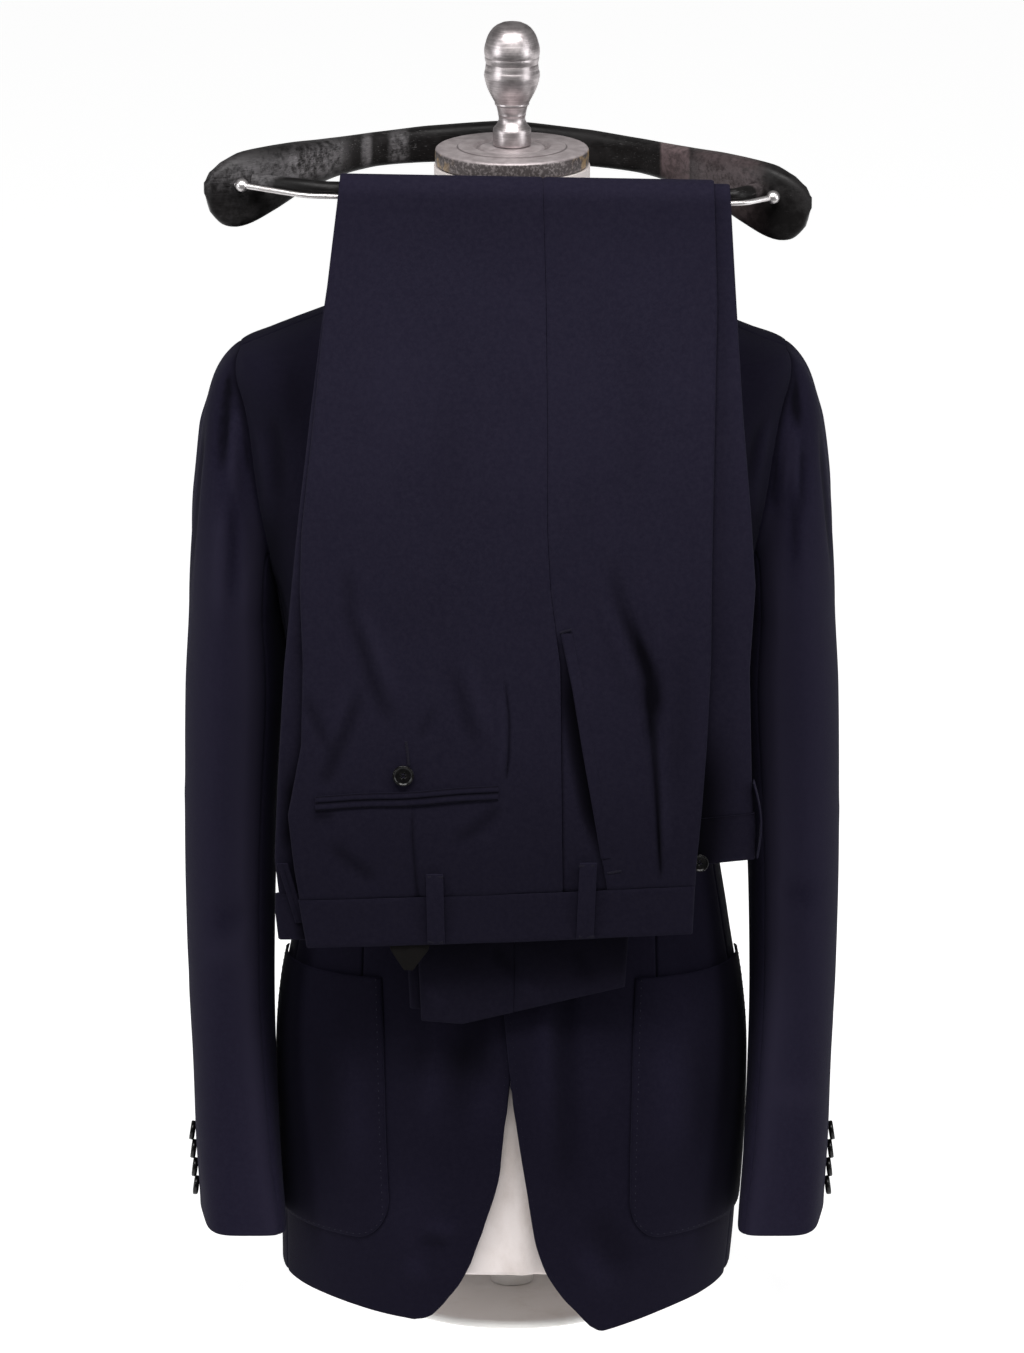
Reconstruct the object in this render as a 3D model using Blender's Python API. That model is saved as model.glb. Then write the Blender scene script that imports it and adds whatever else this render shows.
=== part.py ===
# A two-piece suit: a jacket worn by a limbless dress form, and its trousers, folded at
# their creases and hung over the crossbar of a hanger in front of the form's neck.
# Metres, +Z up. The wearer faces -Y and the wearer's left is +X. The origin is at the
# centre of the floor plate's underside.

import math

import bpy
import numpy as np


def table(columns, *rows):
    """Rows of numbers as a dictionary of named columns."""
    values = np.array(rows, float)
    return {name: values[:, i] for i, name in enumerate(columns.split())}


# ---------------------------------------------------------------- driving dimensions
SEAM_GAP = 0.0003            # between neighbouring pieces
JACKET_WALL = 0.0016         # wool with its canvas
TROUSER_WALL = 0.0010        # one layer of trouser cloth
BAND_WALL = 0.0014           # waistband, two layers and a stiffener
POCKET_WALL = 0.0013
OVERLAY_GAP = 0.0011         # between a panel and a pocket that lies on it
LAPEL_GAP = 0.0016           # between a front and its turned-back edge
SIDES = {"left": 1, "right": -1}

# Outer sections of the jacket's body, and of the neck above it. Depths are from the
# body's axis to the front and the back; squareness 2 is an ellipse.
BODY = table(
    "z half_width front_depth back_depth squareness shift_x",
    (0.000, 0.1675, 0.1350, 0.1240, 2.35, -0.0058),
    (0.100, 0.1725, 0.1345, 0.1250, 2.35, -0.0015),
    (0.190, 0.1745, 0.1330, 0.1270, 2.35, -0.0005),
    (0.244, 0.1710, 0.1305, 0.1240, 2.35, -0.0005),
    (0.300, 0.1615, 0.1250, 0.1150, 2.35, 0.0),
    (0.385, 0.1500, 0.1170, 0.0990, 2.30, 0.0),
    (0.450, 0.1560, 0.1200, 0.1030, 2.40, 0.0),
    (0.514, 0.1690, 0.1260, 0.1120, 2.60, 0.0),
    (0.556, 0.1765, 0.1290, 0.1180, 2.70, 0.0),
    (0.5785, 0.1830, 0.1287, 0.1200, 2.80, 0.0),
    (0.6315, 0.1960, 0.1235, 0.1220, 2.90, 0.0),
    (0.694, 0.2048, 0.1080, 0.1140, 2.90, 0.0010),
    (0.717, 0.2093, 0.0985, 0.1055, 2.80, 0.0010),
    (0.7315, 0.2053, 0.0920, 0.1000, 2.60, 0.0010),
    (0.7385, 0.1900, 0.0885, 0.0965, 2.50, 0.0),
    (0.7485, 0.1660, 0.0840, 0.0915, 2.40, 0.0),
    (0.7595, 0.1380, 0.0785, 0.0865, 2.30, 0.0),
    (0.7735, 0.1080, 0.0710, 0.0795, 2.20, 0.0),
    (0.789, 0.0750, 0.0620, 0.0700, 2.10, 0.0),
    (0.797, 0.0660, 0.0592, 0.0635, 2.05, 0.0),
    (0.810, 0.0595, 0.0578, 0.0590, 2.00, 0.0),
    (0.830, 0.0575, 0.0575, 0.0575, 2.00, 0.0),
    (0.8703, 0.0575, 0.0575, 0.0575, 2.00, 0.0),
)

# Angles round the body are in degrees from the front, positive to the wearer's left.
FRONT_SEAM_ANGLE = 76.0      # front to side body
BACK_SEAM_ANGLE = 118.0      # side body to back
ARMHOLE = {"z": 0.645, "half_height": 0.089, "front": 20.0, "back": 30.0, "power": 0.8}
NECK_SEAM = table(
    "angle z",
    (40, 0.7700), (60, 0.7790), (75, 0.7850), (90, 0.7890), (120, 0.7935),
    (150, 0.7950), (180, 0.7955),
)

# Front edges: how far each lies from the centre line, to its own side.
FRONT_EDGE = {
    "left": table(
        "z inset",
        (0.0075, 0.0665), (0.0138, 0.0560), (0.0350, 0.0389), (0.0550, 0.0263),
        (0.0790, 0.0180), (0.1190, 0.0118), (0.1500, 0.0068), (0.1850, 0.0015),
        (0.2530, -0.0050), (0.3100, -0.0090), (0.4100, -0.0120), (0.4800, 0.0010),
        (0.6000, 0.0260), (0.7000, 0.0460), (0.7860, 0.0660),
    ),
    "right": table(
        "z inset",
        (0.0178, 0.0652), (0.0225, 0.0568), (0.0468, 0.0399), (0.0632, 0.0314),
        (0.0867, 0.0229), (0.1257, 0.0112), (0.1529, 0.0078), (0.1793, 0.0044),
        (0.2530, -0.0040), (0.3100, -0.0090), (0.4100, -0.0120), (0.4800, 0.0010),
        (0.6000, 0.0260), (0.7000, 0.0460), (0.7860, 0.0660),
    ),
}
HEM = {
    "left": table("inset z", (0.0665, 0.0075), (0.094, 0.0133), (0.119, 0.0192),
                  (0.140, 0.0228), (0.156, 0.0256), (0.170, 0.0285)),
    "right": table("inset z", (0.0652, 0.0170), (0.0787, 0.0184), (0.0988, 0.0206),
                   (0.1225, 0.0240), (0.1425, 0.0266), (0.170, 0.0285)),
}
HEM_SIDE_Z = 0.0290          # hem of the side bodies and the back
HEM_BLEND = 0.12             # height over which rows level out above the hem
LAP_RISE = 0.0024            # the left front lies on the right one
LAP_TOP = (0.47, 0.56)       # heights between which the lap fades

LAPEL_WIDTH = table("z width", (0.42, 0.006), (0.46, 0.024), (0.50, 0.040),
                    (0.56, 0.058), (0.62, 0.072), (0.68, 0.083), (0.72, 0.088))
LAPEL_FOOT = {"left": 0.425, "right": 0.480}
GORGE = table("across z", (0.0, 0.758), (0.55, 0.724), (1.0, 0.704))
COLLAR_STAND = 0.028
COLLAR_FALL = table("angle near far", (40, 0.008, 0.030), (65, 0.005, 0.016),
                    (90, 0.003, 0.0085), (140, 0.004, 0.012), (180, 0.004, 0.014))

PATCH_POCKET = {"top": 0.278, "bottom": 0.0775, "outer_angle": 92.0, "corner": 0.032,
                "top_drop": 0.008}
PATCH_INNER = {"left": (0.0860, 0.0917), "right": (0.0920, 0.0970)}

# Sleeves hang from the armhole; x is measured from the centre plane. lean is how far a
# sleeve's front edge is turned in and its back edge out.
SLEEVE = table(
    "z outer_x inner_x centre_y half_depth squareness lean",
    (0.540, 0.2405, 0.1765, 0.0040, 0.0800, 2.40, 0.0),
    (0.480, 0.2434, 0.1728, -0.0040, 0.0760, 2.40, 0.0),
    (0.400, 0.2444, 0.1745, -0.0120, 0.0710, 2.40, 0.0010),
    (0.330, 0.2443, 0.1768, -0.0200, 0.0675, 2.45, 0.0020),
    (0.250, 0.2421, 0.1778, -0.0300, 0.0635, 2.50, 0.0030),
    (0.190, 0.2388, 0.1765, -0.0400, 0.0590, 2.70, 0.0040),
    (0.130, 0.2362, 0.1742, -0.0510, 0.0545, 3.10, 0.0050),
    (0.077, 0.2320, 0.1715, -0.0585, 0.0500, 4.20, 0.0060),
)
ARMHOLE_CLEAR = 0.0014       # the sleeve head starts this far out from the armhole
SLEEVE_SEAMS = (-100.0, 125.0)   # back and front seam, from the outermost line
CUFF_BUTTONS = {"count": 4, "top_z": 0.1340, "pitch": 0.0140, "angle": -15.0,
                "radius": 0.0073, "thickness": 0.0026, "tilt": 11.0}
FRONT_BUTTON_Z = (0.400, 0.292)
FRONT_BUTTON_RADIUS = 0.010

# Trousers: heights of the centre of the two drops, and of each leg's limits. Layers are
# stacked by depth, measured out from that centre.
BAR = {"y": -0.0768, "z": 0.8668, "half_depth": 0.0052, "half_height": 0.0055,
       "end_height": 0.0064, "tip_depth": 0.0035}
BAR_ENDS = {"left": {"bend": 0.1615, "tip": 0.1825}, "right": {"bend": 0.1340, "tip": 0.1900}}
ROD = {"y": -0.0843, "z": 0.8628, "radius": 0.0019, "ball": 0.0045}
ROD_ENDS = {"left": {"knee": 0.1680, "ball_x": 0.1910, "ball_z": 0.8603},
            "right": {"knee": 0.1500, "ball_x": 0.1975, "ball_z": 0.8693}}
HANG_ROLL = 0.018            # drop of the bar and what hangs on it, per unit of x
FOLD_BASE_Z = 0.8640         # where the drops run into the fold over the bar
FOLD_TOP_Z = 0.8759
FRONT_DROP = table(
    "z y",
    (0.300, -0.1575), (0.380, -0.1562), (0.450, -0.1545), (0.540, -0.1515),
    (0.600, -0.1474), (0.660, -0.1378), (0.720, -0.1212), (0.770, -0.1052),
    (0.820, -0.0930), (FOLD_BASE_Z, -0.0894),
)
REAR_DROP = table(
    "z y",
    (FOLD_BASE_Z, -0.0665), (0.820, -0.0748), (0.770, -0.0925), (0.720, -0.1095),
    (0.660, -0.1270), (0.600, -0.1366), (0.540, -0.1390), (0.450, -0.1395),
    (0.240, -0.1400),
)
# Depth of a leg's two faces from the stack's centre, where it hangs free and, less by
# the second number, where it is pressed over the bar.
STACK = {"outside": (0.0046, 0.0020), "inside": (0.0004, 0.0002), "press": (0.02, 0.16)}
HALF_SPREAD = {"depth": 0.0032, "low": 0.44, "high": 0.60}    # right half, at the hips
HIP_BULGE = {"depth": 0.0055, "low": 0.38, "high": 0.66, "half_width": 0.21}

# Legs: limits by height; a height in the rear drop is written as 2 * FOLD_TOP_Z - z.
LEG_EDGES = {
    "left": table(
        "run back_edge front_edge side_seam back_tuck front_tuck",
        (0.3187, -0.1505, 0.1327, 0.0378, -0.0500, 0.0750),
        (0.3759, -0.1600, 0.1352, 0.0373, -0.0450, 0.0720),
        (0.4168, -0.1645, 0.1390, 0.0368, -0.0380, 0.0660),
        (0.4694, -0.1545, 0.1428, 0.0362, -0.0250, 0.0560),
        (0.5295, -0.1530, 0.1455, 0.0355, -0.0050, 0.0400),
        (0.5851, -0.1550, 0.1460, 0.0283, 0.0150, 0.0156),
        (0.6283, -0.1536, 0.1465, 0.0260, 0.0150, 0.0156),
        (0.6971, -0.1460, 0.1480, 0.0260, 0.0150, 0.0156),
        (0.7902, -0.1360, 0.1500, 0.0250, 0.0140, 0.0146),
        (0.8759, -0.1255, 0.1474, 0.0226, 0.0130, 0.0136),
        (1.0000, -0.1120, 0.1330, 0.0180, 0.0100, 0.0106),
        (1.2500, -0.0920, 0.1040, 0.0080, 0.0050, 0.0056),
        (1.4300, -0.0780, 0.0820, 0.0020, 0.0010, 0.0016),
        (1.5200, -0.0740, 0.0770, 0.0010, 0.0005, 0.0011),
    ),
    "right": table(
        "run back_edge front_edge side_seam back_tuck front_tuck",
        (0.3187, -0.1520, 0.1780, 0.0400, -0.0500, 0.1100),
        (0.3545, -0.1715, 0.1785, 0.0400, -0.0480, 0.1080),
        (0.3823, -0.1745, 0.1790, 0.0398, -0.0450, 0.1040),
        (0.4414, -0.1720, 0.1760, 0.0390, -0.0330, 0.0880),
        (0.5244, -0.1670, 0.1740, 0.0380, -0.0060, 0.0420),
        (0.5878, -0.1610, 0.1780, 0.0270, 0.0150, 0.0156),
        (0.6375, -0.1560, 0.1747, 0.0255, 0.0150, 0.0156),
        (0.7126, -0.1470, 0.1686, 0.0248, 0.0150, 0.0156),
        (0.7797, -0.1380, 0.1646, 0.0238, 0.0140, 0.0146),
        (0.8759, -0.1230, 0.1590, 0.0226, 0.0130, 0.0136),
        (1.0000, -0.1090, 0.1430, 0.0180, 0.0100, 0.0106),
        (1.2500, -0.0880, 0.1100, 0.0080, 0.0050, 0.0056),
        (1.4300, -0.0700, 0.0860, 0.0020, 0.0010, 0.0016),
        (1.5200, -0.0660, 0.0800, 0.0010, 0.0005, 0.0011),
    ),
}
WAIST_SEAM = {"left": table("x z", (-0.1510, 0.3530), (0.1327, 0.3639)),
              "right": table("x z", (-0.1520, 0.3560), (0.1327, 0.4127), (0.1790, 0.4172))}
BAND_HEIGHT = {"left": 0.0360, "right": 0.0345}
LEG_HEM = {"left": table("x z", (-0.0780, 0.2640), (-0.0400, 0.2610), (0.0820, 0.2900)),
           "right": table("x z", (-0.0700, 0.2560), (-0.0370, 0.2530), (0.0820, 0.2815))}
LEG_ROWS_FRONT = (0.440, 0.480, 0.525, 0.575, 0.625, 0.675, 0.725, 0.775, 0.820)
LEG_ROWS_REAR = (0.820, 0.770, 0.715, 0.660, 0.600, 0.530, 0.440, 0.350)
FOLD_STEPS = 8
CREASE = 0.0030              # width of the pressed edge of a leg

# Places on the outside of the left leg, by x and height.
BACK_POCKET = {"inner": (-0.0102, 0.4356), "outer": (-0.1440, 0.4266), "lip": 0.0052}
BACK_BUTTON = {"x": -0.0797, "z": 0.4485, "radius": 0.0078}
SLANT_POCKET = {"top": (0.0360, 0.5540), "bottom": (0.0660, 0.3820), "width": 0.0060}
BELT_LOOPS = {
    "belt_loop_side": {"x": 0.0548, "top": 0.3825, "bottom": 0.3255},
    "belt_loop_back": {"x": -0.0563, "top": 0.3740, "bottom": 0.3215},
}
CENTRE_LOOP = {"z": (0.3345, 0.3790), "x": (-0.1590, -0.1722), "width": 0.0072,
               "bow": 0.0008, "wall": 0.0010}
LOOP_WIDTH = 0.0120
LOOP_WALL = 0.0012
WAIST_BUTTON = {"x": 0.1405, "z": 0.3800, "radius": 0.0070}
CURTAIN = {"left_x": -0.0900, "right_x": -0.0585, "tip_x": -0.0746, "tip_z": 0.2985}

# Dress form, its cap and finial: profiles as radius and height.
FORM_BOTTOM = 0.052
FORM_EASE = table(
    "z middle side",
    (0.052, 0.0060, 0.0060), (0.385, 0.0040, 0.0040), (0.560, 0.0040, 0.0030),
    (0.690, 0.0045, 0.0020), (0.743, 0.0040, 0.0011), (0.776, 0.0035, 0.0018),
    (0.797, 0.0030, 0.0030),
)
FORM_NECK = (0.800, 0.825)   # heights between which the form comes out to its own neck
NECK_CAP = table(
    "radius z",
    (0.0, 0.8709), (0.0555, 0.8709), (0.0567, 0.8722), (0.0567, 0.8822),
    (0.0552, 0.8837), (0.0410, 0.8837), (0.0395, 0.8850), (0.0285, 0.8850),
    (0.0270, 0.8822), (0.0245, 0.8822), (0.0235, 0.8842), (0.0150, 0.8850), (0.0, 0.8850),
)
FINIAL = table(
    "radius z",
    (0.0142, 0.8853), (0.0142, 0.8965), (0.0110, 0.9000), (0.0095, 0.9056),
    (0.0104, 0.9095), (0.0120, 0.9200), (0.0184, 0.9310), (0.0202, 0.9391),
    (0.0191, 0.9447), (0.0204, 0.9547), (0.0190, 0.9650), (0.0125, 0.9740),
    (0.0060, 0.9772),
)
FINIAL_TOP = 0.9775
STAND_PLATE = {"radius": 0.1000, "thickness": 0.0070, "bevel": 0.0020}
STAND_POST_RADIUS = 0.0160

# Hanger yoke, from its middle to an end: centre line in plan, height of its upper and
# lower edge, thickness. Both ends differ a little in height.
YOKE = table(
    "x y top bottom thickness",
    (0.0000, 0.0730, 0.8877, 0.8570, 0.0170),
    (0.0600, 0.0680, 0.8833, 0.8567, 0.0170),
    (0.1000, 0.0480, 0.8815, 0.8568, 0.0170),
    (0.1300, 0.0200, 0.8827, 0.8542, 0.0175),
    (0.1550, -0.0120, 0.8862, 0.8490, 0.0180),
    (0.1750, -0.0350, 0.8873, 0.8395, 0.0185),
    (0.1950, -0.0490, 0.8854, 0.8312, 0.0185),
    (0.2090, -0.0550, 0.8790, 0.8325, 0.0170),
    (0.2180, -0.0572, 0.8715, 0.8420, 0.0130),
    (0.2224, -0.0580, 0.8640, 0.8560, 0.0060),
)
YOKE_SHIFT = -0.0030         # the yoke sits a little to the right
YOKE_ROLL = 0.025            # and leans, its left end the lower

COLOURS = {
    "jacket": ((0.0095, 0.0085, 0.0165), 0.85, 0.0),
    "trousers": ((0.0130, 0.0115, 0.0240), 0.85, 0.0),
    "button": ((0.006, 0.006, 0.008), 0.25, 0.0),
    "form": ((0.80, 0.74, 0.70), 0.75, 0.0),
    "steel": ((0.62, 0.58, 0.56), 0.30, 1.0),
    "wood": ((0.012, 0.011, 0.012), 0.50, 0.0),
    "stand": ((0.85, 0.84, 0.83), 0.45, 0.0),
    "curtain": ((0.045, 0.035, 0.032), 0.80, 0.0),
}


# ---------------------------------------------------------------- curves and tables
def smooth_rows(values, at):
    """Catmull-Rom through a column of values, at fractional row numbers."""
    last = len(values) - 1
    i = np.clip(np.floor(at).astype(int), 0, last - 1)
    f = at - i
    p0, p1 = values[np.maximum(i - 1, 0)], values[i]
    p2, p3 = values[i + 1], values[np.minimum(i + 2, last)]
    bend = 2 * p0 - 5 * p1 + 4 * p2 - p3 + f * (3 * (p1 - p2) + p3 - p0)
    return p1 + 0.5 * f * (p2 - p0 + f * bend)


def look_up(rows, key, column, at):
    """A column as a smooth function of a rising key column."""
    number = np.interp(at, rows[key], np.arange(len(rows[key])))
    return smooth_rows(rows[column], number)


def smooth_step(value, start, end):
    t = np.clip((value - start) / (end - start), 0.0, 1.0)
    return t * t * (3 - 2 * t)


def signed_power(value, power):
    return np.sign(value) * np.abs(value) ** power


def unit(vectors):
    return vectors / np.linalg.norm(vectors, axis=-1, keepdims=True)


# ---------------------------------------------------------------- meshes
def make_object(name, verts, faces, finish, sharp=40.0):
    mesh = bpy.data.meshes.new(name)
    mesh.from_pydata([tuple(map(float, v)) for v in verts], [], faces)
    mesh.validate()
    mesh.shade_smooth()
    mesh.set_sharp_from_angle(angle=math.radians(sharp))
    obj = bpy.data.objects.new(name, mesh)
    bpy.context.collection.objects.link(obj)
    colour, roughness, metallic = COLOURS[finish]
    material = bpy.data.materials.new(name)
    material.use_nodes = True
    shader = material.node_tree.nodes["Principled BSDF"]
    shader.inputs["Base Color"].default_value = (*colour, 1.0)
    shader.inputs["Roughness"].default_value = roughness
    shader.inputs["Metallic"].default_value = metallic
    mesh.materials.append(material)
    return obj


def volume(verts, faces):
    """Signed volume of a closed mesh."""
    points = np.asarray(verts, float)
    total = 0.0
    for face in faces:
        for a, b in zip(face[1:-1], face[2:]):
            total += np.dot(points[face[0]], np.cross(points[a], points[b]))
    return total / 6


def closed_object(name, verts, faces, finish, sharp=40.0):
    """A closed mesh, turned so that its faces point out."""
    if volume(verts, faces) < 0:
        faces = [face[::-1] for face in faces]
    return make_object(name, verts, faces, finish, sharp)


def wall(name, outer, inner, finish, ring=False):
    """A closed wall between two grids of points, rows by columns. A ring joins its
    last column to its first."""
    rows, columns = outer.shape[:2]
    verts = np.concatenate([outer.reshape(-1, 3), inner.reshape(-1, 3)])
    layer = rows * columns
    faces = []
    spans = [(i, (i + 1) % columns) for i in range(columns if ring else columns - 1)]
    for j in range(rows - 1):
        for i, k in spans:
            quad = [j * columns + i, j * columns + k, (j + 1) * columns + k,
                    (j + 1) * columns + i]
            faces.append(quad)
            faces.append([layer + v for v in quad[::-1]])
    for i, k in spans:
        low, high = (i, k), ((rows - 1) * columns + k, (rows - 1) * columns + i)
        for a, b in (low, high):
            faces.append([b, a, layer + a, layer + b])
    if not ring:
        for j in range(rows - 1):
            first, last = (j + 1) * columns, j * columns + columns - 1
            faces.append([j * columns, first, layer + first, layer + j * columns])
            faces.append([last + columns, last, layer + last, layer + last + columns])
    return closed_object(name, verts, faces, finish)


def loft(name, rings, finish, sharp=40.0):
    """A closed solid through rings of points, with a flat fan at each end."""
    rows, columns = rings.shape[:2]
    faces = []
    for j in range(rows - 1):
        for i in range(columns):
            k = (i + 1) % columns
            faces.append([j * columns + i, j * columns + k, (j + 1) * columns + k,
                          (j + 1) * columns + i])
    faces.append(list(range(columns))[::-1])
    faces.append([(rows - 1) * columns + i for i in range(columns)])
    return closed_object(name, rings.reshape(-1, 3), faces, finish, sharp)


def turned(name, radii, heights, finish, segments, base=None, axis=None, sharp=40.0):
    """A solid turned round an axis from base; end radii of 0 close to a point."""
    base = np.zeros(3) if base is None else np.asarray(base, float)
    axis = np.array([0.0, 0.0, 1.0]) if axis is None else unit(np.asarray(axis, float))
    helper = np.array([0.0, 0.0, 1.0]) if abs(axis[2]) < 0.9 else np.array([0.0, 1.0, 0.0])
    side = unit(np.cross(helper, axis))
    other = np.cross(axis, side)
    angles = np.arange(segments) * 2 * math.pi / segments
    round_dir = np.outer(np.cos(angles), side) + np.outer(np.sin(angles), other)
    open_rows = [i for i, radius in enumerate(radii) if radius > 0]
    rings = [base + axis * heights[i] + round_dir * radii[i] for i in open_rows]
    verts = list(np.concatenate(rings))
    faces = []
    for j in range(len(rings) - 1):
        for i in range(segments):
            k = (i + 1) % segments
            faces.append([j * segments + i, j * segments + k, (j + 1) * segments + k,
                          (j + 1) * segments + i])
    for end, start in ((0, 0), (-1, (len(rings) - 1) * segments)):
        loop = list(range(start, start + segments))
        if radii[end] > 0:
            faces.append(loop[::-1] if end == 0 else loop)
            continue
        tip = len(verts)
        verts.append(base + axis * heights[end])
        for i in range(segments):
            pair = [loop[i], loop[(i + 1) % segments]]
            faces.append([*(pair[::-1] if end == 0 else pair), tip])
    return closed_object(name, verts, faces, finish, sharp)


# ---------------------------------------------------------------- the body's surface
BODY_DENSE = np.linspace(0, len(BODY["z"]) - 1, 2000)
BODY_DENSE_Z = smooth_rows(BODY["z"], BODY_DENSE)


def body_row(z):
    """Fractional row of the section table at a height."""
    return np.interp(z, BODY_DENSE_Z, BODY_DENSE)


def body_point(angle, row):
    part = {name: smooth_rows(BODY[name], row) for name in BODY}
    across, along = np.sin(angle), np.cos(angle)
    power = 2 / part["squareness"]
    x = part["shift_x"] + part["half_width"] * signed_power(across, power)
    depth = np.where(along > 0, part["front_depth"], part["back_depth"])
    return np.stack([x, -depth * signed_power(along, power), part["z"]], axis=-1)


def body_surface(angle, z, out=0.0):
    """Point on the jacket's outer surface, or out from it along its normal."""
    angle, z = np.broadcast_arrays(np.radians(angle), np.asarray(z, float))
    row = body_row(z)
    step = 1e-3
    across = body_point(angle + step, row) - body_point(angle - step, row)
    up = body_point(angle, row + step) - body_point(angle, row - step)
    normal = unit(np.cross(across, up))
    return body_point(angle, row) + normal * np.asarray(out)[..., None]


def front_angle(x, z):
    """Angle of the point at x on the front of the body."""
    row = body_row(z)
    part = {name: smooth_rows(BODY[name], row)
            for name in ("half_width", "squareness", "shift_x")}
    share = np.clip((x - part["shift_x"]) / part["half_width"], -1, 1)
    return np.degrees(np.arcsin(signed_power(share, part["squareness"] / 2)))


def seam_half_gap(z):
    """Half a seam's gap as an angle."""
    return np.degrees(0.5 * SEAM_GAP / look_up(BODY, "z", "half_width", z))


def armhole_front(z):
    share = np.clip(np.abs(z - ARMHOLE["z"]) / ARMHOLE["half_height"], 0, 1)
    reach = (1 - share ** (2 / ARMHOLE["power"])) ** (ARMHOLE["power"] / 2)
    return 90 - ARMHOLE["front"] * reach


def armhole_back(z):
    share = np.clip(np.abs(z - ARMHOLE["z"]) / ARMHOLE["half_height"], 0, 1)
    reach = (1 - share ** (2 / ARMHOLE["power"])) ** (ARMHOLE["power"] / 2)
    return 90 + ARMHOLE["back"] * reach


def armhole_low(angle):
    """Height of the armhole's lower edge at an angle."""
    extent = np.where(angle < 90, ARMHOLE["front"], ARMHOLE["back"])
    share = np.clip(np.abs(angle - 90) / extent, 0, 1)
    drop = (1 - share ** (2 / ARMHOLE["power"])) ** (ARMHOLE["power"] / 2)
    return ARMHOLE["z"] - ARMHOLE["half_height"] * drop


SHOULDER_TIP = ARMHOLE["z"] + ARMHOLE["half_height"]
FRONT_CORNER = float(armhole_low(np.array(FRONT_SEAM_ANGLE)))
BACK_CORNER = float(armhole_low(np.array(BACK_SEAM_ANGLE)))
SHOULDER_ROWS = [0.7415, 0.7525, 0.7685]


def neck_seam(angle):
    return look_up(NECK_SEAM, "angle", "z", np.abs(angle))


def lap(inset, z, side):
    """How far the left front stands out where it lies on the right one."""
    if side == "right":
        return np.zeros_like(inset)
    return LAP_RISE * (1 - smooth_step(inset, 0.018, 0.045)) * (1 - smooth_step(z, *LAP_TOP))


def panel(name, angle, z, side, finish="jacket", out=0.0, thickness=JACKET_WALL):
    """A wall on the body's surface; angles are to the named side."""
    sign = SIDES[side]
    outer = body_surface(sign * angle, z, out)
    inner = body_surface(sign * angle, z, out - thickness)
    return wall(name, outer, inner, finish)


# ---------------------------------------------------------------- the jacket's pieces
LOW_ROWS = [HEM_SIDE_Z, 0.0345, 0.042, 0.054, 0.072, 0.096, 0.130, 0.170, 0.215, 0.260,
            0.305, 0.350, 0.395, 0.440, 0.485, 0.525, 0.553]
FRONT_SHARES = np.array([0, 0.05, 0.16, 0.32, 0.48, 0.62, 0.75, 0.88, 1.0])
BACK_SHARES = np.array([0, 0.12, 0.25, 0.40, 0.57, 0.78, 1.0])


def front_grid(side, shares, rows):
    """Angles and heights of a front. Its rows are level at the side seam and drop to
    the hem's own line towards the front edge."""
    edge, hem, sign = FRONT_EDGE[side], HEM[side], SIDES[side]
    rows = np.array(rows)
    foot_angle = abs(front_angle(sign * edge["inset"][0], edge["z"][0]))
    foot = foot_angle + (FRONT_SEAM_ANGLE - foot_angle) * shares
    inset = sign * body_surface(sign * foot, HEM_SIDE_Z)[:, 0]
    hem_drop = HEM_SIDE_Z - np.interp(inset, hem["inset"], hem["z"])
    low = np.clip(1 - (rows - HEM_SIDE_Z) / HEM_BLEND, 0, 1)
    z = rows[:, None] - low[:, None] * hem_drop
    edge_x = np.interp(z[:, 0], edge["z"], edge["inset"])
    first = np.abs(front_angle(sign * edge_x, z[:, 0])) * np.sign(edge_x)
    last = np.where(rows < FRONT_CORNER, FRONT_SEAM_ANGLE, armhole_front(rows))
    last = np.where(rows >= SHOULDER_TIP - 1e-6, 90.0, last) - seam_half_gap(rows)
    angle = first[:, None] + (last - first)[:, None] * shares
    top = np.clip((rows - SHOULDER_TIP) / (rows[-1] - SHOULDER_TIP), 0, 1)
    neck_rise = neck_seam(angle[-1]) - SEAM_GAP - rows[-1]
    return angle, z + top[:, None] * neck_rise


def make_front(side):
    rows = [*LOW_ROWS, FRONT_CORNER, 0.605, 0.640, 0.675, 0.703, 0.722, 0.7305, SHOULDER_TIP,
            *SHOULDER_ROWS, 0.786]
    angle, z = front_grid(side, FRONT_SHARES, rows)
    inset = SIDES[side] * body_surface(SIDES[side] * angle, z)[..., 0]
    panel(f"jacket_front_{side}", angle, z, side, out=lap(inset, z, side))


def make_side_body(side):
    share = np.linspace(0, 1, 5)
    angle = FRONT_SEAM_ANGLE + (BACK_SEAM_ANGLE - FRONT_SEAM_ANGLE) * share
    rows = np.array(LOW_ROWS)[:, None] + 0 * angle
    z = np.concatenate([rows, armhole_low(angle)[None, :]])
    panel(f"jacket_side_{side}", angle + seam_half_gap(z) * (1 - 2 * share), z, side)


def make_back(side):
    rows = np.array([*LOW_ROWS, BACK_CORNER, 0.645, 0.680, 0.706, 0.724, 0.7312,
                     SHOULDER_TIP, *SHOULDER_ROWS, 0.7885])
    gap = seam_half_gap(rows)
    first = np.where(rows < BACK_CORNER, BACK_SEAM_ANGLE, armhole_back(rows))
    first = np.where(rows >= SHOULDER_TIP - 1e-6, 90.0, first) + gap
    angle = first[:, None] + (180 - gap - first)[:, None] * BACK_SHARES
    top = np.clip((rows - SHOULDER_TIP) / (rows[-1] - SHOULDER_TIP), 0, 1)
    rise = neck_seam(angle[-1]) - SEAM_GAP - rows[-1]
    panel(f"jacket_back_{side}", angle, rows[:, None] + top[:, None] * rise, side)


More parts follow.
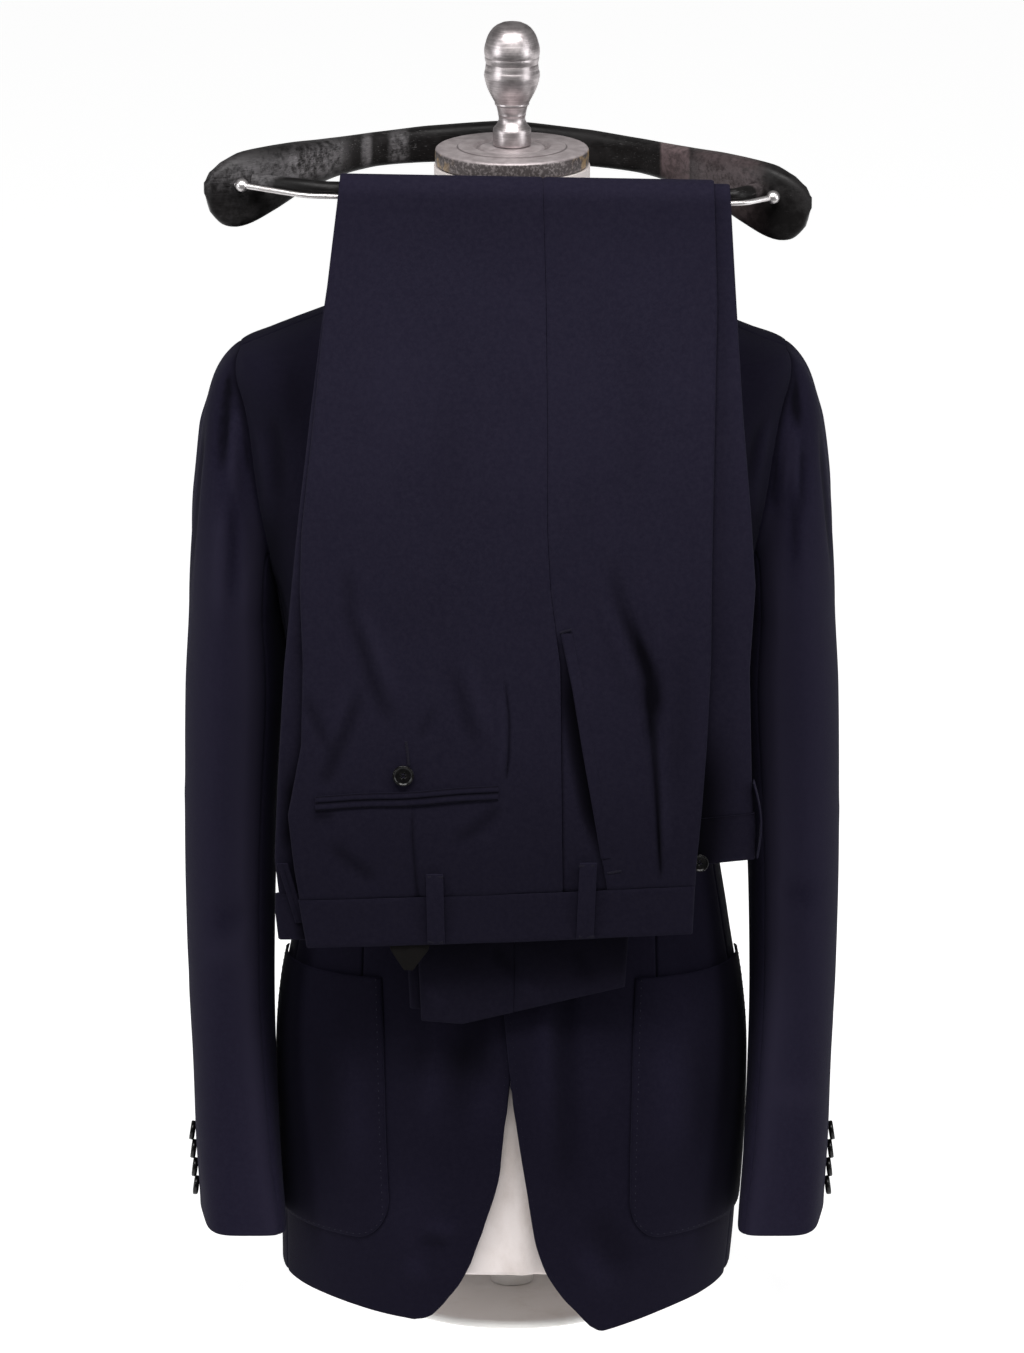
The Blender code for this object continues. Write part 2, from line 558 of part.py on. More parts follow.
def make_lapel(side):
    """The turned-back edge of a front, lying on the front."""
    edge = FRONT_EDGE[side]
    across = np.linspace(0, 1, 6)
    rows = np.linspace(0, 1, 11)
    top = np.interp(across, GORGE["across"], GORGE["z"])
    z = LAPEL_FOOT[side] + (top - LAPEL_FOOT[side]) * rows[:, None]
    roll = np.interp(z, edge["z"], edge["inset"])
    width = look_up(LAPEL_WIDTH, "z", "width", np.clip(z, 0.42, 0.72))
    inset = roll - 0.0012 + width * across
    angle = np.abs(front_angle(SIDES[side] * inset, z)) * np.sign(inset)
    out = lap(inset, z, side) + JACKET_WALL + LAPEL_GAP
    panel(f"lapel_{side}", angle, z, side, out=out)


def make_collar():
    """Stand round the neck, folded over to a fall that lies on the shoulders."""
    half = np.array([44, 55, 67, 79, 92, 106, 121, 136, 152, 166])
    angle = np.concatenate([-half, [180], half[::-1]]).astype(float)
    turn = np.abs(angle)
    seam_z = neck_seam(turn)
    base = body_surface(angle, seam_z, -JACKET_WALL / 2)
    away = body_surface(angle, seam_z, 1.0) - body_surface(angle, seam_z)
    away[:, 2] = 0
    away = unit(away)
    up = np.array([0, 0, 1.0])
    near = look_up(COLLAR_FALL, "angle", "near", turn)
    far = look_up(COLLAR_FALL, "angle", "far", turn)
    height = COLLAR_STAND * (1 - 0.55 * smooth_step(90 - turn, 0, 50))
    stand = [(0.0, 0.04), (-0.0012, 0.45), (-0.0012, 0.82), (0.0010, 1.0), (0.0045, 0.97),
             (0.0068, 0.62)]
    rows = [base + away * out + up * (SEAM_GAP + height * share)[:, None]
            for out, share in stand]
    rows.append(body_surface(angle, seam_z - near, 0.0034))
    rows.append(body_surface(angle, seam_z - far, 0.0026))
    centre = np.array(rows)
    normal = unit(np.cross(np.gradient(centre, axis=1), np.gradient(centre, axis=0)))
    half = normal * JACKET_WALL / 2
    wall("collar", centre + half, centre - half, "jacket")


def make_patch_pocket(side):
    """Patch pocket from the front's points, moved out; its lower corners are round."""
    pocket = PATCH_POCKET
    bottom_x, top_x = PATCH_INNER[side]
    across = np.array([0, 0.05, 0.11, 0.19, 0.3, 0.41, 0.51, 0.61, 0.71, 0.81, 0.91, 1.0])
    rows = np.array([0, 0.04, 0.1, 0.17, 0.35, 0.55, 0.78, 1.0])
    height = pocket["top"] - pocket["bottom"]
    z_flat = pocket["bottom"] + height * rows[:, None] + 0 * across
    inner_x = bottom_x + (top_x - bottom_x) * rows
    first = np.abs(front_angle(SIDES[side] * inner_x, z_flat[:, 0]))
    angle = first[:, None] + (pocket["outer_angle"] - first)[:, None] * across
    width = look_up(BODY, "z", "half_width", 0.18)
    edge = np.minimum(across, 1 - across) * (pocket["outer_angle"] - first[0])
    from_edge = np.radians(edge) * width
    reach = np.clip(1 - from_edge / pocket["corner"], 0, 1)
    lift = pocket["corner"] * (1 - np.sqrt(1 - reach ** 2))
    z = z_flat + lift * (1 - rows[:, None]) - pocket["top_drop"] * rows[:, None] * across
    out = POCKET_WALL + OVERLAY_GAP
    panel(f"patch_pocket_{side}", angle, z, side, out=out, thickness=POCKET_WALL)


# ---------------------------------------------------------------- sleeves
SLEEVE_HEAD = float(SLEEVE["z"][0])
SLEEVE_HEM = float(SLEEVE["z"][-1])


def armhole_point(turn, side):
    """Armhole edge where the sleeve's line at this turn starts, just clear of it."""
    across, along = np.sin(turn), np.cos(turn)
    z = ARMHOLE["z"] + ARMHOLE["half_height"] * signed_power(along, ARMHOLE["power"])
    extent = np.where(across > 0, -ARMHOLE["front"], ARMHOLE["back"])
    angle = 90 + extent * np.abs(across) ** ARMHOLE["power"]
    point = body_surface(SIDES[side] * angle, z)
    point[..., 0] += SIDES[side] * ARMHOLE_CLEAR
    return point


SLEEVE["drop"] = SLEEVE_HEAD - SLEEVE["z"]


def sleeve_ring(turn, z, side):
    part = {name: look_up(SLEEVE, "drop", name, SLEEVE_HEAD - z)
            for name in ("outer_x", "inner_x", "centre_y", "half_depth", "squareness",
                         "lean")}
    power = 2 / part["squareness"]
    centre = (part["outer_x"] + part["inner_x"]) / 2
    half = (part["outer_x"] - part["inner_x"]) / 2
    forward = signed_power(np.sin(turn), power)
    x = centre + half * signed_power(np.cos(turn), power) - part["lean"] * forward
    y = part["centre_y"] - part["half_depth"] * forward
    return np.stack([SIDES[side] * x, y, z + 0 * x], axis=-1)


def sleeve_point(turn, down, side):
    """down runs 0 to 1 over the sleeve head, 1 to 2 from there to the hem."""
    head = armhole_point(turn, side)
    tube_z = SLEEVE_HEAD + (SLEEVE_HEM - SLEEVE_HEAD) * np.clip(down - 1, 0, 1.2)
    ring = sleeve_ring(turn, tube_z, side)
    t = np.clip(down, 0, 1)
    roll = 0.5 * (1 - (1 - t) ** 12) + 0.5 * (1 - (1 - t) ** 1.6)
    drift = 1 - (1 - t) ** 1.6
    share = np.stack([roll, drift, t], axis=-1)
    return head + (ring - head) * share


def sleeve_surface(turn, down, side, out=0.0):
    turn, down = np.broadcast_arrays(np.radians(turn), np.asarray(down, float))
    step = 1e-3
    low = np.maximum(down - step, 0)
    around = sleeve_point(turn + step, down, side) - sleeve_point(turn - step, down, side)
    along = sleeve_point(turn, down + step, side) - sleeve_point(turn, low, side)
    normal = unit(np.cross(around, along)) * SIDES[side]
    return sleeve_point(turn, down, side) + normal * np.asarray(out)[..., None]


def make_sleeve(side):
    back_seam, front_seam = SLEEVE_SEAMS
    down = np.array([0, 0.07, 0.16, 0.30, 0.50, 0.75, 1.0, 1.13, 1.27, 1.41, 1.55, 1.69,
                     1.83, 2.0])
    gap = math.degrees(0.5 * SEAM_GAP / 0.05)
    spans = {"sleeve_top": (back_seam + gap, front_seam - gap, 12),
             "sleeve_under": (front_seam + gap, back_seam + 360 - gap, 8)}
    for name, (start, end, columns) in spans.items():
        turn = np.linspace(start, end, columns)
        grid = np.meshgrid(turn, down)
        outer = sleeve_surface(*grid, side)
        inner = sleeve_surface(*grid, side, -JACKET_WALL)
        wall(f"{name}_{side}", outer, inner, "jacket")


# ---------------------------------------------------------------- buttons
def make_button(name, place, axis, radius, thickness=0.0028):
    """A disc with a raised rim, its flat back at place."""
    radii = [radius * 0.86, radius, radius * 0.96, radius * 0.70, 0.0]
    heights = [0.0, thickness * 0.45, thickness, thickness * 0.62, thickness * 0.62]
    turned(name, radii, heights, "button", 12, place, axis, sharp=50)


def make_cuff_buttons(side):
    group = CUFF_BUTTONS
    for i in range(group["count"]):
        z = group["top_z"] - i * group["pitch"]
        down = 1 + (SLEEVE_HEAD - z) / (SLEEVE_HEAD - SLEEVE_HEM)
        point = sleeve_surface(group["angle"], down, side)
        axis = sleeve_surface(group["angle"], down, side, 1.0) - point
        lean = math.tan(math.radians(group["tilt"]))
        tilted = unit(axis + np.array([0, 0, lean]))
        seat = SEAM_GAP + group["radius"] * math.sin(math.radians(group["tilt"])) * 0.9
        make_button(f"cuff_button_{side}_{i + 1}", point + axis * seat, tilted,
                    group["radius"], group["thickness"])


def make_front_buttons():
    for i, z in enumerate(FRONT_BUTTON_Z):
        angle = front_angle(0.004, z)
        point = body_surface(angle, z, LAP_RISE)
        axis = body_surface(angle, z, 1.0) - body_surface(angle, z)
        make_button(f"front_button_{i + 1}", point + axis * 3 * SEAM_GAP, axis,
                    FRONT_BUTTON_RADIUS)


# ---------------------------------------------------------------- the trousers' path
def trouser_path():
    """Centre of the stack as arc length, y and z, from below the waist, up over the
    bar and down behind."""
    front_z = np.linspace(FRONT_DROP["z"][0], FRONT_DROP["z"][-1], 300)
    front_y = look_up(FRONT_DROP, "z", "y", front_z)
    turn = np.linspace(0, math.pi, 60)[1:-1]
    left, right = FRONT_DROP["y"][-1], REAR_DROP["y"][0]
    low = FOLD_BASE_Z
    fold_y = (left + right) / 2 - (right - left) / 2 * np.cos(turn)
    fold_z = low + (FOLD_TOP_Z - low) * np.sin(turn)
    rear_fall = np.linspace(0, REAR_DROP["z"][0] - REAR_DROP["z"][-1], 320)
    rear = {"fall": REAR_DROP["z"][0] - REAR_DROP["z"], "y": REAR_DROP["y"]}
    rear_y = look_up(rear, "fall", "y", rear_fall)
    y = np.concatenate([front_y, fold_y, rear_y])
    z = np.concatenate([front_z, fold_z, REAR_DROP["z"][0] - rear_fall])
    length = np.concatenate([[0], np.cumsum(np.hypot(np.diff(y), np.diff(z)))])
    return length, y, z


PATH_S, PATH_Y, PATH_Z = trouser_path()
PATH_TOP = float(PATH_S[np.argmax(PATH_Z)])
PATH_DY = np.gradient(PATH_Y, PATH_S)
PATH_DZ = np.gradient(PATH_Z, PATH_S)


def front_s(z):
    """Arc length at a height in the front drop."""
    front = PATH_S <= PATH_TOP
    return np.interp(z, PATH_Z[front], PATH_S[front])


def rear_s(z):
    rear = PATH_S >= PATH_TOP
    return np.interp(-np.asarray(z), -PATH_Z[rear], PATH_S[rear])


def run_of(s):
    """Height in the front drop, going on past the top of the fold behind."""
    z = np.interp(s, PATH_S, PATH_Z)
    return np.where(s <= PATH_TOP, z, 2 * FOLD_TOP_Z - z)


def leg_edge(side, column, s):
    return np.interp(run_of(s), LEG_EDGES[side]["run"], LEG_EDGES[side][column])


def spread(side, s):
    """How far the right half lies behind the left one at the hips."""
    if side == "left":
        return 0.0 * s
    return HALF_SPREAD["depth"] * (1 - smooth_step(run_of(s), HALF_SPREAD["low"],
                                                   HALF_SPREAD["high"]))


def stack_depth(face, s):
    """Depth of a leg's outside or inside face from the stack's centre."""
    free, pressed = STACK[face]
    return free - pressed * (1 - smooth_step(np.abs(run_of(s) - FOLD_TOP_Z), *STACK["press"]))


def trouser_point(x, s, depth):
    """World point at x and arc length s, depth out from the stack's centre."""
    x, s, depth = np.broadcast_arrays(x, s, depth)
    y, z = np.interp(s, PATH_S, PATH_Y), np.interp(s, PATH_S, PATH_Z)
    dy, dz = np.interp(s, PATH_S, PATH_DY), np.interp(s, PATH_S, PATH_DZ)
    length = np.hypot(dy, dz)
    bulge = HIP_BULGE["depth"] * np.cos(np.clip(x / HIP_BULGE["half_width"], -1, 1)
                                        * math.pi / 2) ** 2
    rise = 1 - smooth_step(run_of(s), HIP_BULGE["low"], HIP_BULGE["high"])
    out = depth + bulge * rise
    roll = HANG_ROLL * x * smooth_step(-np.abs(run_of(s) - FOLD_TOP_Z), -0.20, -0.04)
    return np.stack([x, y - out * dz / length, z + out * dy / length - roll], axis=-1)


# ---------------------------------------------------------------- the trousers' pieces
FOLD_COLUMNS = (("outer", 0.0), ("outer", 0.34), ("outer", 0.68), ("outer", 1.0),
                ("edge", 1.0), ("inner", 1.0), ("inner", 0.5), ("inner", 0.0))


def folded_half(side, edge, s, thickness, spare=0.0):
    """Outer and inner points of half a flattened leg, from its side seam round the
    pressed edge to its inner end, rows by s. edge is front or back."""
    toward = 1 if edge == "front" else -1
    limit = leg_edge(side, f"{edge}_edge", s)
    seam = leg_edge(side, "side_seam", s) + toward * SEAM_GAP / 2
    tuck = leg_edge(side, f"{edge}_tuck", s)
    outside = stack_depth("outside", s) + spare
    inside = stack_depth("inside", s) - spare
    middle = (outside + inside) / 2
    shoulder = limit - toward * CREASE
    lining = shoulder - toward * 0.5 * thickness
    outer, inner = [], []
    for stretch, share in FOLD_COLUMNS:
        if stretch == "outer":
            faces = (seam + (shoulder - seam) * share, outside,
                     seam + (lining - seam) * share, outside - thickness)
        elif stretch == "edge":
            faces = (limit, middle, limit - toward * 1.6 * thickness, middle)
        else:
            faces = (tuck + (shoulder - tuck) * share, inside,
                     tuck + (lining - tuck) * share, inside + thickness)
        outer.append((faces[0], s, SIDES[side] * faces[1] - spread(side, s)))
        inner.append((faces[2], s, SIDES[side] * faces[3] - spread(side, s)))
    return np.array(outer).transpose(2, 0, 1), np.array(inner).transpose(2, 0, 1)


def leg_rows():
    fold = np.linspace(front_s(FOLD_BASE_Z), rear_s(FOLD_BASE_Z), FOLD_STEPS + 1)
    return np.concatenate([front_s(np.array(LEG_ROWS_FRONT)), fold,
                           rear_s(np.array(LEG_ROWS_REAR))])


def slanted_ends(grid, side, low, high):
    """Move the first and last row to the waist seam and the leg's hem."""
    grid = grid.copy()
    if low is not None:
        seam = WAIST_SEAM[side]
        z = np.interp(grid[0, :, 0], seam["x"], seam["z"])
        grid[0, :, 1] = front_s(z + low)
    if high:
        hem = LEG_HEM[side]
        z = np.interp(grid[-1, :, 0], hem["x"], hem["z"])
        grid[-1, :, 1] = rear_s(z)
    return grid


def make_leg_half(side, edge):
    s = leg_rows()
    s = np.concatenate([[front_s(0.40)], s, [rear_s(0.28)]])
    outer, inner = folded_half(side, edge, s, TROUSER_WALL)
    grids = [slanted_ends(grid, side, SEAM_GAP / 2, True) for grid in (outer, inner)]
    points = [trouser_point(g[..., 0], g[..., 1], g[..., 2]) for g in grids]
    wall(f"trouser_{edge}_{side}", *points, "trousers")


def make_waistband(side):
    """The band, folded like the leg below it, from the back tuck to the front one."""
    seam = WAIST_SEAM[side]
    rows = np.array([-BAND_HEIGHT[side], -BAND_HEIGHT[side] / 2, -SEAM_GAP / 2])
    middle = float(np.mean(seam["z"]))
    halves = [folded_half(side, edge, front_s(middle + rows), BAND_WALL, SEAM_GAP)
              for edge in ("back", "front")]
    points = []
    for face in (0, 1):
        back, front = halves[0][face][:, ::-1], halves[1][face]
        grid = np.concatenate([back[:, :-1], front[:, 1:]], axis=1)
        z = np.interp(grid[..., 0], seam["x"], seam["z"]) + rows[:, None]
        points.append(trouser_point(grid[..., 0], front_s(z), grid[..., 2]))
    wall(f"waistband_{side}", *points, "trousers")


# ---------------------------------------------------------------- on the trousers
OUTSIDE = STACK["outside"][0]


def strip(name, x, z, depth, thickness, finish="trousers"):
    """A wall on the outside of the left leg, from grids of x and z."""
    s = front_s(z)
    outer = trouser_point(x, s, depth + thickness)
    inner = trouser_point(x, s, depth)
    return wall(name, outer, inner, finish)


def make_back_pocket():
    """Two jetted lips, one above the other, and the pocket's button."""
    pocket = BACK_POCKET
    share = np.linspace(0, 1, 6)
    x = pocket["outer"][0] + (pocket["inner"][0] - pocket["outer"][0]) * share
    mouth = pocket["outer"][1] + (pocket["inner"][1] - pocket["outer"][1]) * share
    for name, low, high in (("lower", 0.0004, pocket["lip"]), ("upper", -pocket["lip"], 0.0)):
        rows = np.array([low, high])
        z = mouth + rows[:, None]
        strip(f"back_pocket_{name}_lip", np.tile(x, (2, 1)), z, OUTSIDE + 2 * SEAM_GAP, 0.0011)
    button = BACK_BUTTON
    s = front_s(button["z"])
    base = trouser_point(button["x"], s, OUTSIDE + 3 * SEAM_GAP)
    axis = trouser_point(button["x"], s, OUTSIDE + 1.0) - trouser_point(button["x"], s, OUTSIDE)
    make_button("back_pocket_button", base, axis, button["radius"])


def make_slant_pocket():
    """The turned edge of the slant pocket's mouth."""
    pocket = SLANT_POCKET
    share = np.linspace(0, 1, 6)[:, None]
    x = pocket["bottom"][0] + (pocket["top"][0] - pocket["bottom"][0]) * share
    z = pocket["bottom"][1] + (pocket["top"][1] - pocket["bottom"][1]) * share
    across = np.array([0.0, pocket["width"]])
    strip("slant_pocket_mouth", x + across, z + 0 * across, OUTSIDE + 2 * SEAM_GAP, 0.0010)


def make_belt_loops():
    bow = np.array([0, 0.0014, 0.0020, 0.0014, 0])[:, None]
    for name, place in BELT_LOOPS.items():
        z = np.linspace(place["bottom"], place["top"], 5)[:, None] + np.zeros(2)
        x = place["x"] + np.array([-0.5, 0.5]) * LOOP_WIDTH + 0 * z
        base = OUTSIDE + 3 * SEAM_GAP + bow
        strip(name, x, z, base, LOOP_WALL)


def make_edge_loop(name, side, edge, low, high):
    """A belt loop that bows out from a folded edge of the band."""
    toward = 1 if edge == "front" else -1
    share = np.linspace(0, 1, 6)
    s = front_s(low + (high - low) * share)
    limit = leg_edge(side, f"{edge}_edge", s)
    bow = 0.0008 + 0.0040 * np.sin(np.pi * share)
    middle = SIDES[side] * (stack_depth("outside", s) + stack_depth("inside", s)) / 2
    depth = (middle - spread(side, s))[:, None] + np.array([-0.5, 0.5]) * LOOP_WIDTH
    outer = trouser_point((limit + toward * (bow + LOOP_WALL))[:, None], s[:, None], depth)
    inner = trouser_point((limit + toward * bow)[:, None], s[:, None], depth)
    wall(name, outer, inner, "trousers")


def make_centre_loop():
    """The loop at the centre back, on the right half where it shows behind the left."""
    loop = CENTRE_LOOP
    share = np.linspace(0, 1, 5)[:, None]
    z = loop["z"][0] + (loop["z"][1] - loop["z"][0]) * share + np.zeros(2)
    x = loop["x"][0] + (loop["x"][1] - loop["x"][0]) * share + np.array([0, loop["width"]])
    s = front_s(z)
    bow = loop["bow"] * np.sin(np.pi * share)
    base = 4 * SEAM_GAP - stack_depth("inside", s) - spread("right", s) + bow
    strip("belt_loop_centre", x, z, base, loop["wall"])


def make_waist_button():
    """Button of the band's closing, on the inner face of the right half."""
    button = WAIST_BUTTON
    s = front_s(button["z"])
    depth = 3 * SEAM_GAP - stack_depth("inside", s) - spread("right", s)
    base = trouser_point(button["x"], s, depth)
    axis = trouser_point(button["x"], s, 1.0) - trouser_point(button["x"], s, 0.0)
    make_button("waist_button", base, axis, button["radius"], 0.0024)


def make_curtain():
    """The tip of the band's curtain, hanging out under the band's outer layer."""
    seam = WAIST_SEAM["left"]
    curtain = CURTAIN
    x = np.array([[curtain["tip_x"] - 0.001, curtain["tip_x"] + 0.001],
                  [curtain["left_x"], curtain["right_x"]],
                  [curtain["left_x"], curtain["right_x"]]])
    band_low = np.interp(x, seam["x"], seam["z"]) - BAND_HEIGHT["left"]
    z = np.array([[curtain["tip_z"]] * 2, band_low[1], band_low[1] + 0.012])
    depth = OUTSIDE - BAND_WALL - 2 * SEAM_GAP - 0.0006
    strip("waistband_curtain", x, z, depth, 0.0006, "curtain")


# ---------------------------------------------------------------- form, hanger, stand
def make_form():
    z = np.array([FORM_BOTTOM, FORM_BOTTOM + 0.002, 0.100, 0.150, 0.200, 0.250, 0.300, 0.345,
                  0.390, 0.440, 0.490, 0.540, 0.590, 0.640, 0.690, 0.722, 0.7355, 0.7445,
                  0.756, 0.770, 0.786, 0.797, 0.812, 0.832, 0.8703])[:, None]
    half = np.array([0, 20, 37, 50, 61, 71, 81, 90, 99, 109, 120, 131, 144, 160])
    turn = np.concatenate([half, [180], -half[:0:-1]]).astype(float)
    side = np.abs(np.sin(np.radians(turn))) ** 3
    ease = (np.interp(z, FORM_EASE["z"], FORM_EASE["middle"]) * (1 - side)
            + np.interp(z, FORM_EASE["z"], FORM_EASE["side"]) * side)
    inset = (JACKET_WALL + ease) * (1 - smooth_step(z, *FORM_NECK))
    inset[0] += 0.0015
    rings = body_surface(turn, z, -inset)
    rings[0, :, 2] = FORM_BOTTOM
    rings[-1, :, 2] = z[-1]
    loft("form_torso", rings, "form")


def make_cap_and_finial():
    turned("neck_cap", NECK_CAP["radius"], NECK_CAP["z"], "steel", 28, sharp=30)
    radii = [*FINIAL["radius"], 0.0]
    heights = [*FINIAL["z"], FINIAL_TOP]
    turned("finial", radii, heights, "steel", 16, sharp=50)


def make_stand():
    plate = STAND_PLATE
    radii = [plate["radius"] - plate["bevel"], plate["radius"], plate["radius"],
             plate["radius"] - plate["bevel"]]
    heights = [0.0, plate["bevel"], plate["thickness"] - plate["bevel"], plate["thickness"]]
    turned("stand_plate", radii, heights, "stand", 40, sharp=60)
    foot, top = plate["thickness"] + SEAM_GAP, FORM_BOTTOM - SEAM_GAP
    turned("stand_post", [STAND_POST_RADIUS] * 2, [foot, top], "stand", 20)


def yoke_row(x):
    """Centre, edges and thickness of the yoke at a signed x."""
    from_middle = x - YOKE_SHIFT
    part = {name: look_up(YOKE, "x", name, np.abs(from_middle)) for name in YOKE}
    for edge in ("top", "bottom"):
        part[edge] = part[edge] - YOKE_ROLL * from_middle
    return part


def make_yoke():
    between = [0.030, 0.080, 0.115, 0.143, 0.165, 0.185, 0.203, 0.214]
    stations = np.sort(np.concatenate([YOKE["x"], between]))
    x = np.concatenate([-stations[:0:-1], stations]) + YOKE_SHIFT
    part = yoke_row(x)
    centre = np.stack([x, part["y"]], axis=-1)
    along = unit(np.gradient(centre, axis=0))
    away = np.stack([along[:, 1], -along[:, 0]], axis=-1)
    section = np.radians(np.arange(0, 360, 36) + 18)
    depth = signed_power(np.cos(section), 0.62)
    rise = signed_power(np.sin(section), 0.72)
    thick = part["thickness"][:, None] / 2
    middle = (part["top"] + part["bottom"])[:, None] / 2
    tall = (part["top"] - part["bottom"])[:, None] / 2
    rings = np.stack([x[:, None] + away[:, :1] * thick * depth,
                      part["y"][:, None] + away[:, 1:] * thick * depth,
                      middle + tall * rise], axis=-1)
    loft("hanger_yoke", rings, "wood", sharp=50)


def make_bracket():
    """Block between the back of the neck and the yoke."""
    x = np.linspace(-0.022, 0.022, 5)
    z = np.array([0.8610, 0.8700])
    grid_x, grid_z = np.meshgrid(x, z)
    neck = np.sqrt((0.0575 + SEAM_GAP * 1.5) ** 2 - grid_x ** 2)
    face = yoke_row(grid_x)["y"] - 0.0170 / 2 - 2 * SEAM_GAP
    outer = np.stack([grid_x, face, grid_z], axis=-1)
    inner = np.stack([grid_x, neck, grid_z], axis=-1)
    wall("hanger_bracket", outer, inner, "wood")


def lobe_face(x):
    """y of the yoke's front face at a signed x."""
    step = math.copysign(0.002, x)
    here, there = yoke_row(np.array(x)), yoke_row(np.array(x + step))
    slope = math.atan2(float(here["y"] - there["y"]), abs(step))
    return float(here["y"]) - float(here["thickness"]) / 2 / math.cos(slope)


def tube(name, centre, half_side, half_up, finish, sharp=60):
    """A round bar along points that run mostly in x, with its half sizes by point."""
    centre = np.array(centre, float)
    along = unit(np.gradient(centre, axis=0))
    side = unit(np.cross(along, np.array([0, 0, 1.0])))
    rise = np.cross(side, along)
    turn = np.radians(np.arange(0, 360, 36))[:, None]
    ring = (side[:, None] * np.array(half_side)[:, None, None] * np.cos(turn)
            + rise[:, None] * np.array(half_up)[:, None, None] * np.sin(turn))
    return loft(name, centre[:, None] + ring, finish, sharp)


def both_ends(ends):
    """Rows from the right end's tip to the middle and out to the left end's tip."""
    return [*ends["right"], *ends["left"][::-1]]


def make_crossbar():
    """Bar that the trousers hang over; its ends bend back on to the yoke's lobes."""
    bar = BAR
    points, depths, heights = {}, {}, {}
    for side, end in BAR_ENDS.items():
        tip_y = lobe_face(SIDES[side] * end["tip"]) - bar["tip_depth"] - SEAM_GAP
        share = np.array([1.0, 0.85, 0.6, 0.3, 0.0])
        x = SIDES[side] * (end["bend"] + (end["tip"] - end["bend"]) * share)
        back = smooth_step(share, 0.0, 1.2) / smooth_step(1.0, 0.0, 1.2)
        y = bar["y"] + (tip_y - bar["y"]) * back
        points[side] = np.stack([x, y, bar["z"] - HANG_ROLL * x], axis=-1)
        taper = np.array([0.0, 0.6, 1.0, 1.0, 1.0])
        depths[side] = bar["tip_depth"] + (bar["half_depth"] - bar["tip_depth"]) * taper
        swell = np.array([0.3, 0.9, 1.0, 1.0, 0.0])
        heights[side] = bar["half_height"] + (bar["end_height"] - bar["half_height"]) * swell
    tube("hanger_crossbar", both_ends(points), both_ends(depths), both_ends(heights), "wood")


def make_rod():
    """Thin steel rod in front of the bar, a ball on each end against a lobe."""
    ball, radius = ROD["ball"], ROD["radius"]
    profile = table("along size", (-0.97, 0.26), (-0.75, 0.68), (0.0, 1.0), (0.75, 0.68),
                    (0.93, 0.42))
    points, sizes = {}, {}
    for side, end in ROD_ENDS.items():
        ball_x = SIDES[side] * end["ball_x"]
        centre = np.array([ball_x, lobe_face(ball_x) - ball - 2 * SEAM_GAP, end["ball_z"]])
        knee_x = SIDES[side] * end["knee"]
        knee = np.array([knee_x, ROD["y"], ROD["z"] - HANG_ROLL * knee_x])
        away = unit(knee - centre)
        inward = -SIDES[side] * 0.008 * np.array([1.0, 0.0, -HANG_ROLL])
        points[side] = [*(centre + away * ball * profile["along"][:, None]),
                        knee - away * 0.005, knee + inward]
        sizes[side] = [*(ball * profile["size"]), radius, radius]
    tube("trouser_rod", both_ends(points), both_ends(sizes), both_ends(sizes), "steel")


# ---------------------------------------------------------------- everything
def build():
    for obj in list(bpy.data.objects):
        bpy.data.objects.remove(obj)
    make_stand()
    make_form()
    make_cap_and_finial()
    make_yoke()
    make_bracket()
    make_crossbar()
    make_rod()
    for side in SIDES:
        make_front(side)
        make_side_body(side)
        make_back(side)
        make_lapel(side)
        make_patch_pocket(side)
        make_sleeve(side)
        make_cuff_buttons(side)
        make_waistband(side)
        for edge in ("front", "back"):
            make_leg_half(side, edge)
    make_collar()
    make_front_buttons()
    make_back_pocket()
    make_slant_pocket()
    make_belt_loops()
    make_edge_loop("belt_loop_front", "right", "front", 0.3840, 0.4400)
    make_centre_loop()
    make_waist_button()
    make_curtain()


build()
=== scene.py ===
import math
import re

import bmesh
import bpy
import numpy as np
from mathutils import Matrix, Vector


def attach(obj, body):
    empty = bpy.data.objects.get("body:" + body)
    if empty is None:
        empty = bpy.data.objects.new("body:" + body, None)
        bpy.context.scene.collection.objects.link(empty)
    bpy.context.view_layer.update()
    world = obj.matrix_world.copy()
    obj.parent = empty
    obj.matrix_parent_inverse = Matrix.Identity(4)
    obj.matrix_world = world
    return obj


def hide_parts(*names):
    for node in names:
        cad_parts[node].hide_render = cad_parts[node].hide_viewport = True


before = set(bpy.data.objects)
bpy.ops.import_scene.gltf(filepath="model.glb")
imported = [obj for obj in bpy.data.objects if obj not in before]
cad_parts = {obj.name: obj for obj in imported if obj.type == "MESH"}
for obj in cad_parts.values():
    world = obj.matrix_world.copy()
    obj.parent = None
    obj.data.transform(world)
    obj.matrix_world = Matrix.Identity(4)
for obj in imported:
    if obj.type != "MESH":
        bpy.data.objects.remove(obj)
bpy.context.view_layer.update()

# Two-piece suit: the jacket on a limbless dress form, the trousers folded over the bar of a
# hanger in front of the neck. Metres; the wearer's left is +X and the wearer faces -Y.

signs = {"left": 1, "right": -1}
seamGap = 0.0003
made = []       # every finished piece: object, nodes that it replaces, slot


# numbers and curves

tenths = 1e4     # the tables of shapes below are written in tenths of a millimetre


def columns(names, *rows):
    # the columns of a table by name: lengths, unless the name is one of these three
    values = np.array(rows, float)
    return {name: values[:, i] / (1 if name in ("angle", "across", "squareness") else tenths)
            for i, name in enumerate(names.split())}


def smoothRows(values, at):
    # Catmull-Rom through a column of values, at fractional row numbers
    last = len(values) - 1
    i = np.clip(np.floor(at).astype(int), 0, last - 1)
    f = at - i
    p0, p1 = values[np.maximum(i - 1, 0)], values[i]
    p2, p3 = values[i + 1], values[np.minimum(i + 2, last)]
    bend = 2 * p0 - 5 * p1 + 4 * p2 - p3 + f * (3 * (p1 - p2) + p3 - p0)
    return p1 + 0.5 * f * (p2 - p0 + f * bend)


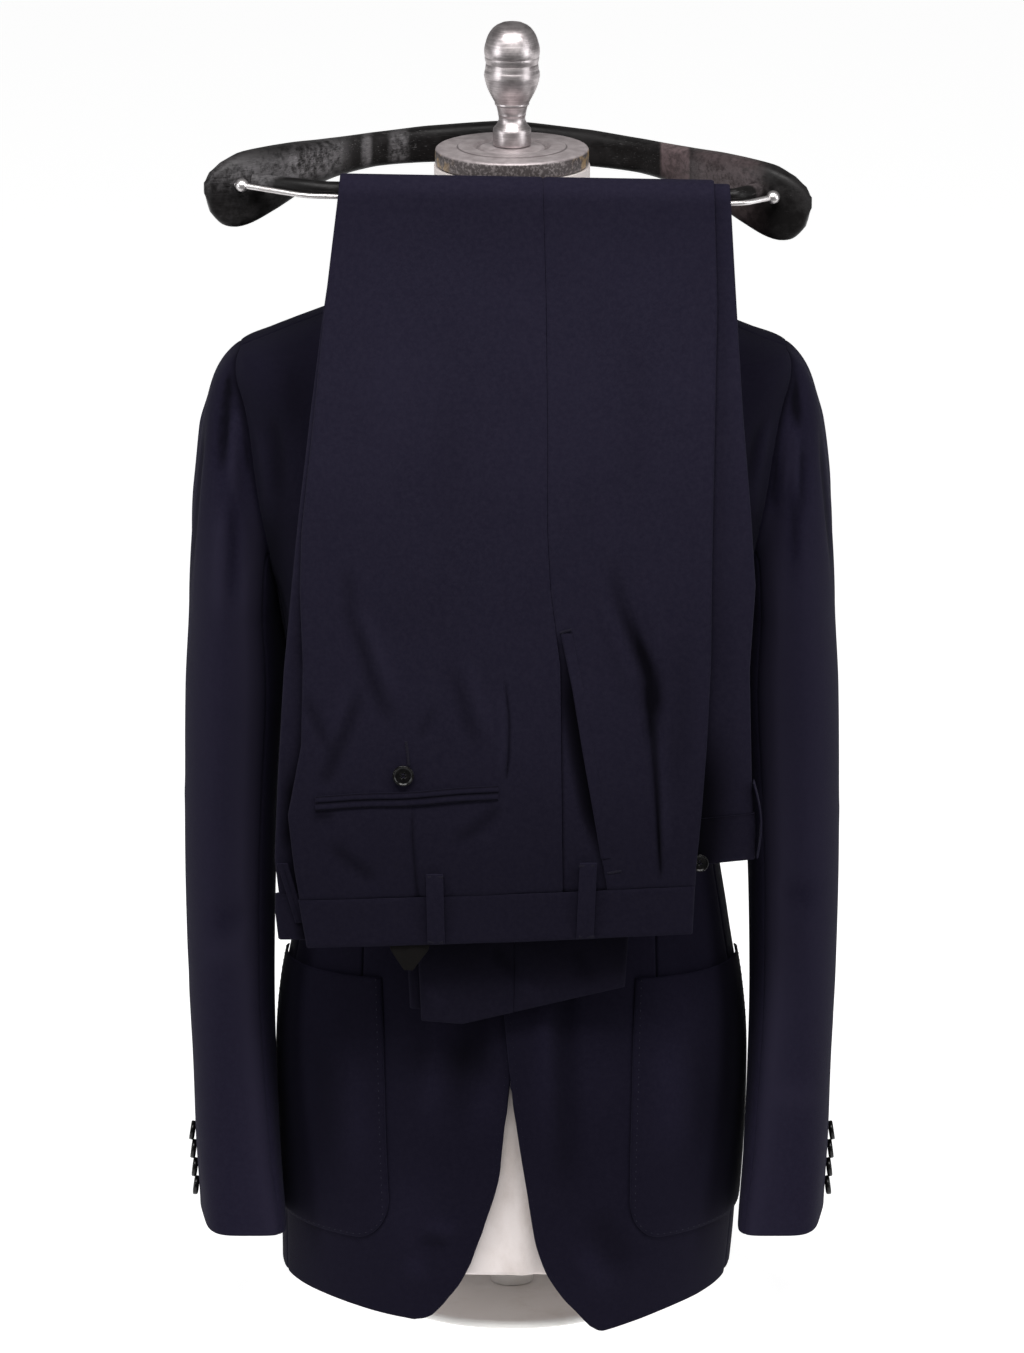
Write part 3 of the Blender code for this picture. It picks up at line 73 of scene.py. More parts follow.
def lookUp(rows, key, column, at):
    number = np.interp(at, rows[key], np.arange(len(rows[key])))
    return smoothRows(rows[column], number)


def smoothStep(value, start, end):
    t = np.clip((value - start) / (end - start), 0.0, 1.0)
    return t * t * (3 - 2 * t)


def signedPower(value, power):
    return np.sign(value) * np.abs(value) ** power


def unit(vectors):
    return vectors / np.maximum(np.linalg.norm(vectors, axis=-1, keepdims=True), 1e-12)


def smoothPath(points, count):
    if len(points) == 2:
        return points[0] + (points[1] - points[0]) * np.linspace(0, 1, count)[:, None]
    at = np.linspace(0, len(points) - 1, count)
    return np.stack([smoothRows(points[:, i], at) for i in range(points.shape[1])], axis=-1)


def ladder(length, step, start=True, end=True):
    # shares of a length in even steps, with a few fine ones at an edge
    fine = np.array([0, 0.0004, 0.0011, 0.0022, 0.0038]) / length
    low = fine if start else np.array([0.0])
    high = 1 - fine[::-1] if end else np.array([1.0])
    count = max(2, int(round((high[0] - low[-1]) * length / step)) + 1)
    return np.concatenate([low[:-1], np.linspace(low[-1], high[0], count), high[1:]])


def splitShares(stops, steps):
    # shares that keep a column on each line that runs through the panel
    rows = len(stops[0])
    stops = [np.zeros(rows), *stops, np.ones(rows)]
    spans = [low[:, None] + (high - low)[:, None] * step[1:]
             for low, high, step in zip(stops, stops[1:], steps)]
    return np.concatenate([np.zeros((rows, 1)), *spans], axis=1)


# folds and creases: (half width, height, fade at each end, points), where a trough is negative
# and a pair of half widths is that of the first and last point

def foldHeight(a, b, lines):
    total = np.zeros(np.broadcast(a, b).shape)
    for width, height, fade, path in lines:
        path = smoothPath(np.array(path) / tenths, 18)
        first, last = np.broadcast_to(width, 2) / tenths
        reach = 3 * max(first, last)
        near = ((a > path[:, 0].min() - reach) & (a < path[:, 0].max() + reach)
                & (b > path[:, 1].min() - reach) & (b < path[:, 1].max() + reach))
        if not near.any():
            continue
        point = np.stack([a[near], b[near]], axis=-1)[:, None]
        start, step = path[:-1], np.diff(path, axis=0)
        length = np.linalg.norm(step, axis=1)
        share = np.clip(((point - start) * step).sum(-1) / length ** 2, 0, 1)
        distance = np.linalg.norm(point - start - share[..., None] * step, axis=-1)
        nearest = distance.argmin(-1)
        pick = np.arange(len(nearest))
        gone = np.concatenate([[0], np.cumsum(length)])
        along = (gone[nearest] + share[pick, nearest] * length[nearest]) / gone[-1]
        shape = np.exp(-(distance[pick, nearest] / (first + (last - first) * along)) ** 2)
        if fade[0]:
            shape *= smoothStep(along, 0, fade[0])
        if fade[1]:
            shape *= 1 - smoothStep(along, 1 - fade[1], 1)
        total[near] += height / tenths * shape
    return total


# how each set of folds is looked at: axis that faces it, its sign, the two axes it is drawn in
facings = {"front": (1, -1, 0, 2), "back": (1, 1, 0, 2), "left": (0, 1, 1, 2),
           "right": (0, -1, 1, 2), "top": (2, 1, 0, 1)}


def foldedOut(points, normals, folds):
    total = np.zeros(points.shape[:-1])
    for facing, lines in folds.items():
        axis, sign, a, b = facings[facing]
        mask = smoothStep(sign * normals[..., axis], 0.1, 0.5)
        total += mask * foldHeight(points[..., a], points[..., b], lines)
    return total


def edgeRoll(points, rolls):
    # how far a panel turns in beside its edges: first and last column, first and last row
    side = np.linalg.norm(np.diff(points, axis=1), axis=-1)
    up = np.linalg.norm(np.diff(points, axis=0), axis=-1)
    zero = np.zeros((points.shape[0], 1))
    flat = np.zeros((1, points.shape[1]))
    across = np.concatenate([zero, np.cumsum(side, axis=1)], axis=1)
    along = np.concatenate([flat, np.cumsum(up, axis=0)], axis=0)
    distances = (across, across[:, -1:] - across, along, along[-1:] - along)
    total = np.zeros(points.shape[:-1])
    for distance, roll in zip(distances, rolls):
        if roll:
            depth, width = roll
            total -= depth * np.exp(-(distance / width) ** 1.6)
    return total


# meshes

def nodeName(name):
    # a name as the solids write it: beltLoopSide is belt_loop_side
    return re.sub(r"(?<=[a-z])([A-Z]|\d)", r"_\1", name).lower()


def addObject(name, mesh, *materials):
    mesh.name = name
    piece = bpy.data.objects.new(name, mesh)
    bpy.context.collection.objects.link(piece)
    for material in materials:
        mesh.materials.append(material)
    return piece


def addPiece(name, mesh, *materials, node=None, slot=None):
    # a finished piece: its node and slot follow from its name and its first material's
    piece = addObject(name, mesh, *materials)
    made.append((piece, [node or nodeName(name)], slot or nodeName(materials[0].name)))
    return piece


def quadMesh(verts, quads, uv, sharp):
    verts, quads = np.asarray(verts, float), np.asarray(quads, np.int32)
    first, second, third, fourth = (verts[quads[:, i]] for i in range(4))
    volume = (np.einsum("ij,ij->i", first, np.cross(second, third))
              + np.einsum("ij,ij->i", first, np.cross(third, fourth))).sum()
    if volume < 0:
        quads = quads[:, ::-1]
    mesh = bpy.data.meshes.new("quads")
    mesh.vertices.add(len(verts))
    mesh.vertices.foreach_set("co", verts.ravel())
    mesh.loops.add(quads.size)
    mesh.loops.foreach_set("vertex_index", quads.ravel())
    mesh.polygons.add(len(quads))
    mesh.polygons.foreach_set("loop_start", np.arange(0, quads.size, 4, dtype=np.int32))
    if uv is not None:
        layer = mesh.uv_layers.new(name="cut")
        layer.data.foreach_set("uv", np.asarray(uv, float)[quads.ravel()].ravel())
    mesh.update(calc_edges=True)
    mesh.validate()
    mesh.shade_smooth()
    mesh.set_sharp_from_angle(angle=math.radians(sharp))
    return mesh


def shellMesh(outer, inner, uv, bulge):
    # closed shell between two grids; bulge rounds the rim at the first and last column, then
    # the first and last row
    rows, cols = outer.shape[:2]
    layer = rows * cols
    number = np.arange(layer).reshape(rows, cols)
    quads = np.stack([number[:-1, :-1], number[:-1, 1:], number[1:, 1:], number[1:, :-1]],
                     axis=-1).reshape(-1, 4)
    loop = np.concatenate([number[0, :-1], number[:-1, -1], number[-1, :0:-1],
                           number[:0:-1, 0]])
    flatOuter, flatInner = outer.reshape(-1, 3), inner.reshape(-1, 3)
    away = np.zeros_like(flatOuter)
    edges = number[:, 0], number[:, -1], number[0], number[-1]
    neighbours = number[:, 1], number[:, -2], number[1], number[-2]
    for edge, neighbour, share in zip(edges, neighbours, bulge):
        away[edge] += unit(flatOuter[edge] - flatOuter[neighbour]) * share
    thickness = np.linalg.norm(flatOuter - flatInner, axis=-1, keepdims=True)
    rim = ((flatOuter + flatInner) / 2 + away * thickness)[loop]
    following = np.roll(np.arange(len(loop)), -1)
    a, b = loop, loop[following]
    m, n = 2 * layer + np.arange(len(loop)), 2 * layer + following
    rims = np.concatenate([np.stack([b, a, m, n], axis=-1),
                           np.stack([n, m, layer + a, layer + b], axis=-1)])
    verts = np.concatenate([flatOuter, flatInner, rim])
    flatUv = uv.reshape(-1, 2)
    return quadMesh(verts, np.concatenate([quads, layer + quads[:, ::-1], rims]),
                    np.concatenate([flatUv, flatUv, flatUv[loop]]), 60)


def clothUv(points, reference=-1):
    # metres on the cut piece: across from a reference column, up along it
    side = np.linalg.norm(np.diff(points, axis=1), axis=-1)
    across = np.concatenate([np.zeros((len(points), 1)), np.cumsum(side, axis=1)], axis=1)
    across = across - across[:, reference][:, None]
    up = np.linalg.norm(np.diff(points, axis=0), axis=-1).mean(axis=1)
    along = np.concatenate([[0], np.cumsum(up)])[:, None] + 0 * across
    return np.stack([across, along], axis=-1)


def capped(rings):
    # each end of a loft drawn in to a tip
    rings = np.asarray(rings, float)
    shares = np.array([0, 0.5, 0.93])[:, None, None]
    low, high = (end.mean(axis=0) + (end - end.mean(axis=0)) * shares for end in rings[[0, -1]])
    return np.concatenate([low, rings, high[::-1]])


def loftMesh(rings, sharp=50):
    rows, cols = rings.shape[:2]
    number = np.arange(rows * cols).reshape(rows, cols)
    following = np.roll(number, -1, axis=1)
    quads = np.stack([number[:-1], following[:-1], following[1:], number[1:]],
                     axis=-1).reshape(-1, 4)
    mesh = quadMesh(rings.reshape(-1, 3), quads, None, sharp)
    work = bmesh.new()
    work.from_mesh(mesh)
    bmesh.ops.remove_doubles(work, verts=work.verts, dist=1e-7)
    work.to_mesh(mesh)
    work.free()
    mesh.shade_smooth()
    mesh.set_sharp_from_angle(angle=math.radians(sharp))
    return mesh


def turnedRings(profile, segments):
    # rings of a form turned about Z, from (radius, height) pairs
    angle = np.arange(segments) * 2 * math.pi / segments
    ring = np.stack([np.cos(angle), np.sin(angle), 0 * angle], axis=-1)
    return np.array([ring * radius + (0, 0, height) for radius, height in profile])


def addPaintedShade(piece, values):
    # painted shade on the outer points, 0 to 1, deepest in a trough; a negative value is a painted
    # highlight, as on a ridge
    layer = piece.data.attributes.new("hollow", "FLOAT", "POINT")
    full = np.zeros(len(piece.data.vertices))
    full[:values.size] = values.ravel()
    layer.data.foreach_set("value", full)


def foldShade(rise, full=0.008, base=0.0):
    # a trough as deep as full is wholly in shade
    return np.clip(base - rise / full, -0.3, 0.6)


# materials

class Value:
    # a socket that takes part in sums
    def __init__(self, graph, socket):
        self.graph, self.socket = graph, socket

    def sum(self, operation, a, b):
        return self.graph.node("ShaderNodeMath", {0: a, 1: b}, operation=operation)

    def __add__(self, other): return self.sum("ADD", self, other)
    def __sub__(self, other): return self.sum("SUBTRACT", self, other)
    def __rsub__(self, other): return self.sum("SUBTRACT", other, self)
    def __mul__(self, other): return self.sum("MULTIPLY", self, other)
    def __pow__(self, other): return self.sum("POWER", self, other)
    def sine(self): return self.sum("SINE", self, 0.0)
    def size(self): return self.sum("ABSOLUTE", self, 0.0)
    def above(self, limit): return self.sum("GREATER_THAN", self, limit)
    def most(self, other): return self.sum("MAXIMUM", self, other)

    def ramp(self, low, high, start=0.0, end=1.0):
        return self.graph.node("ShaderNodeMapRange", {0: self, 1: low, 2: high, 3: start, 4: end},
                               interpolation_type="SMOOTHSTEP")


class Finish:
    # one material and the nodes that make it
    def __init__(self, name, **fixed):
        self.material = bpy.data.materials.new(name)
        self.material.use_nodes = True
        self.tree = self.material.node_tree
        self.shader = self.tree.nodes["Principled BSDF"]
        for socket, value in fixed.items():
            self.shader.inputs[socket.replace("_", " ")].default_value = value

    def node(self, kind, inputs, output=0, **settings):
        step = self.tree.nodes.new(kind)
        for key, value in settings.items():
            setattr(step, key, value)
        for key, value in inputs.items():
            if isinstance(value, Value):
                self.tree.links.new(value.socket, step.inputs[key])
            else:
                step.inputs[key].default_value = value
        return Value(self, step.outputs[output])

    def place(self, scale=(1, 1, 1), uv=False):
        # object coordinates, or the cut piece's own, stretched
        found = (self.node("ShaderNodeUVMap", {}, uv_map="cut") if uv
                 else self.node("ShaderNodeTexCoord", {}, "Object"))
        return self.node("ShaderNodeMapping", {"Vector": found, "Scale": scale})

    def noise(self, where, scale, detail=2.0, rough=0.5):
        return self.node("ShaderNodeTexNoise", {
            "Vector": where, "Scale": scale, "Detail": detail, "Roughness": rough})

    def blend(self, share, a, b):
        a, b = [v if isinstance(v, Value) else (*v, 1.0) for v in (a, b)]
        return self.node("ShaderNodeMix", {0: share, 6: a, 7: b}, 2, data_type="RGBA")

    def axis(self, where, name):
        return self.node("ShaderNodeSeparateXYZ", {0: where}, name)

    def set(self, **links):
        for socket, value in links.items():
            self.tree.links.new(value.socket, self.shader.inputs[socket.replace("_", " ")])

    def bump(self, height, distance, strength):
        self.set(Normal=self.node("ShaderNodeBump", {
            "Height": height, "Distance": distance, "Strength": strength}))


# ridge is the colour of a painted highlight and trough the colour of painted shade; the shade
# attribute on each piece blends them in
woolCloth = {
    "jacketWool": {"colour": (0.0071, 0.006, 0.0148), "fleck": (0.0118, 0.0102, 0.0212)},
    "trouserWool": {"colour": (0.0084, 0.0073, 0.0158), "fleck": (0.0134, 0.0118, 0.0222)},
    "worn": (0.015, 0.0132, 0.0265), "ridge": (0.02, 0.0176, 0.033),
    "trough": (0.0008, 0.0006, 0.0018), "thread": 0.00056, "weave": 0.00011, "sheen": 0.02,
}


def makeWool(name):
    # fine plain weave on the cut piece's own grain, its yarns a little uneven in colour
    tone = woolCloth[name]
    wool = Finish(name, Sheen_Weight=woolCloth["sheen"], Sheen_Roughness=0.5,
                  Sheen_Tint=(0.6, 0.6, 0.86, 1.0), Specular_IOR_Level=0.035)
    cut = wool.place(uv=True)
    across, along = wool.axis(cut, "X"), wool.axis(cut, "Y")
    pitch = math.pi / woolCloth["thread"]
    warp, weft = (across * pitch).sine(), (along * pitch).sine()
    over = (warp * weft).above(0.0)
    weave = warp.size() * over + weft.size() * (1 - over)
    streak = wool.noise(wool.place((1900, 700, 1), uv=True), 1.0, 3.0, 0.6)
    blotch = wool.noise(wool.place(), 330.0, 3.0, 0.65)
    broad = wool.noise(wool.place(), 14.0, 2.0)
    mixed = wool.blend((streak * 0.55 + blotch * 0.6).ramp(0.4, 0.78), tone["colour"],
                       tone["fleck"])
    worn = wool.blend(broad.ramp(0.3, 0.7, 0.0, 0.12), mixed, woolCloth["worn"])
    # painted shade and painted highlight: the shade attribute darkens towards the trough colour,
    # and where it is negative lightens towards the ridge colour
    depth = wool.node("ShaderNodeAttribute", {}, "Fac", attribute_name="hollow")
    lit = wool.blend((depth * -1.0).most(0.0), worn, woolCloth["ridge"])
    wool.set(Base_Color=wool.blend(depth.most(0.0), lit, woolCloth["trough"]))
    wool.set(Roughness=blotch * 0.16 + 0.76)
    wool.bump(weave * 0.75 + streak * 0.5 + blotch * 0.8, woolCloth["weave"], 0.55)
    return wool.material


def makeButtonFinish():
    horn = Finish("buttonHorn", Specular_IOR_Level=0.24, Coat_Roughness=0.1)
    where = horn.place()
    grain = horn.noise(where, 900.0, 4.0, 0.6)
    cloud = horn.noise(where, 260.0, 2.0)
    horn.set(Base_Color=horn.blend(cloud.ramp(0.35, 0.75), (0.0012, 0.0012, 0.0015),
                                   (0.005, 0.0045, 0.0048)))
    horn.set(Roughness=grain * 0.16 + 0.18, Coat_Weight=cloud * 0.1)
    horn.bump(grain, 0.00006, 0.35)
    return horn.material


def makeThread(name, dark, light):
    thread = Finish(name, Sheen_Weight=0.02, Specular_IOR_Level=0.1)
    twist = thread.noise(thread.place(), 2600.0, 2.0)
    thread.set(Base_Color=thread.blend(twist, dark, light), Roughness=twist * 0.2 + 0.6)
    thread.bump(twist, 0.00012, 0.6)
    return thread.material


def makeFormCover():
    # tightly knitted cover, a little soiled where it is handled
    cover = Finish("formCover", Sheen_Weight=0.12, Sheen_Roughness=0.5)
    where = cover.place()
    knit = (cover.axis(where, "Z") * 4200.0).sine() * 0.5 + 0.5
    fuzz = cover.noise(where, 1500.0, 3.0, 0.6)
    soil = cover.noise(cover.place((1, 1, 0.6)), 26.0, 4.0, 0.62)
    tone = cover.blend(soil.ramp(0.42, 0.72), (0.66, 0.6, 0.585), (0.52, 0.455, 0.43))
    cover.set(Base_Color=cover.blend(fuzz.ramp(0.3, 0.8, 0.0, 0.22), tone,
                                     (0.78, 0.73, 0.72)))
    cover.set(Roughness=fuzz * 0.15 + 0.74)
    cover.bump(knit * 0.35 + fuzz, 0.00015, 0.5)
    return cover.material


def makeSteel():
    # turned and handled steel: faint turning marks, pits and a warm stain
    steel = Finish("polishedSteel", Metallic=1.0)
    where = steel.place()
    lathe = steel.noise(steel.place((1, 1, 60)), 34.0, 3.0, 0.6)
    pits = steel.noise(where, 1150.0, 3.0, 0.7)
    cloud = steel.noise(where, 60.0, 3.0, 0.55)
    tone = steel.blend(cloud.ramp(0.35, 0.7), (0.8, 0.77, 0.77), (0.6, 0.57, 0.57))
    speck = pits.ramp(0.6, 0.72)
    steel.set(Base_Color=steel.blend(speck * 0.5, tone, (0.22, 0.19, 0.19)))
    steel.set(Roughness=cloud * 0.16 + speck * 0.25 + 0.3)
    steel.bump(lathe * 0.5 + pits * 0.6, 0.00005, 0.5)
    return steel.material


def makeSoftSteel():
    # brushed round the turning, duller in the grooves
    steel = Finish("softSteel", Metallic=1.0)
    lathe = steel.noise(steel.place((1, 1, 90)), 30.0, 4.0, 0.65)
    pits = steel.noise(steel.place(), 700.0, 3.0, 0.6)
    cloud = steel.noise(steel.place(), 90.0, 3.0, 0.6)
    tone = steel.blend((lathe * 0.5 + cloud * 0.5).ramp(0.38, 0.62), (0.36, 0.325, 0.33),
                       (0.64, 0.59, 0.595))
    steel.set(Base_Color=steel.blend(pits.ramp(0.6, 0.75) * 0.5, tone, (0.3, 0.27, 0.26)))
    steel.set(Roughness=lathe * 0.2 + pits * 0.16 + 0.22)
    steel.bump(lathe + pits * 0.7, 0.0001, 0.7)
    return steel.material


def makeAgedMetal():
    # dull cast metal: pale on top, speckled brown down its side, stained towards the wall
    metal = Finish("agedMetal", Metallic=0.55, Specular_IOR_Level=0.5)
    where = metal.place()
    pits = metal.noise(where, 900.0, 4.0, 0.7)
    cloud = metal.noise(where, 120.0, 3.0, 0.55)
    height = metal.axis(where, "Z")
    up = height.ramp(0.8815, 0.8832)     # from its side to its top
    speck = metal.noise(where, 480.0, 3.0, 0.6).ramp(0.45, 0.66)
    wall = metal.blend(speck, (0.085, 0.072, 0.072), (0.25, 0.22, 0.22))
    top = metal.blend(cloud.ramp(0.3, 0.7), (0.36, 0.315, 0.32), (0.48, 0.43, 0.435))
    top = metal.blend(pits.ramp(0.56, 0.7) * 0.7, top, (0.3, 0.26, 0.26))
    across, along = metal.axis(where, "X"), metal.axis(where, "Y")
    stain = across.size().ramp(0.04, 0.056) * cloud.ramp(0.45, 0.6)
    wall = metal.blend(stain * 0.65, wall, (0.5, 0.33, 0.14))
    away = (across * across + along * along) ** 0.5
    # painted shade: a dark ring where the step on its top lies in shade
    ring = (away - 0.0403).size().ramp(0.0, 0.0009, 1.0, 0.0)     # the groove on its top
    tone = metal.blend(up, wall, top)
    metal.set(Base_Color=metal.blend(ring * 0.8, tone, (0.1, 0.085, 0.085)))
    metal.set(Roughness=cloud * 0.16 + pits * 0.16 + 0.3)
    metal.bump(pits + cloud * 0.4, 0.00012, 0.6)
    return metal.material


# patches along the hanger, the worn ones partly wear and partly a painted highlight: where, how
# far to each side, how softly they end, how much
hangerWearAndHighlight = {
    "worn": [(-0.147, 0.021, 0.01, 1), (-0.172, 0.04, 0.018, 0.55), (-0.1075, 0.0032, 0.002, 0.8),
             (-0.084, 0.0065, 0.003, 0.7), (0.156, 0.026, 0.012, 0.35),
             (-0.205, 0.02, 0.012, 0.35)],
    "scratched": [(-0.098, 0.036, 0.01, 1), (0.12, 0.05, 0.012, 0.6)],
    "pink": [(0.1205, 0.0105, 0.0015, 1), (0.157, 0.024, 0.01, 0.45)],
}


def makeHangerWood():
    # black lacquer worn grey along the front, partly wear and partly a painted highlight in a band
    # along the front's middle, with fine scratches that follow the arm
    wood = Finish("hangerWood", Specular_IOR_Level=0.17)
    where = wood.place()
    grain = wood.noise(wood.place((14, 60, 120)), 7.0, 4.0, 0.6)
    dust = wood.noise(where, 210.0, 4.0, 0.7)
    scuff = wood.noise(wood.place((1, 1, 1.4)), 24.0, 4.0, 0.62)
    patch = (scuff * 0.75 + dust * 0.25).ramp(0.46, 0.62)
    brushed = wood.noise(wood.place((12, 60, 300)), 4.0, 3.0, 0.7).ramp(0.46, 0.7)
    scratch = wood.noise(wood.place((9, 200, 420)), 3.2, 3.0, 0.75).ramp(0.6, 0.72)
    across = wood.axis(where, "X")

    def patches(kind):
        total = None
        for middle, half, soft, share in hangerWearAndHighlight[kind]:
            band = (across - middle).size().ramp(half - soft, half + soft, 1.0, 0.0)
            band = band if share == 1 else band * share
            total = total.most(band) if total else band
        return total

    cloud = (scuff * 0.4 + dust * 0.6).ramp(0.36, 0.6)
    facing = wood.axis(where, "Y").ramp(-0.0705, -0.0665)
    rise = (wood.axis(where, "Z") + across * 0.03 - 0.8695).size().ramp(0.004, 0.0155, 1.0, 0.0)
    worn, streak = patches("worn"), patches("scratched")
    tone = wood.blend(patch * 0.5, (0.005, 0.0045, 0.0046), (0.018, 0.0165, 0.017))
    # the worn grey is partly wear and partly a painted highlight: strongest in a band along the
    # middle of the front face
    worn = worn * facing * (rise * 0.85 + 0.15)
    tone = wood.blend(worn * (cloud * 0.65 + brushed * 0.35), tone, (0.215, 0.205, 0.214))
    tone = wood.blend(scratch * (streak * 0.6 + 0.06), tone, (0.2, 0.19, 0.195))
    pink = patches("pink") * facing * (cloud * 0.5 + 0.35)
    tone = wood.blend(pink, tone, (0.125, 0.09, 0.094))
    wood.set(Base_Color=wood.blend(dust.ramp(0.64, 0.78) * 0.12, tone, (0.13, 0.12, 0.12)))
    wood.set(Roughness=patch * 0.22 + dust * 0.12 + 0.34)
    wood.bump(grain * 0.7 + dust * 0.5 + scratch * -0.8, 0.00012, 0.5)
    return wood.material


def makeStandEnamel():
    enamel = Finish("standEnamel", Coat_Roughness=0.12)
    where = enamel.place()
    peel = enamel.noise(where, 420.0)
    dirt = enamel.noise(where, 32.0, 4.0, 0.6)
    enamel.set(Base_Color=enamel.blend(dirt.ramp(0.45, 0.8), (0.8, 0.79, 0.77),
                                       (0.7, 0.68, 0.65)))
    enamel.set(Roughness=dirt * 0.2 + 0.3, Coat_Weight=0.4 - dirt * 0.2)
    enamel.bump(peel, 0.00008, 0.4)
    return enamel.material


def makeCurtainCotton():
    cotton = Finish("curtainCotton", Specular_IOR_Level=0.08)
    cut = cotton.place(uv=True)
    twill = ((cotton.axis(cut, "X") + cotton.axis(cut, "Y")) * 7600.0).sine() * 0.5 + 0.5
    fuzz = cotton.noise(cotton.place(), 1400.0, 3.0)
    cotton.set(Base_Color=cotton.blend(fuzz * 0.6 + twill * 0.25, (0.003, 0.0026, 0.0026),
                                       (0.0082, 0.0072, 0.007)))
    cotton.set(Roughness=fuzz * 0.15 + 0.8)
    cotton.bump(twill * 0.6 + fuzz * 0.5, 0.00012, 0.6)
    return cotton.material


jacketWool, trouserWool = makeWool("jacketWool"), makeWool("trouserWool")
buttonHorn = makeButtonFinish()
darkThread = makeThread("darkThread", (0.006, 0.0052, 0.011), (0.0125, 0.011, 0.0205))
paleThread = makeThread("paleThread", (0.011, 0.01, 0.019), (0.03, 0.0275, 0.043))
formCover = makeFormCover()
polishedSteel = makeSteel()
softSteel = makeSoftSteel()
agedMetal = makeAgedMetal()
hangerWood = makeHangerWood()
standEnamel = makeStandEnamel()
curtainCotton = makeCurtainCotton()
print("materials made")


# the jacket's body: sections by height, angles in degrees from the front to each side

bodyShape = columns(
    "z halfWidth frontDepth backDepth squareness shiftX",
    (0, 1675, 1350, 1240, 2.35, -58), (1000, 1725, 1345, 1250, 2.35, -15),
    (1900, 1745, 1330, 1270, 2.35, -5), (2440, 1710, 1305, 1240, 2.35, -5),
    (3000, 1615, 1250, 1150, 2.35, 0), (3850, 1500, 1170, 990, 2.3, 0),
    (4500, 1560, 1200, 1030, 2.4, 0), (5140, 1690, 1260, 1120, 2.6, 0),
    (5560, 1765, 1290, 1180, 2.7, 0), (5785, 1830, 1287, 1200, 2.8, 0),
    (6315, 1960, 1235, 1220, 2.9, 0), (6940, 2048, 1080, 1140, 2.9, 10),
    (7170, 2093, 985, 1055, 2.8, 10), (7315, 2053, 920, 1000, 2.6, 10),
    (7385, 1900, 885, 965, 2.5, 0), (7485, 1660, 840, 915, 2.4, 0),
    (7595, 1380, 785, 865, 2.3, 0), (7735, 1080, 710, 795, 2.2, 0),
    (7890, 750, 620, 700, 2.1, 0), (7970, 660, 592, 635, 2.05, 0), (8100, 595, 578, 590, 2, 0),
    (8300, 575, 575, 575, 2, 0), (8703, 575, 575, 575, 2, 0))
denseRows = np.linspace(0, len(bodyShape["z"]) - 1, 2000)
denseZ = smoothRows(bodyShape["z"], denseRows)
jacket = {
    "wall": 0.0015, "allowance": 0.0005, "rim": 0.42, "step": 0.0042,
    "frontSeam": 76.0, "backSeam": 118.0, "hemZ": 0.029, "hemBlend": 0.12,
    "lapRise": 0.0024, "lapTop": (0.47, 0.56), "lapEdge": (0.018, 0.045),
    "frontTop": 0.786, "backTop": 0.7885, "halfFront": 0.118, "sideWidth": 0.125,
    "sideHeight": 0.53, "back": (0.19, 0.005),
    "seam": (0.0007, 0.0016), "turned": (0.0003, 0.0009),
    "armhole": {"z": 0.645, "half": 0.089, "front": 20.0, "back": 30.0, "power": 0.8},
}
neckSeamLine = columns("angle z", (40, 7700), (60, 7790), (75, 7850), (90, 7890), (120, 7935),
                       (150, 7950), (180, 7955))
frontEdges = {
    "left": columns(
        "z inset",
        (75, 690), (88, 645), (125, 590), (180, 535), (350, 389), (550, 263), (790, 180),
        (1190, 118), (1500, 68), (1850, 15), (2530, -50), (3100, -90), (4100, -120), (4800, 10),
        (6000, 260), (7000, 460), (7860, 660)),
    "right": columns(
        "z inset",
        (178, 730), (190, 660), (225, 592), (290, 530), (468, 399), (632, 314), (867, 229),
        (1257, 112), (1529, 78), (1793, 44), (2530, -40), (3100, -90), (4100, -120), (4800, 10),
        (6000, 260), (7000, 460), (7860, 660)),
}
hemLines = {
    "left": columns("inset z", (665, 75), (940, 133), (1190, 192), (1400, 228), (1560, 256),
                    (1700, 285)),
    "right": columns("inset z", (652, 170), (787, 184), (988, 206), (1225, 240), (1425, 266),
                     (1700, 285)),
}
frontDarts = {"left": columns("z inset", (0, 1080), (2760, 1075), (4500, 1040), (6000, 1000),
                              (8000, 600)),
              "right": columns("z inset", (0, 1110), (2830, 1112), (4500, 1060), (6000, 1010),
                               (8000, 600))}

# lights and shades on its front: x, z, half width, half height, how dark
jacketSpots = [(1180, 2330, 320, 750, -0.22), (1660, 2500, 100, 1100, 0.3),
               (1570, 1850, 80, 600, 0.25), (-460, 2220, 300, 160, 0.32),
               (-220, 1900, 120, 220, -0.22), (-760, 1030, 220, 300, -0.16),
               (550, 2100, 220, 400, -0.12), (-1600, 7160, 140, 340, 0.3),
               (1840, 7300, 200, 300, 0.15), (-1770, 5650, 110, 800, 0.45),
               (1780, 5700, 90, 900, 0.4)]
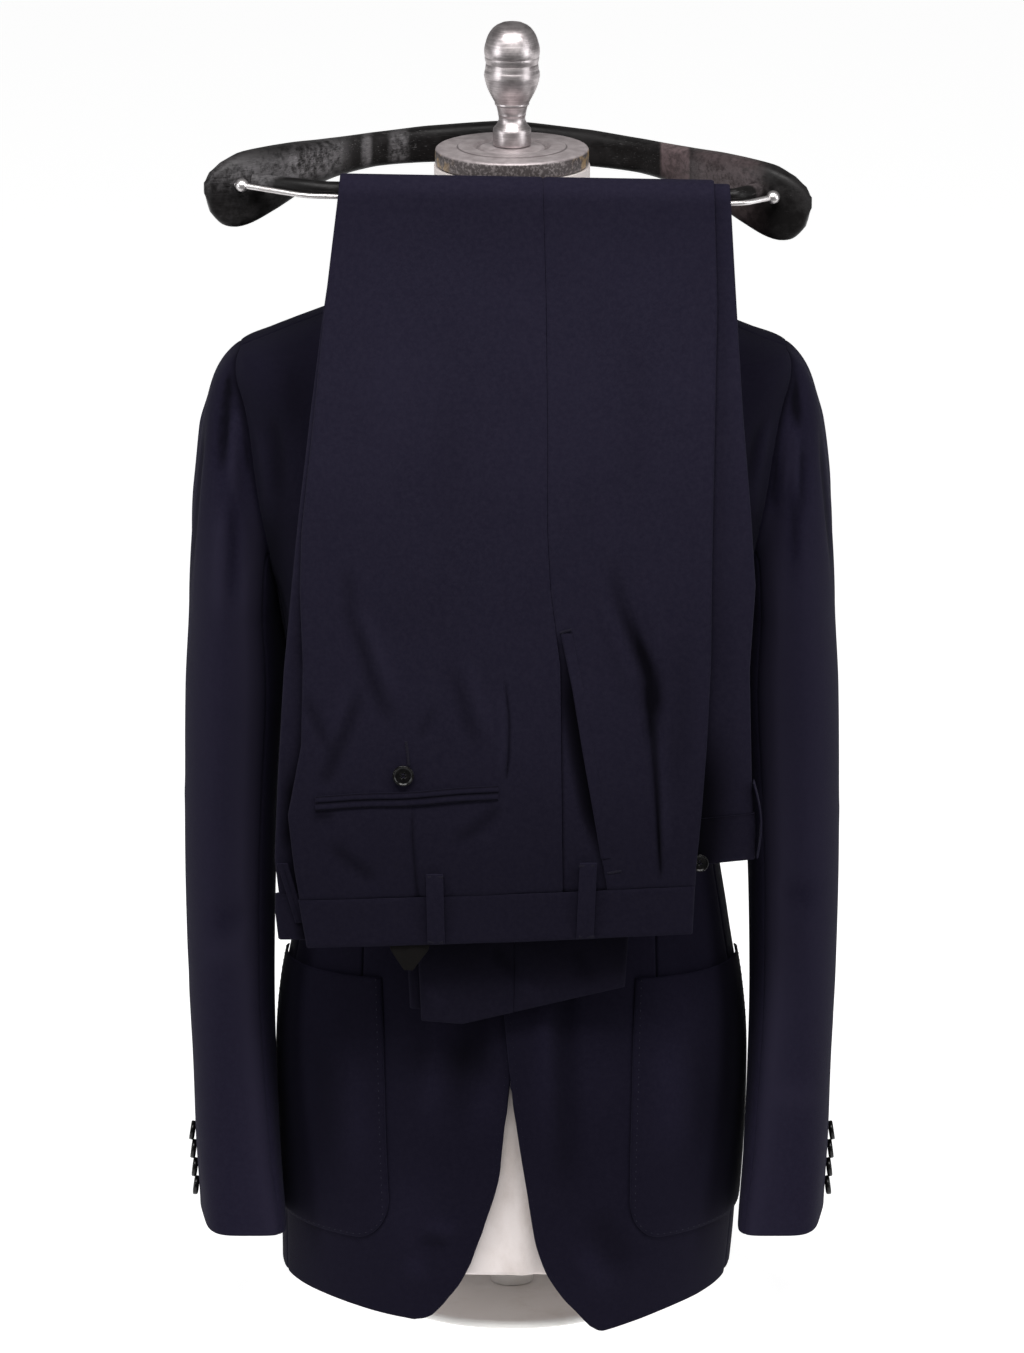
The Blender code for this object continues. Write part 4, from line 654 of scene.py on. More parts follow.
# soft folds over it, each drawn as it is seen from its own side
jacketFolds = {"scale": 1.6, "shade": 0.42, "lines": {
    "front": [
        (60, 11, (0.4, 0.4), [(-684, 947), (-528, 903), (-349, 902)]),
        (50, -11, (0.4, 0.4), [(-722, 804), (-595, 790), (-446, 774)]),
        (80, 10, (0.4, 0.4), [(-834, 653), (-685, 558), (-581, 565)]),
        ((80, 140), -14, (0.2, 0.5), [(-252, 2720), (-311, 2063), (-423, 1597)]),
        ((60, 120), 12, (0.3, 0.5), [(-520, 2700), (-560, 2200), (-640, 1500)]),
        ((70, 120), -16, (0.1, 0.5), [(385, 2850), (400, 2060), (408, 1442), (430, 900)]),
        ((60, 120), 12, (0.2, 0.6), [(240, 2700), (250, 2000), (300, 1300)]),
        (120, -10, (0.4, 0.4), [(600, 1100), (750, 750), (1000, 520)]),
        (90, 9, (0.4, 0.4), [(500, 850), (620, 550), (830, 340)]),
        ((30, 50), 12, (0.3, 0.4), [(1915, 6980), (1850, 6760), (1795, 6500), (1760, 6100)]),
        ((30, 60), -10, (0.3, 0.4), [(1850, 7000), (1780, 6720), (1730, 6400)]),
        ((30, 60), 10, (0.3, 0.4), [(-1890, 6940), (-1830, 6700), (-1790, 6400), (-1770, 6000)]),
        ((40, 70), -11, (0.3, 0.4), [(-1790, 7050), (-1725, 6750), (-1700, 6300)]),
        (70, -12, (0.3, 0.6), [(120, 3980), (400, 4120), (850, 4300)]),
        (60, -10, (0.3, 0.6), [(120, 3880), (450, 3720), (900, 3520)]),
        (70, -12, (0.3, 0.6), [(-120, 4000), (-450, 4180), (-900, 4400)]),
        (60, -10, (0.3, 0.6), [(-120, 3900), (-500, 3700), (-950, 3450)]),
        (8, -9, (0.0, 0.1), [(1075, 2720), (1058, 3600), (1040, 4500), (1015, 5500)]),
        (8, -9, (0.0, 0.1), [(-1113, 2720), (-1088, 3600), (-1060, 4500), (-1028, 5500)]),
    ],
    "back": [
        ((100, 160), -22, (0.3, 0.5), [(1480, 6500), (1180, 5750), (920, 4900)]),
        ((80, 140), 18, (0.3, 0.5), [(1280, 6650), (980, 5900), (700, 5000)]),
        ((100, 150), -20, (0.3, 0.5), [(-1520, 6400), (-1200, 5700), (-980, 4700)]),
        ((80, 130), 17, (0.3, 0.5), [(-1300, 6550), (-1040, 5800), (-780, 4850)]),
        (80, -16, (0.4, 0.4), [(300, 3920), (700, 3980), (1150, 4100)]),
        (60, 12, (0.4, 0.4), [(350, 4080), (750, 4140), (1100, 4280)]),
        (70, -15, (0.4, 0.4), [(-250, 4000), (-700, 4040), (-1200, 4180)]),
        (60, -12, (0.4, 0.4), [(-400, 3800), (-800, 3760), (-1120, 3660)]),
        ((80, 160), -22, (0.3, 0.3), [(550, 2500), (600, 1500), (680, 400)]),
        ((70, 140), 18, (0.3, 0.3), [(850, 2700), (940, 1600), (1020, 400)]),
        ((80, 150), -20, (0.3, 0.3), [(-480, 2300), (-600, 1300), (-700, 350)]),
        ((70, 150), 18, (0.3, 0.3), [(-900, 2600), (-960, 1500), (-1100, 400)]),
        (100, -13, (0.4, 0.5), [(200, 7520), (600, 7350), (1050, 7150)]),
        (100, -12, (0.4, 0.5), [(-200, 7500), (-650, 7350), (-1000, 7120)]),
    ],
    "left": [
        (80, -16, (0.4, 0.4), [(-600, 3980), (0, 3880), (550, 3960)]),
        (70, 12, (0.4, 0.4), [(-400, 4150), (100, 4080), (500, 4160)]),
        ((70, 140), -18, (0.3, 0.3), [(100, 3000), (40, 1800), (-60, 450)]),
        ((70, 130), 15, (0.3, 0.3), [(450, 2900), (420, 1700), (360, 450)]),
    ],
    "right": [
        (80, -15, (0.4, 0.4), [(-550, 3920), (0, 3840), (600, 4000)]),
        (70, -12, (0.4, 0.4), [(-450, 4200), (50, 4180), (480, 4300)]),
        ((70, 140), -18, (0.3, 0.3), [(140, 2900), (100, 1700), (20, 450)]),
        ((70, 130), 14, (0.3, 0.3), [(500, 2800), (500, 1600), (440, 450)]),
    ],
}}


def bodyPoint(angle, row):
    part = {name: smoothRows(bodyShape[name], row) for name in bodyShape}
    across, along = np.sin(angle), np.cos(angle)
    power = 2 / part["squareness"]
    x = part["shiftX"] + part["halfWidth"] * signedPower(across, power)
    depth = np.where(along > 0, part["frontDepth"], part["backDepth"])
    return np.stack([x, -depth * signedPower(along, power), part["z"]], axis=-1)


def bodySurface(angle, z, out=0.0):
    angle, z = np.broadcast_arrays(np.radians(angle), np.asarray(z, float))
    row = np.interp(z, denseZ, denseRows)
    step = 1e-3
    around = bodyPoint(angle + step, row) - bodyPoint(angle - step, row)
    up = bodyPoint(angle, row + step) - bodyPoint(angle, row - step)
    normal = unit(np.cross(around, up))
    return bodyPoint(angle, row) + normal * np.asarray(out)[..., None]


def frontAngle(x, z):
    row = np.interp(z, denseZ, denseRows)
    part = {name: smoothRows(bodyShape[name], row)
            for name in ("halfWidth", "squareness", "shiftX")}
    share = np.clip((x - part["shiftX"]) / part["halfWidth"], -1, 1)
    return np.degrees(np.arcsin(signedPower(share, part["squareness"] / 2)))


def seamHalfGap(z):
    return np.degrees(0.5 * seamGap / lookUp(bodyShape, "z", "halfWidth", z))


def armholeReach(z):
    hole = jacket["armhole"]
    share = np.clip(np.abs(z - hole["z"]) / hole["half"], 0, 1)
    return (1 - share ** (2 / hole["power"])) ** (hole["power"] / 2)


def armholeFront(z):
    return 90 - jacket["armhole"]["front"] * armholeReach(z)


def armholeBack(z):
    return 90 + jacket["armhole"]["back"] * armholeReach(z)


def armholeLow(angle):
    hole = jacket["armhole"]
    extent = np.where(angle < 90, hole["front"], hole["back"])
    share = np.clip(np.abs(angle - 90) / extent, 0, 1)
    return hole["z"] - hole["half"] * (1 - share ** (2 / hole["power"])) ** (hole["power"] / 2)


shoulderTip = jacket["armhole"]["z"] + jacket["armhole"]["half"]
frontCorner = float(armholeLow(np.array(jacket["frontSeam"])))
backCorner = float(armholeLow(np.array(jacket["backSeam"])))


def neckSeam(angle):
    return lookUp(neckSeamLine, "angle", "z", np.abs(angle))


def lap(inset, z, side):
    if side == "right":
        return np.zeros_like(inset)
    return (jacket["lapRise"] * (1 - smoothStep(inset, *jacket["lapEdge"]))
            * (1 - smoothStep(z, *jacket["lapTop"])))


def bodyRows(top, corner):
    # heights of a panel's rows, close together at the hem and where the armhole turns
    low = jacket["hemZ"]
    rows = low + (top - low) * ladder(top - low, jacket["step"])
    turns = [corner + step for step in (-0.001, 0, 0.0008, 0.002, 0.004)]
    turns += [shoulderTip + step for step in (-0.0045, -0.002, -0.0008, -0.0002, 0, 0.001)]
    return np.unique(np.round(np.concatenate([rows, turns]), 5))


def spotShade(points):
    shade = np.zeros(points.shape[:2])
    for *place, amount in jacketSpots:
        x, z, wide, high = np.array(place) / tenths
        away = ((points[..., 0] - x) / wide) ** 2 + ((points[..., 2] - z) / high) ** 2
        shade += amount * np.exp(-away)
    return shade * (points[..., 1] < 0)


def makePanel(name, side, angle, z, out=0.0, wall=jacket["wall"], folds=jacketFolds["lines"],
              joined=(), *, rolls, bulge):
    base = bodySurface(signs[side] * angle, z)
    normal = bodySurface(signs[side] * angle, z, 1.0) - base
    fold = jacketFolds["scale"] * foldedOut(base, normal, folds)
    outer = base + normal * (out + fold + edgeRoll(base, rolls))[..., None]
    inner = outer - normal * wall
    for column, beside in joined:
        # a seam's allowance closes the gap from behind
        inner[:, column] += unit(inner[:, column] - inner[:, beside]) * jacket["allowance"]
    mesh = shellMesh(outer, inner, clothUv(outer), bulge)
    addPaintedShade(addPiece(name + side.title(), mesh, jacketWool),
              foldShade(fold, base=jacketFolds["shade"]) + spotShade(base))
    return outer, normal


def frontGrid(side, shares, rows):
    edge, hem, sign = frontEdges[side], hemLines[side], signs[side]
    footAngle = abs(frontAngle(sign * edge["inset"][0], edge["z"][0]))
    foot = footAngle + (jacket["frontSeam"] - footAngle) * shares[0]
    inset = sign * bodySurface(sign * foot, jacket["hemZ"])[:, 0]
    underPanel = np.clip(inset, hem["inset"][0], hem["inset"][-1])
    hemDrop = jacket["hemZ"] - lookUp(hem, "inset", "z", underPanel)
    low = np.clip(1 - (rows - jacket["hemZ"]) / jacket["hemBlend"], 0, 1)
    z = rows[:, None] - low[:, None] * hemDrop
    edgeX = lookUp(edge, "z", "inset", z[:, 0])
    first = np.abs(frontAngle(sign * edgeX, z[:, 0])) * np.sign(edgeX)
    last = np.where(rows < frontCorner, jacket["frontSeam"], armholeFront(rows))
    last = np.where(rows >= shoulderTip - 1e-6, 90.0, last) - seamHalfGap(rows)
    angle = first[:, None] + (last - first)[:, None] * shares
    top = np.clip((rows - shoulderTip) / (rows[-1] - shoulderTip), 0, 1)
    neckRise = neckSeam(angle[-1]) - seamGap - rows[-1]
    return angle, z + top[:, None] * neckRise


def makeFront(side):
    rows = bodyRows(jacket["frontTop"], frontCorner)
    sign, edge = signs[side], frontEdges[side]
    z = np.minimum(rows, 0.7)
    first = frontAngle(lookUp(edge, "z", "inset", z), z)
    dart = frontAngle(lookUp(frontDarts[side], "z", "inset", z), z)
    middle = (dart - first) / (jacket["frontSeam"] - first)
    half = ladder(jacket["halfFront"], jacket["step"])
    shares = splitShares([np.clip(middle, 0.2, 0.7)], [half, half])
    angle, z = frontGrid(side, shares, rows)
    inset = sign * bodySurface(sign * angle, z)[..., 0]
    return makePanel("jacketFront", side, angle, z, lap(inset, z, side), joined=((-1, -2),),
                     rolls=(jacket["turned"], jacket["seam"]) * 2,
                     bulge=(jacket["rim"], 0) * 2)


# a panel sewn on along both sides, its hem turned up
sewnBothSides = {"joined": ((0, 1), (-1, -2)), "bulge": (0, 0, jacket["rim"], 0),
                 "rolls": (jacket["seam"],) * 2 + (jacket["turned"], jacket["seam"])}


def makeSideBody(side):
    share = ladder(jacket["sideWidth"], jacket["step"])
    angle = jacket["frontSeam"] + (jacket["backSeam"] - jacket["frontSeam"]) * share
    low = jacket["hemZ"]
    up = ladder(jacket["sideHeight"], jacket["step"])[:, None]
    z = low + (armholeLow(angle) - low) * up
    angle = angle + seamHalfGap(z) * (1 - 2 * share)
    makePanel("jacketSide", side, angle, z, **sewnBothSides)


def makeBack(side):
    rows = bodyRows(jacket["backTop"], backCorner)
    gap = seamHalfGap(rows)
    first = np.where(rows < backCorner, jacket["backSeam"], armholeBack(rows))
    first = np.where(rows >= shoulderTip - 1e-6, 90.0, first) + gap
    angle = first[:, None] + (180 - gap - first)[:, None] * ladder(*jacket["back"])
    top = np.clip((rows - shoulderTip) / (rows[-1] - shoulderTip), 0, 1)
    rise = neckSeam(angle[-1]) - seamGap - rows[-1]
    makePanel("jacketBack", side, angle, rows[:, None] + top[:, None] * rise, **sewnBothSides)


# lapels, collar and patch pockets lie on the fronts

lapel = {"foot": {"left": 0.425, "right": 0.48}, "out": 0.0031, "edge": (0.0004, 0.0016),
         "behindRoll": 0.0012, "belly": (0.0016, 0.12), "across": (0.08, 0.0035),
         "along": (0.3, 0.0045),
         "width": columns("z width", (4200, 60), (4600, 240), (5000, 400), (5600, 580),
                          (6200, 720), (6800, 830), (7200, 880)),
         "gorge": columns("across z", (0.0, 7580), (0.55, 7240), (1.0, 7040))}
collar = {
    "stand": 0.028, "lower": 0.55, "fallOut": (0.0034, 0.0026),
    "standLine": [(0.0, 0.04), (-0.0012, 0.45), (-0.0012, 0.82), (0.001, 1.0), (0.0045, 0.97),
                  (0.0068, 0.62)],
    "fall": columns("angle near far", (40, 80, 300), (65, 50, 160), (90, 30, 85),
                    (140, 40, 120), (180, 40, 140)),
}
patchPocket = {
    "top": 0.278, "bottom": 0.0775, "outerAngle": 92.0, "corner": 0.032, "topDrop": 0.008,
    "wall": 0.0013, "out": 0.0024, "crown": 0.0009, "edge": (0.0008, 0.0017),
    "mouth": (0.0002, 0.001), "inner": {"left": (0.086, 0.0917), "right": (0.092, 0.097)},
    "widthAt": 0.18, "across": (0.1, 0.003), "along": (0.197, 0.0036),
    "folds": {
        "front": [
            ((100, 140), -8, (0.35, 0.4), [(-1400, 2450), (-1380, 1637), (-1400, 956)]),
            ((80, 120), 8, (0.35, 0.4), [(-1180, 2400), (-1130, 1700), (-1150, 1100)]),
            ((100, 150), 9, (0.35, 0.4), [(1120, 2500), (1155, 1912), (1192, 1237)]),
            ((80, 120), -8, (0.35, 0.4), [(1360, 2500), (1400, 1800), (1420, 1150)]),
        ],
    },
}


def makeLapel(side):
    edge = frontEdges[side]
    across, rows = ladder(*lapel["across"]), ladder(*lapel["along"])
    top = np.interp(across, lapel["gorge"]["across"], lapel["gorge"]["z"])
    foot = lapel["foot"][side]
    z = foot + (top - foot) * rows[:, None]
    roll = lookUp(edge, "z", "inset", z)
    widths = lapel["width"]
    width = lookUp(widths, "z", "width", np.clip(z, widths["z"][0], widths["z"][-1]))
    inset = roll - lapel["behindRoll"] + width * across
    angle = np.abs(frontAngle(signs[side] * inset, z)) * np.sign(inset)
    depth, reach = lapel["belly"]
    belly = depth * np.sin(np.pi * across) * smoothStep(z, foot, foot + reach)
    return makePanel("lapel", side, angle, z, lap(inset, z, side) + lapel["out"] + belly,
                     folds={}, rolls=(lapel["edge"],) * 4, bulge=(0.4,) * 4)


def makeCollar():
    turn = np.concatenate([np.linspace(44, 166, 60), [173]])
    angle = np.concatenate([-turn, [180], turn[::-1]])
    turn = np.abs(angle)
    seamZ = neckSeam(turn)
    base = bodySurface(angle, seamZ, -jacket["wall"] / 2)
    away = bodySurface(angle, seamZ, 1.0) - bodySurface(angle, seamZ)
    away[:, 2] = 0
    away = unit(away)
    up = np.array([0, 0, 1.0])
    height = collar["stand"] * (1 - collar["lower"] * smoothStep(90 - turn, 0, 50))
    rows = [base + away * out + up * (seamGap + height * share)[:, None]
            for out, share in collar["standLine"]]
    for edge, out in zip(("near", "far"), collar["fallOut"]):
        drop = lookUp(collar["fall"], "angle", edge, turn)
        rows.append(bodySurface(angle, seamZ - drop, out))
    rows = np.array(rows)
    at = np.linspace(0, len(rows) - 1, 38)
    flat = rows.reshape(len(rows), -1)
    centre = np.stack([smoothRows(flat[:, i], at) for i in range(flat.shape[1])], axis=-1)
    centre = centre.reshape(len(at), len(angle), 3)
    normal = unit(np.cross(np.gradient(centre, axis=1), np.gradient(centre, axis=0)))
    half = normal * jacket["wall"] / 2
    mesh = shellMesh(centre + half, centre - half, clothUv(centre), (0.4, 0.4, 0.3, 0.4))
    addPiece("collarCloth", mesh, jacketWool, node="collar")


def makePatchPocket(side):
    pocket, sign = patchPocket, signs[side]
    bottomX, topX = pocket["inner"][side]
    across, rows = ladder(*pocket["across"]), ladder(*pocket["along"])
    height = pocket["top"] - pocket["bottom"]
    flat = pocket["bottom"] + height * rows[:, None] + 0 * across
    innerX = bottomX + (topX - bottomX) * rows
    first = np.abs(frontAngle(sign * innerX, flat[:, 0]))
    angle = first[:, None] + (pocket["outerAngle"] - first)[:, None] * across
    width = lookUp(bodyShape, "z", "halfWidth", np.array(pocket["widthAt"]))
    edge = np.minimum(across, 1 - across) * (pocket["outerAngle"] - first[0])
    reach = np.clip(1 - np.radians(edge) * width / pocket["corner"], 0, 1)
    lift = pocket["corner"] * (1 - np.sqrt(1 - reach ** 2))
    z = flat + lift * (1 - rows[:, None]) - pocket["topDrop"] * rows[:, None] * across
    crown = pocket["crown"] * np.sin(np.pi * across) ** 0.5 * np.sin(
        np.pi * np.clip(rows, 0, 0.8) / 1.6)[:, None]
    return makePanel("patchPocket", side, angle, z, pocket["out"] + crown, pocket["wall"],
                     pocket["folds"], rolls=(pocket["edge"],) * 3 + (pocket["mouth"],),
                     bulge=(0.4, 0.4, 0.4, 0.5))


pocketGrids, frontGrids = {}, {}
for side in signs:
    frontGrids[side] = makeFront(side)
    makeSideBody(side)
    makeBack(side)
    makeLapel(side)
    pocketGrids[side] = makePatchPocket(side)
makeCollar()
print("jacket body made")


# sleeves: sections hung from the armhole, their front edges turned in by lean

sleeveShape = columns(
    "z outerX innerX centreY halfDepth squareness lean",
    (5400, 2405, 1765, 40, 800, 2.4, 0), (4800, 2434, 1728, -40, 760, 2.4, 0),
    (4000, 2444, 1745, -120, 710, 2.4, 10), (3300, 2443, 1768, -200, 675, 2.45, 20),
    (2500, 2421, 1778, -300, 635, 2.5, 30), (1900, 2388, 1765, -400, 590, 2.7, 40),
    (1300, 2362, 1742, -510, 545, 3.1, 50), (770, 2320, 1715, -585, 500, 4.2, 60))
sleeve = {"clear": 0.0003, "seams": (-100.0, 125.0), "wall": 0.0014, "folds": 1.5,
          "radius": 0.05, "along": (0.4775, 0.0048),
          "across": {"Top": (0.2, 0.0042), "Under": (0.15, 0.005)},
          "headSeam": (0.0003, 0.0018), "flange": (0.004, 0.0012),
          "vent": (-26.0, 0.15, 0.0007), "swell": (0.0062, 0.515, 0.1), "rim": 0.42,
          "shade": (0.16, 0.64, 0.7), "headShade": (0.6, 0.018), "creaseDepth": 0.0042,
          "lit": ((64, 34, 0.3), (107, 15, 1.15), (4, 22, -0.1), (152, 17, -0.5)),
          "litHeights": (0.55, 0.68), "litLow": (0.35, 0.1, 0.36)}
sleeveHead, sleeveHem = float(sleeveShape["z"][0]), float(sleeveShape["z"][-1])
sleeveShape["drop"] = sleeveHead - sleeveShape["z"]
sleeveFolds = {
    "front": [
        ((28, 34), -34, (0.12, 0.45), [(-2034, 7230), (-2094, 7088), (-2126, 6826),
          (-2156, 6420)]),
        ((30, 36), 22, (0.2, 0.4), [(-2023, 6981), (-2042, 6688), (-2049, 6292)]),
        ((26, 34), -34, (0.12, 0.4), [(-1995, 7122), (-1950, 6904), (-1936, 6686), (-1923, 6432)]),
        ((35, 50), -14, (0.3, 0.4), [(-2050, 6391), (-2047, 5926), (-2053, 5402)]),
        ((40, 60), 12, (0.3, 0.5), [(-2144, 6320), (-2154, 5820), (-2164, 5220)]),
        ((26, 36), -34, (0.12, 0.45), [(2032, 7271), (2071, 7146), (2093, 7005), (2119, 6770)]),
        ((26, 34), -36, (0.12, 0.45), [(1927, 7040), (1936, 6831), (1930, 6686), (1923, 6502),
          (1942, 6130)]),
        ((30, 34), 22, (0.2, 0.4), [(2002, 6982), (2017, 6688), (2010, 6334)]),
        ((30, 40), -16, (0.3, 0.5), [(2122, 6756), (2137, 6532), (2134, 6043)]),
        ((30, 40), 14, (0.3, 0.5), [(2079, 6936), (2090, 6579), (2090, 6106)]),
        ((30, 45), -14, (0.3, 0.5), [(2068, 6523), (2079, 6146), (2077, 5601)]),
        (100, -8, (0.4, 0.4), [(-1860, 3300), (-2070, 3180), (-2300, 3120)]),
        (90, 7, (0.4, 0.4), [(-1880, 3000), (-2100, 2920), (-2320, 2900)]),
        (100, -8, (0.4, 0.4), [(1900, 3450), (2120, 3350), (2360, 3300)]),
        (90, 7, (0.4, 0.4), [(1880, 1900), (2100, 1820), (2320, 1840)]),
    ],
    "left": [
        ((40, 80), -24, (0.2, 0.5), [(300, 7050), (360, 6400), (300, 5600)]),
        ((40, 80), 18, (0.2, 0.5), [(180, 7000), (220, 6400), (180, 5700)]),
        ((50, 90), -20, (0.3, 0.5), [(-300, 6900), (-340, 6200), (-280, 5400)]),
        ((80, 120), -10, (0.4, 0.4), [(560, 4300), (200, 4050), (-200, 4000)]),
        ((80, 120), 4, (0.4, 0.4), [(500, 4000), (120, 3820), (-300, 3840)]),
        (80, -12, (0.4, 0.4), [(350, 2500), (0, 2350), (-400, 2400)]),
    ],
    "right": [
        ((40, 80), -24, (0.2, 0.5), [(340, 7000), (400, 6300), (340, 5500)]),
        ((40, 80), 18, (0.2, 0.5), [(200, 6950), (260, 6300), (200, 5600)]),
        ((50, 90), -20, (0.3, 0.5), [(-260, 6950), (-300, 6150), (-240, 5300)]),
        ((80, 120), -10, (0.4, 0.4), [(500, 4400), (180, 4200), (-240, 4120)]),
        ((80, 120), 4, (0.4, 0.4), [(520, 4120), (140, 3960), (-300, 3920)]),
        (80, -12, (0.4, 0.4), [(300, 2700), (-40, 2580), (-400, 2620)]),
    ],
    "back": [
        ((40, 70), -22, (0.2, 0.5), [(1980, 6900), (2080, 6300), (2120, 5600)]),
        ((40, 70), -20, (0.2, 0.5), [(-1960, 6900), (-2060, 6250), (-2100, 5550)]),
        (70, -18, (0.4, 0.4), [(1880, 4200), (2080, 4050), (2300, 4080)]),
        (70, -18, (0.4, 0.4), [(-1880, 4250), (-2100, 4120), (-2320, 4180)]),
    ],
}


def armholePoint(turn, side):
    hole = jacket["armhole"]
    across, along = np.sin(turn), np.cos(turn)
    z = hole["z"] + hole["half"] * signedPower(along, hole["power"])
    extent = np.where(across > 0, -hole["front"], hole["back"])
    angle = 90 + extent * np.abs(across) ** hole["power"]
    point = bodySurface(signs[side] * angle, z)
    point[..., 0] += signs[side] * sleeve["clear"]
    return point


def sleevePoint(turn, down, side):
    # down runs 0 to 1 over the sleeve head, 1 to 2 from there to the hem
    head = armholePoint(turn, side)
    z = sleeveHead + (sleeveHem - sleeveHead) * np.clip(down - 1, 0, 1.2)
    part = {name: lookUp(sleeveShape, "drop", name, sleeveHead - z) for name in sleeveShape}
    power = 2 / part["squareness"]
    swell, middle, reach = sleeve["swell"]
    innerX = part["innerX"] - swell * np.exp(-((z - middle) / reach) ** 2)
    centre, half = ((part["outerX"] + s * innerX) / 2 for s in (1, -1))
    forward = signedPower(np.sin(turn), power)
    x = centre + half * signedPower(np.cos(turn), power) - part["lean"] * forward
    y = part["centreY"] - part["halfDepth"] * forward
    ring = np.stack([signs[side] * x, y, z + 0 * x], axis=-1)
    t = np.clip(down, 0, 1)
    drift = 1 - (1 - t) ** 1.6
    roll = 0.5 * (1 - (1 - t) ** 12) + 0.5 * drift
    return head + (ring - head) * np.stack([roll, drift, t], axis=-1)


def sleeveSurface(turn, down, side, out=0.0):
    turn, down = np.broadcast_arrays(np.radians(turn), np.asarray(down, float))
    step = 1e-3
    low = np.maximum(down - step, 0)
    around = sleevePoint(turn + step, down, side) - sleevePoint(turn - step, down, side)
    along = sleevePoint(turn, down + step, side) - sleevePoint(turn, low, side)
    normal = unit(np.cross(around, along)) * signs[side]
    return sleevePoint(turn, down, side) + normal * np.asarray(out)[..., None]


def makeSleeve(side):
    backSeam, frontSeam = sleeve["seams"]
    head = np.concatenate([[0, 0.002, 0.006, 0.012, 0.02, 0.03, 0.042, 0.056, 0.072],
                           np.linspace(0.09, 1, 44)])
    down = np.concatenate([head[:-1], 1 + ladder(*sleeve["along"], start=False)])
    gap = math.degrees(0.5 * seamGap / sleeve["radius"])
    spans = {"Top": (backSeam + gap, frontSeam - gap),
             "Under": (frontSeam + gap, backSeam + 360 - gap)}
    for name, (start, end) in spans.items():
        shares = ladder(*sleeve["across"][name])
        turn, downs = np.meshgrid(start + (end - start) * shares, down)
        base = sleeveSurface(turn, downs, side)
        normal = sleeveSurface(turn, downs, side, 1.0) - base
        fold = sleeve["folds"] * foldedOut(base, normal, sleeveFolds)
        rise = fold * smoothStep(downs, 0.01, 0.12) + edgeRoll(base, (
            jacket["seam"], jacket["seam"], sleeve["headSeam"], jacket["turned"]))
        if name == "Top":
            ventTurn, ventZ, ventDepth = sleeve["vent"]
            line = np.exp(-((turn - ventTurn) / 0.9) ** 2) * (base[..., 2] < ventZ)
            rise = rise - ventDepth * line
        outer = base + normal * rise[..., None]
        inner = outer - normal * sleeve["wall"]
        # the head's seam allowance, turned in behind the body
        across, behind = sleeve["flange"]
        inner[0] = outer[0] - normal[0] * behind
        inner[0, :, 0] -= signs[side] * across
        mesh = shellMesh(outer, inner, clothUv(outer, len(shares) // 2), (0, 0, 0, sleeve["rim"]))
        addPaintedShade(addPiece(f"sleeve{name}{side.title()}", mesh, jacketWool),
                  sleeveShade(fold, turn, downs, base[..., 2]))


def sleeveShade(fold, turn, downs, height):
    # creases, the head under the shoulder, and broad lights and shades round the arm
    shade = foldShade(fold, sleeve["creaseDepth"]) * smoothStep(downs, 0.0, 0.03)
    amount, low, high = sleeve["shade"]
    shade += amount * smoothStep(height, low, high)
    amount, reach = sleeve["headShade"]
    shade += amount * np.exp(-downs / reach)
    least, low, high = sleeve["litLow"]
    lit = 1 - smoothStep(height, *sleeve["litHeights"])
    lit = lit * (least + (1 - least) * smoothStep(height, low, high))
    for middle, reach, amount in sleeve["lit"]:
        shade -= amount * lit * np.exp(-((turn - middle) / reach) ** 2)
    return shade


for side in signs:
    makeSleeve(side)
print("sleeves made")


# trousers: a stack of layers that hangs from the waist up over the bar and down behind it

hang = {
    "foldTop": 0.8759, "roll": 0.018, "crease": 0.003, "wall": 0.001, "rim": 0.4,
    "outside": (0.0046, 0.002), "inside": (0.0004, 0.0002), "press": (0.02, 0.16),
    "spread": (0.0032, 0.44, 0.6), "bulge": (0.0055, 0.38, 0.66, 0.21),
    "low": 0.44, "rearLow": 0.35, "step": 0.0037, "rearStep": 0.012,
    "rightStep": 0.005, "waistZ": 0.36, "waistRows": 0.085, "hemDrop": 0.07, "hemRows": 0.075,
    "edgeColumns": 9, "tuckColumns": 0.15,
    "seam": (0.0007, 0.0014), "waist": (0.0006, 0.0013), "hem": (0.0004, 0.0012),
    "folds": 1.7, "foldLimits": (-0.002, 0.0045), "wave": 0.00035,
    # dusk and endShade are painted shade: darker towards the bottom of the front drop, and on the
    # hanging ends
    "dusk": 0.3, "duskEnds": (0.36, 0.52), "endShade": (0.4, 0.25), "endRuns": (1.3, 1.42),
}
frontDrop = columns(
    "z y",
    (3000, -1575), (3800, -1562), (4500, -1545), (5400, -1515), (6000, -1474), (6600, -1378),
    (7200, -1212), (7700, -1052), (8200, -930), (8640, -894))
rearDrop = columns(
    "z y",
    (8640, -665), (8200, -748), (7700, -925), (7200, -1095), (6600, -1270), (6000, -1366),
    (5400, -1390), (4500, -1395), (2400, -1400))
foldBase = float(frontDrop["z"][-1])    # where the cloth begins to turn over the bar
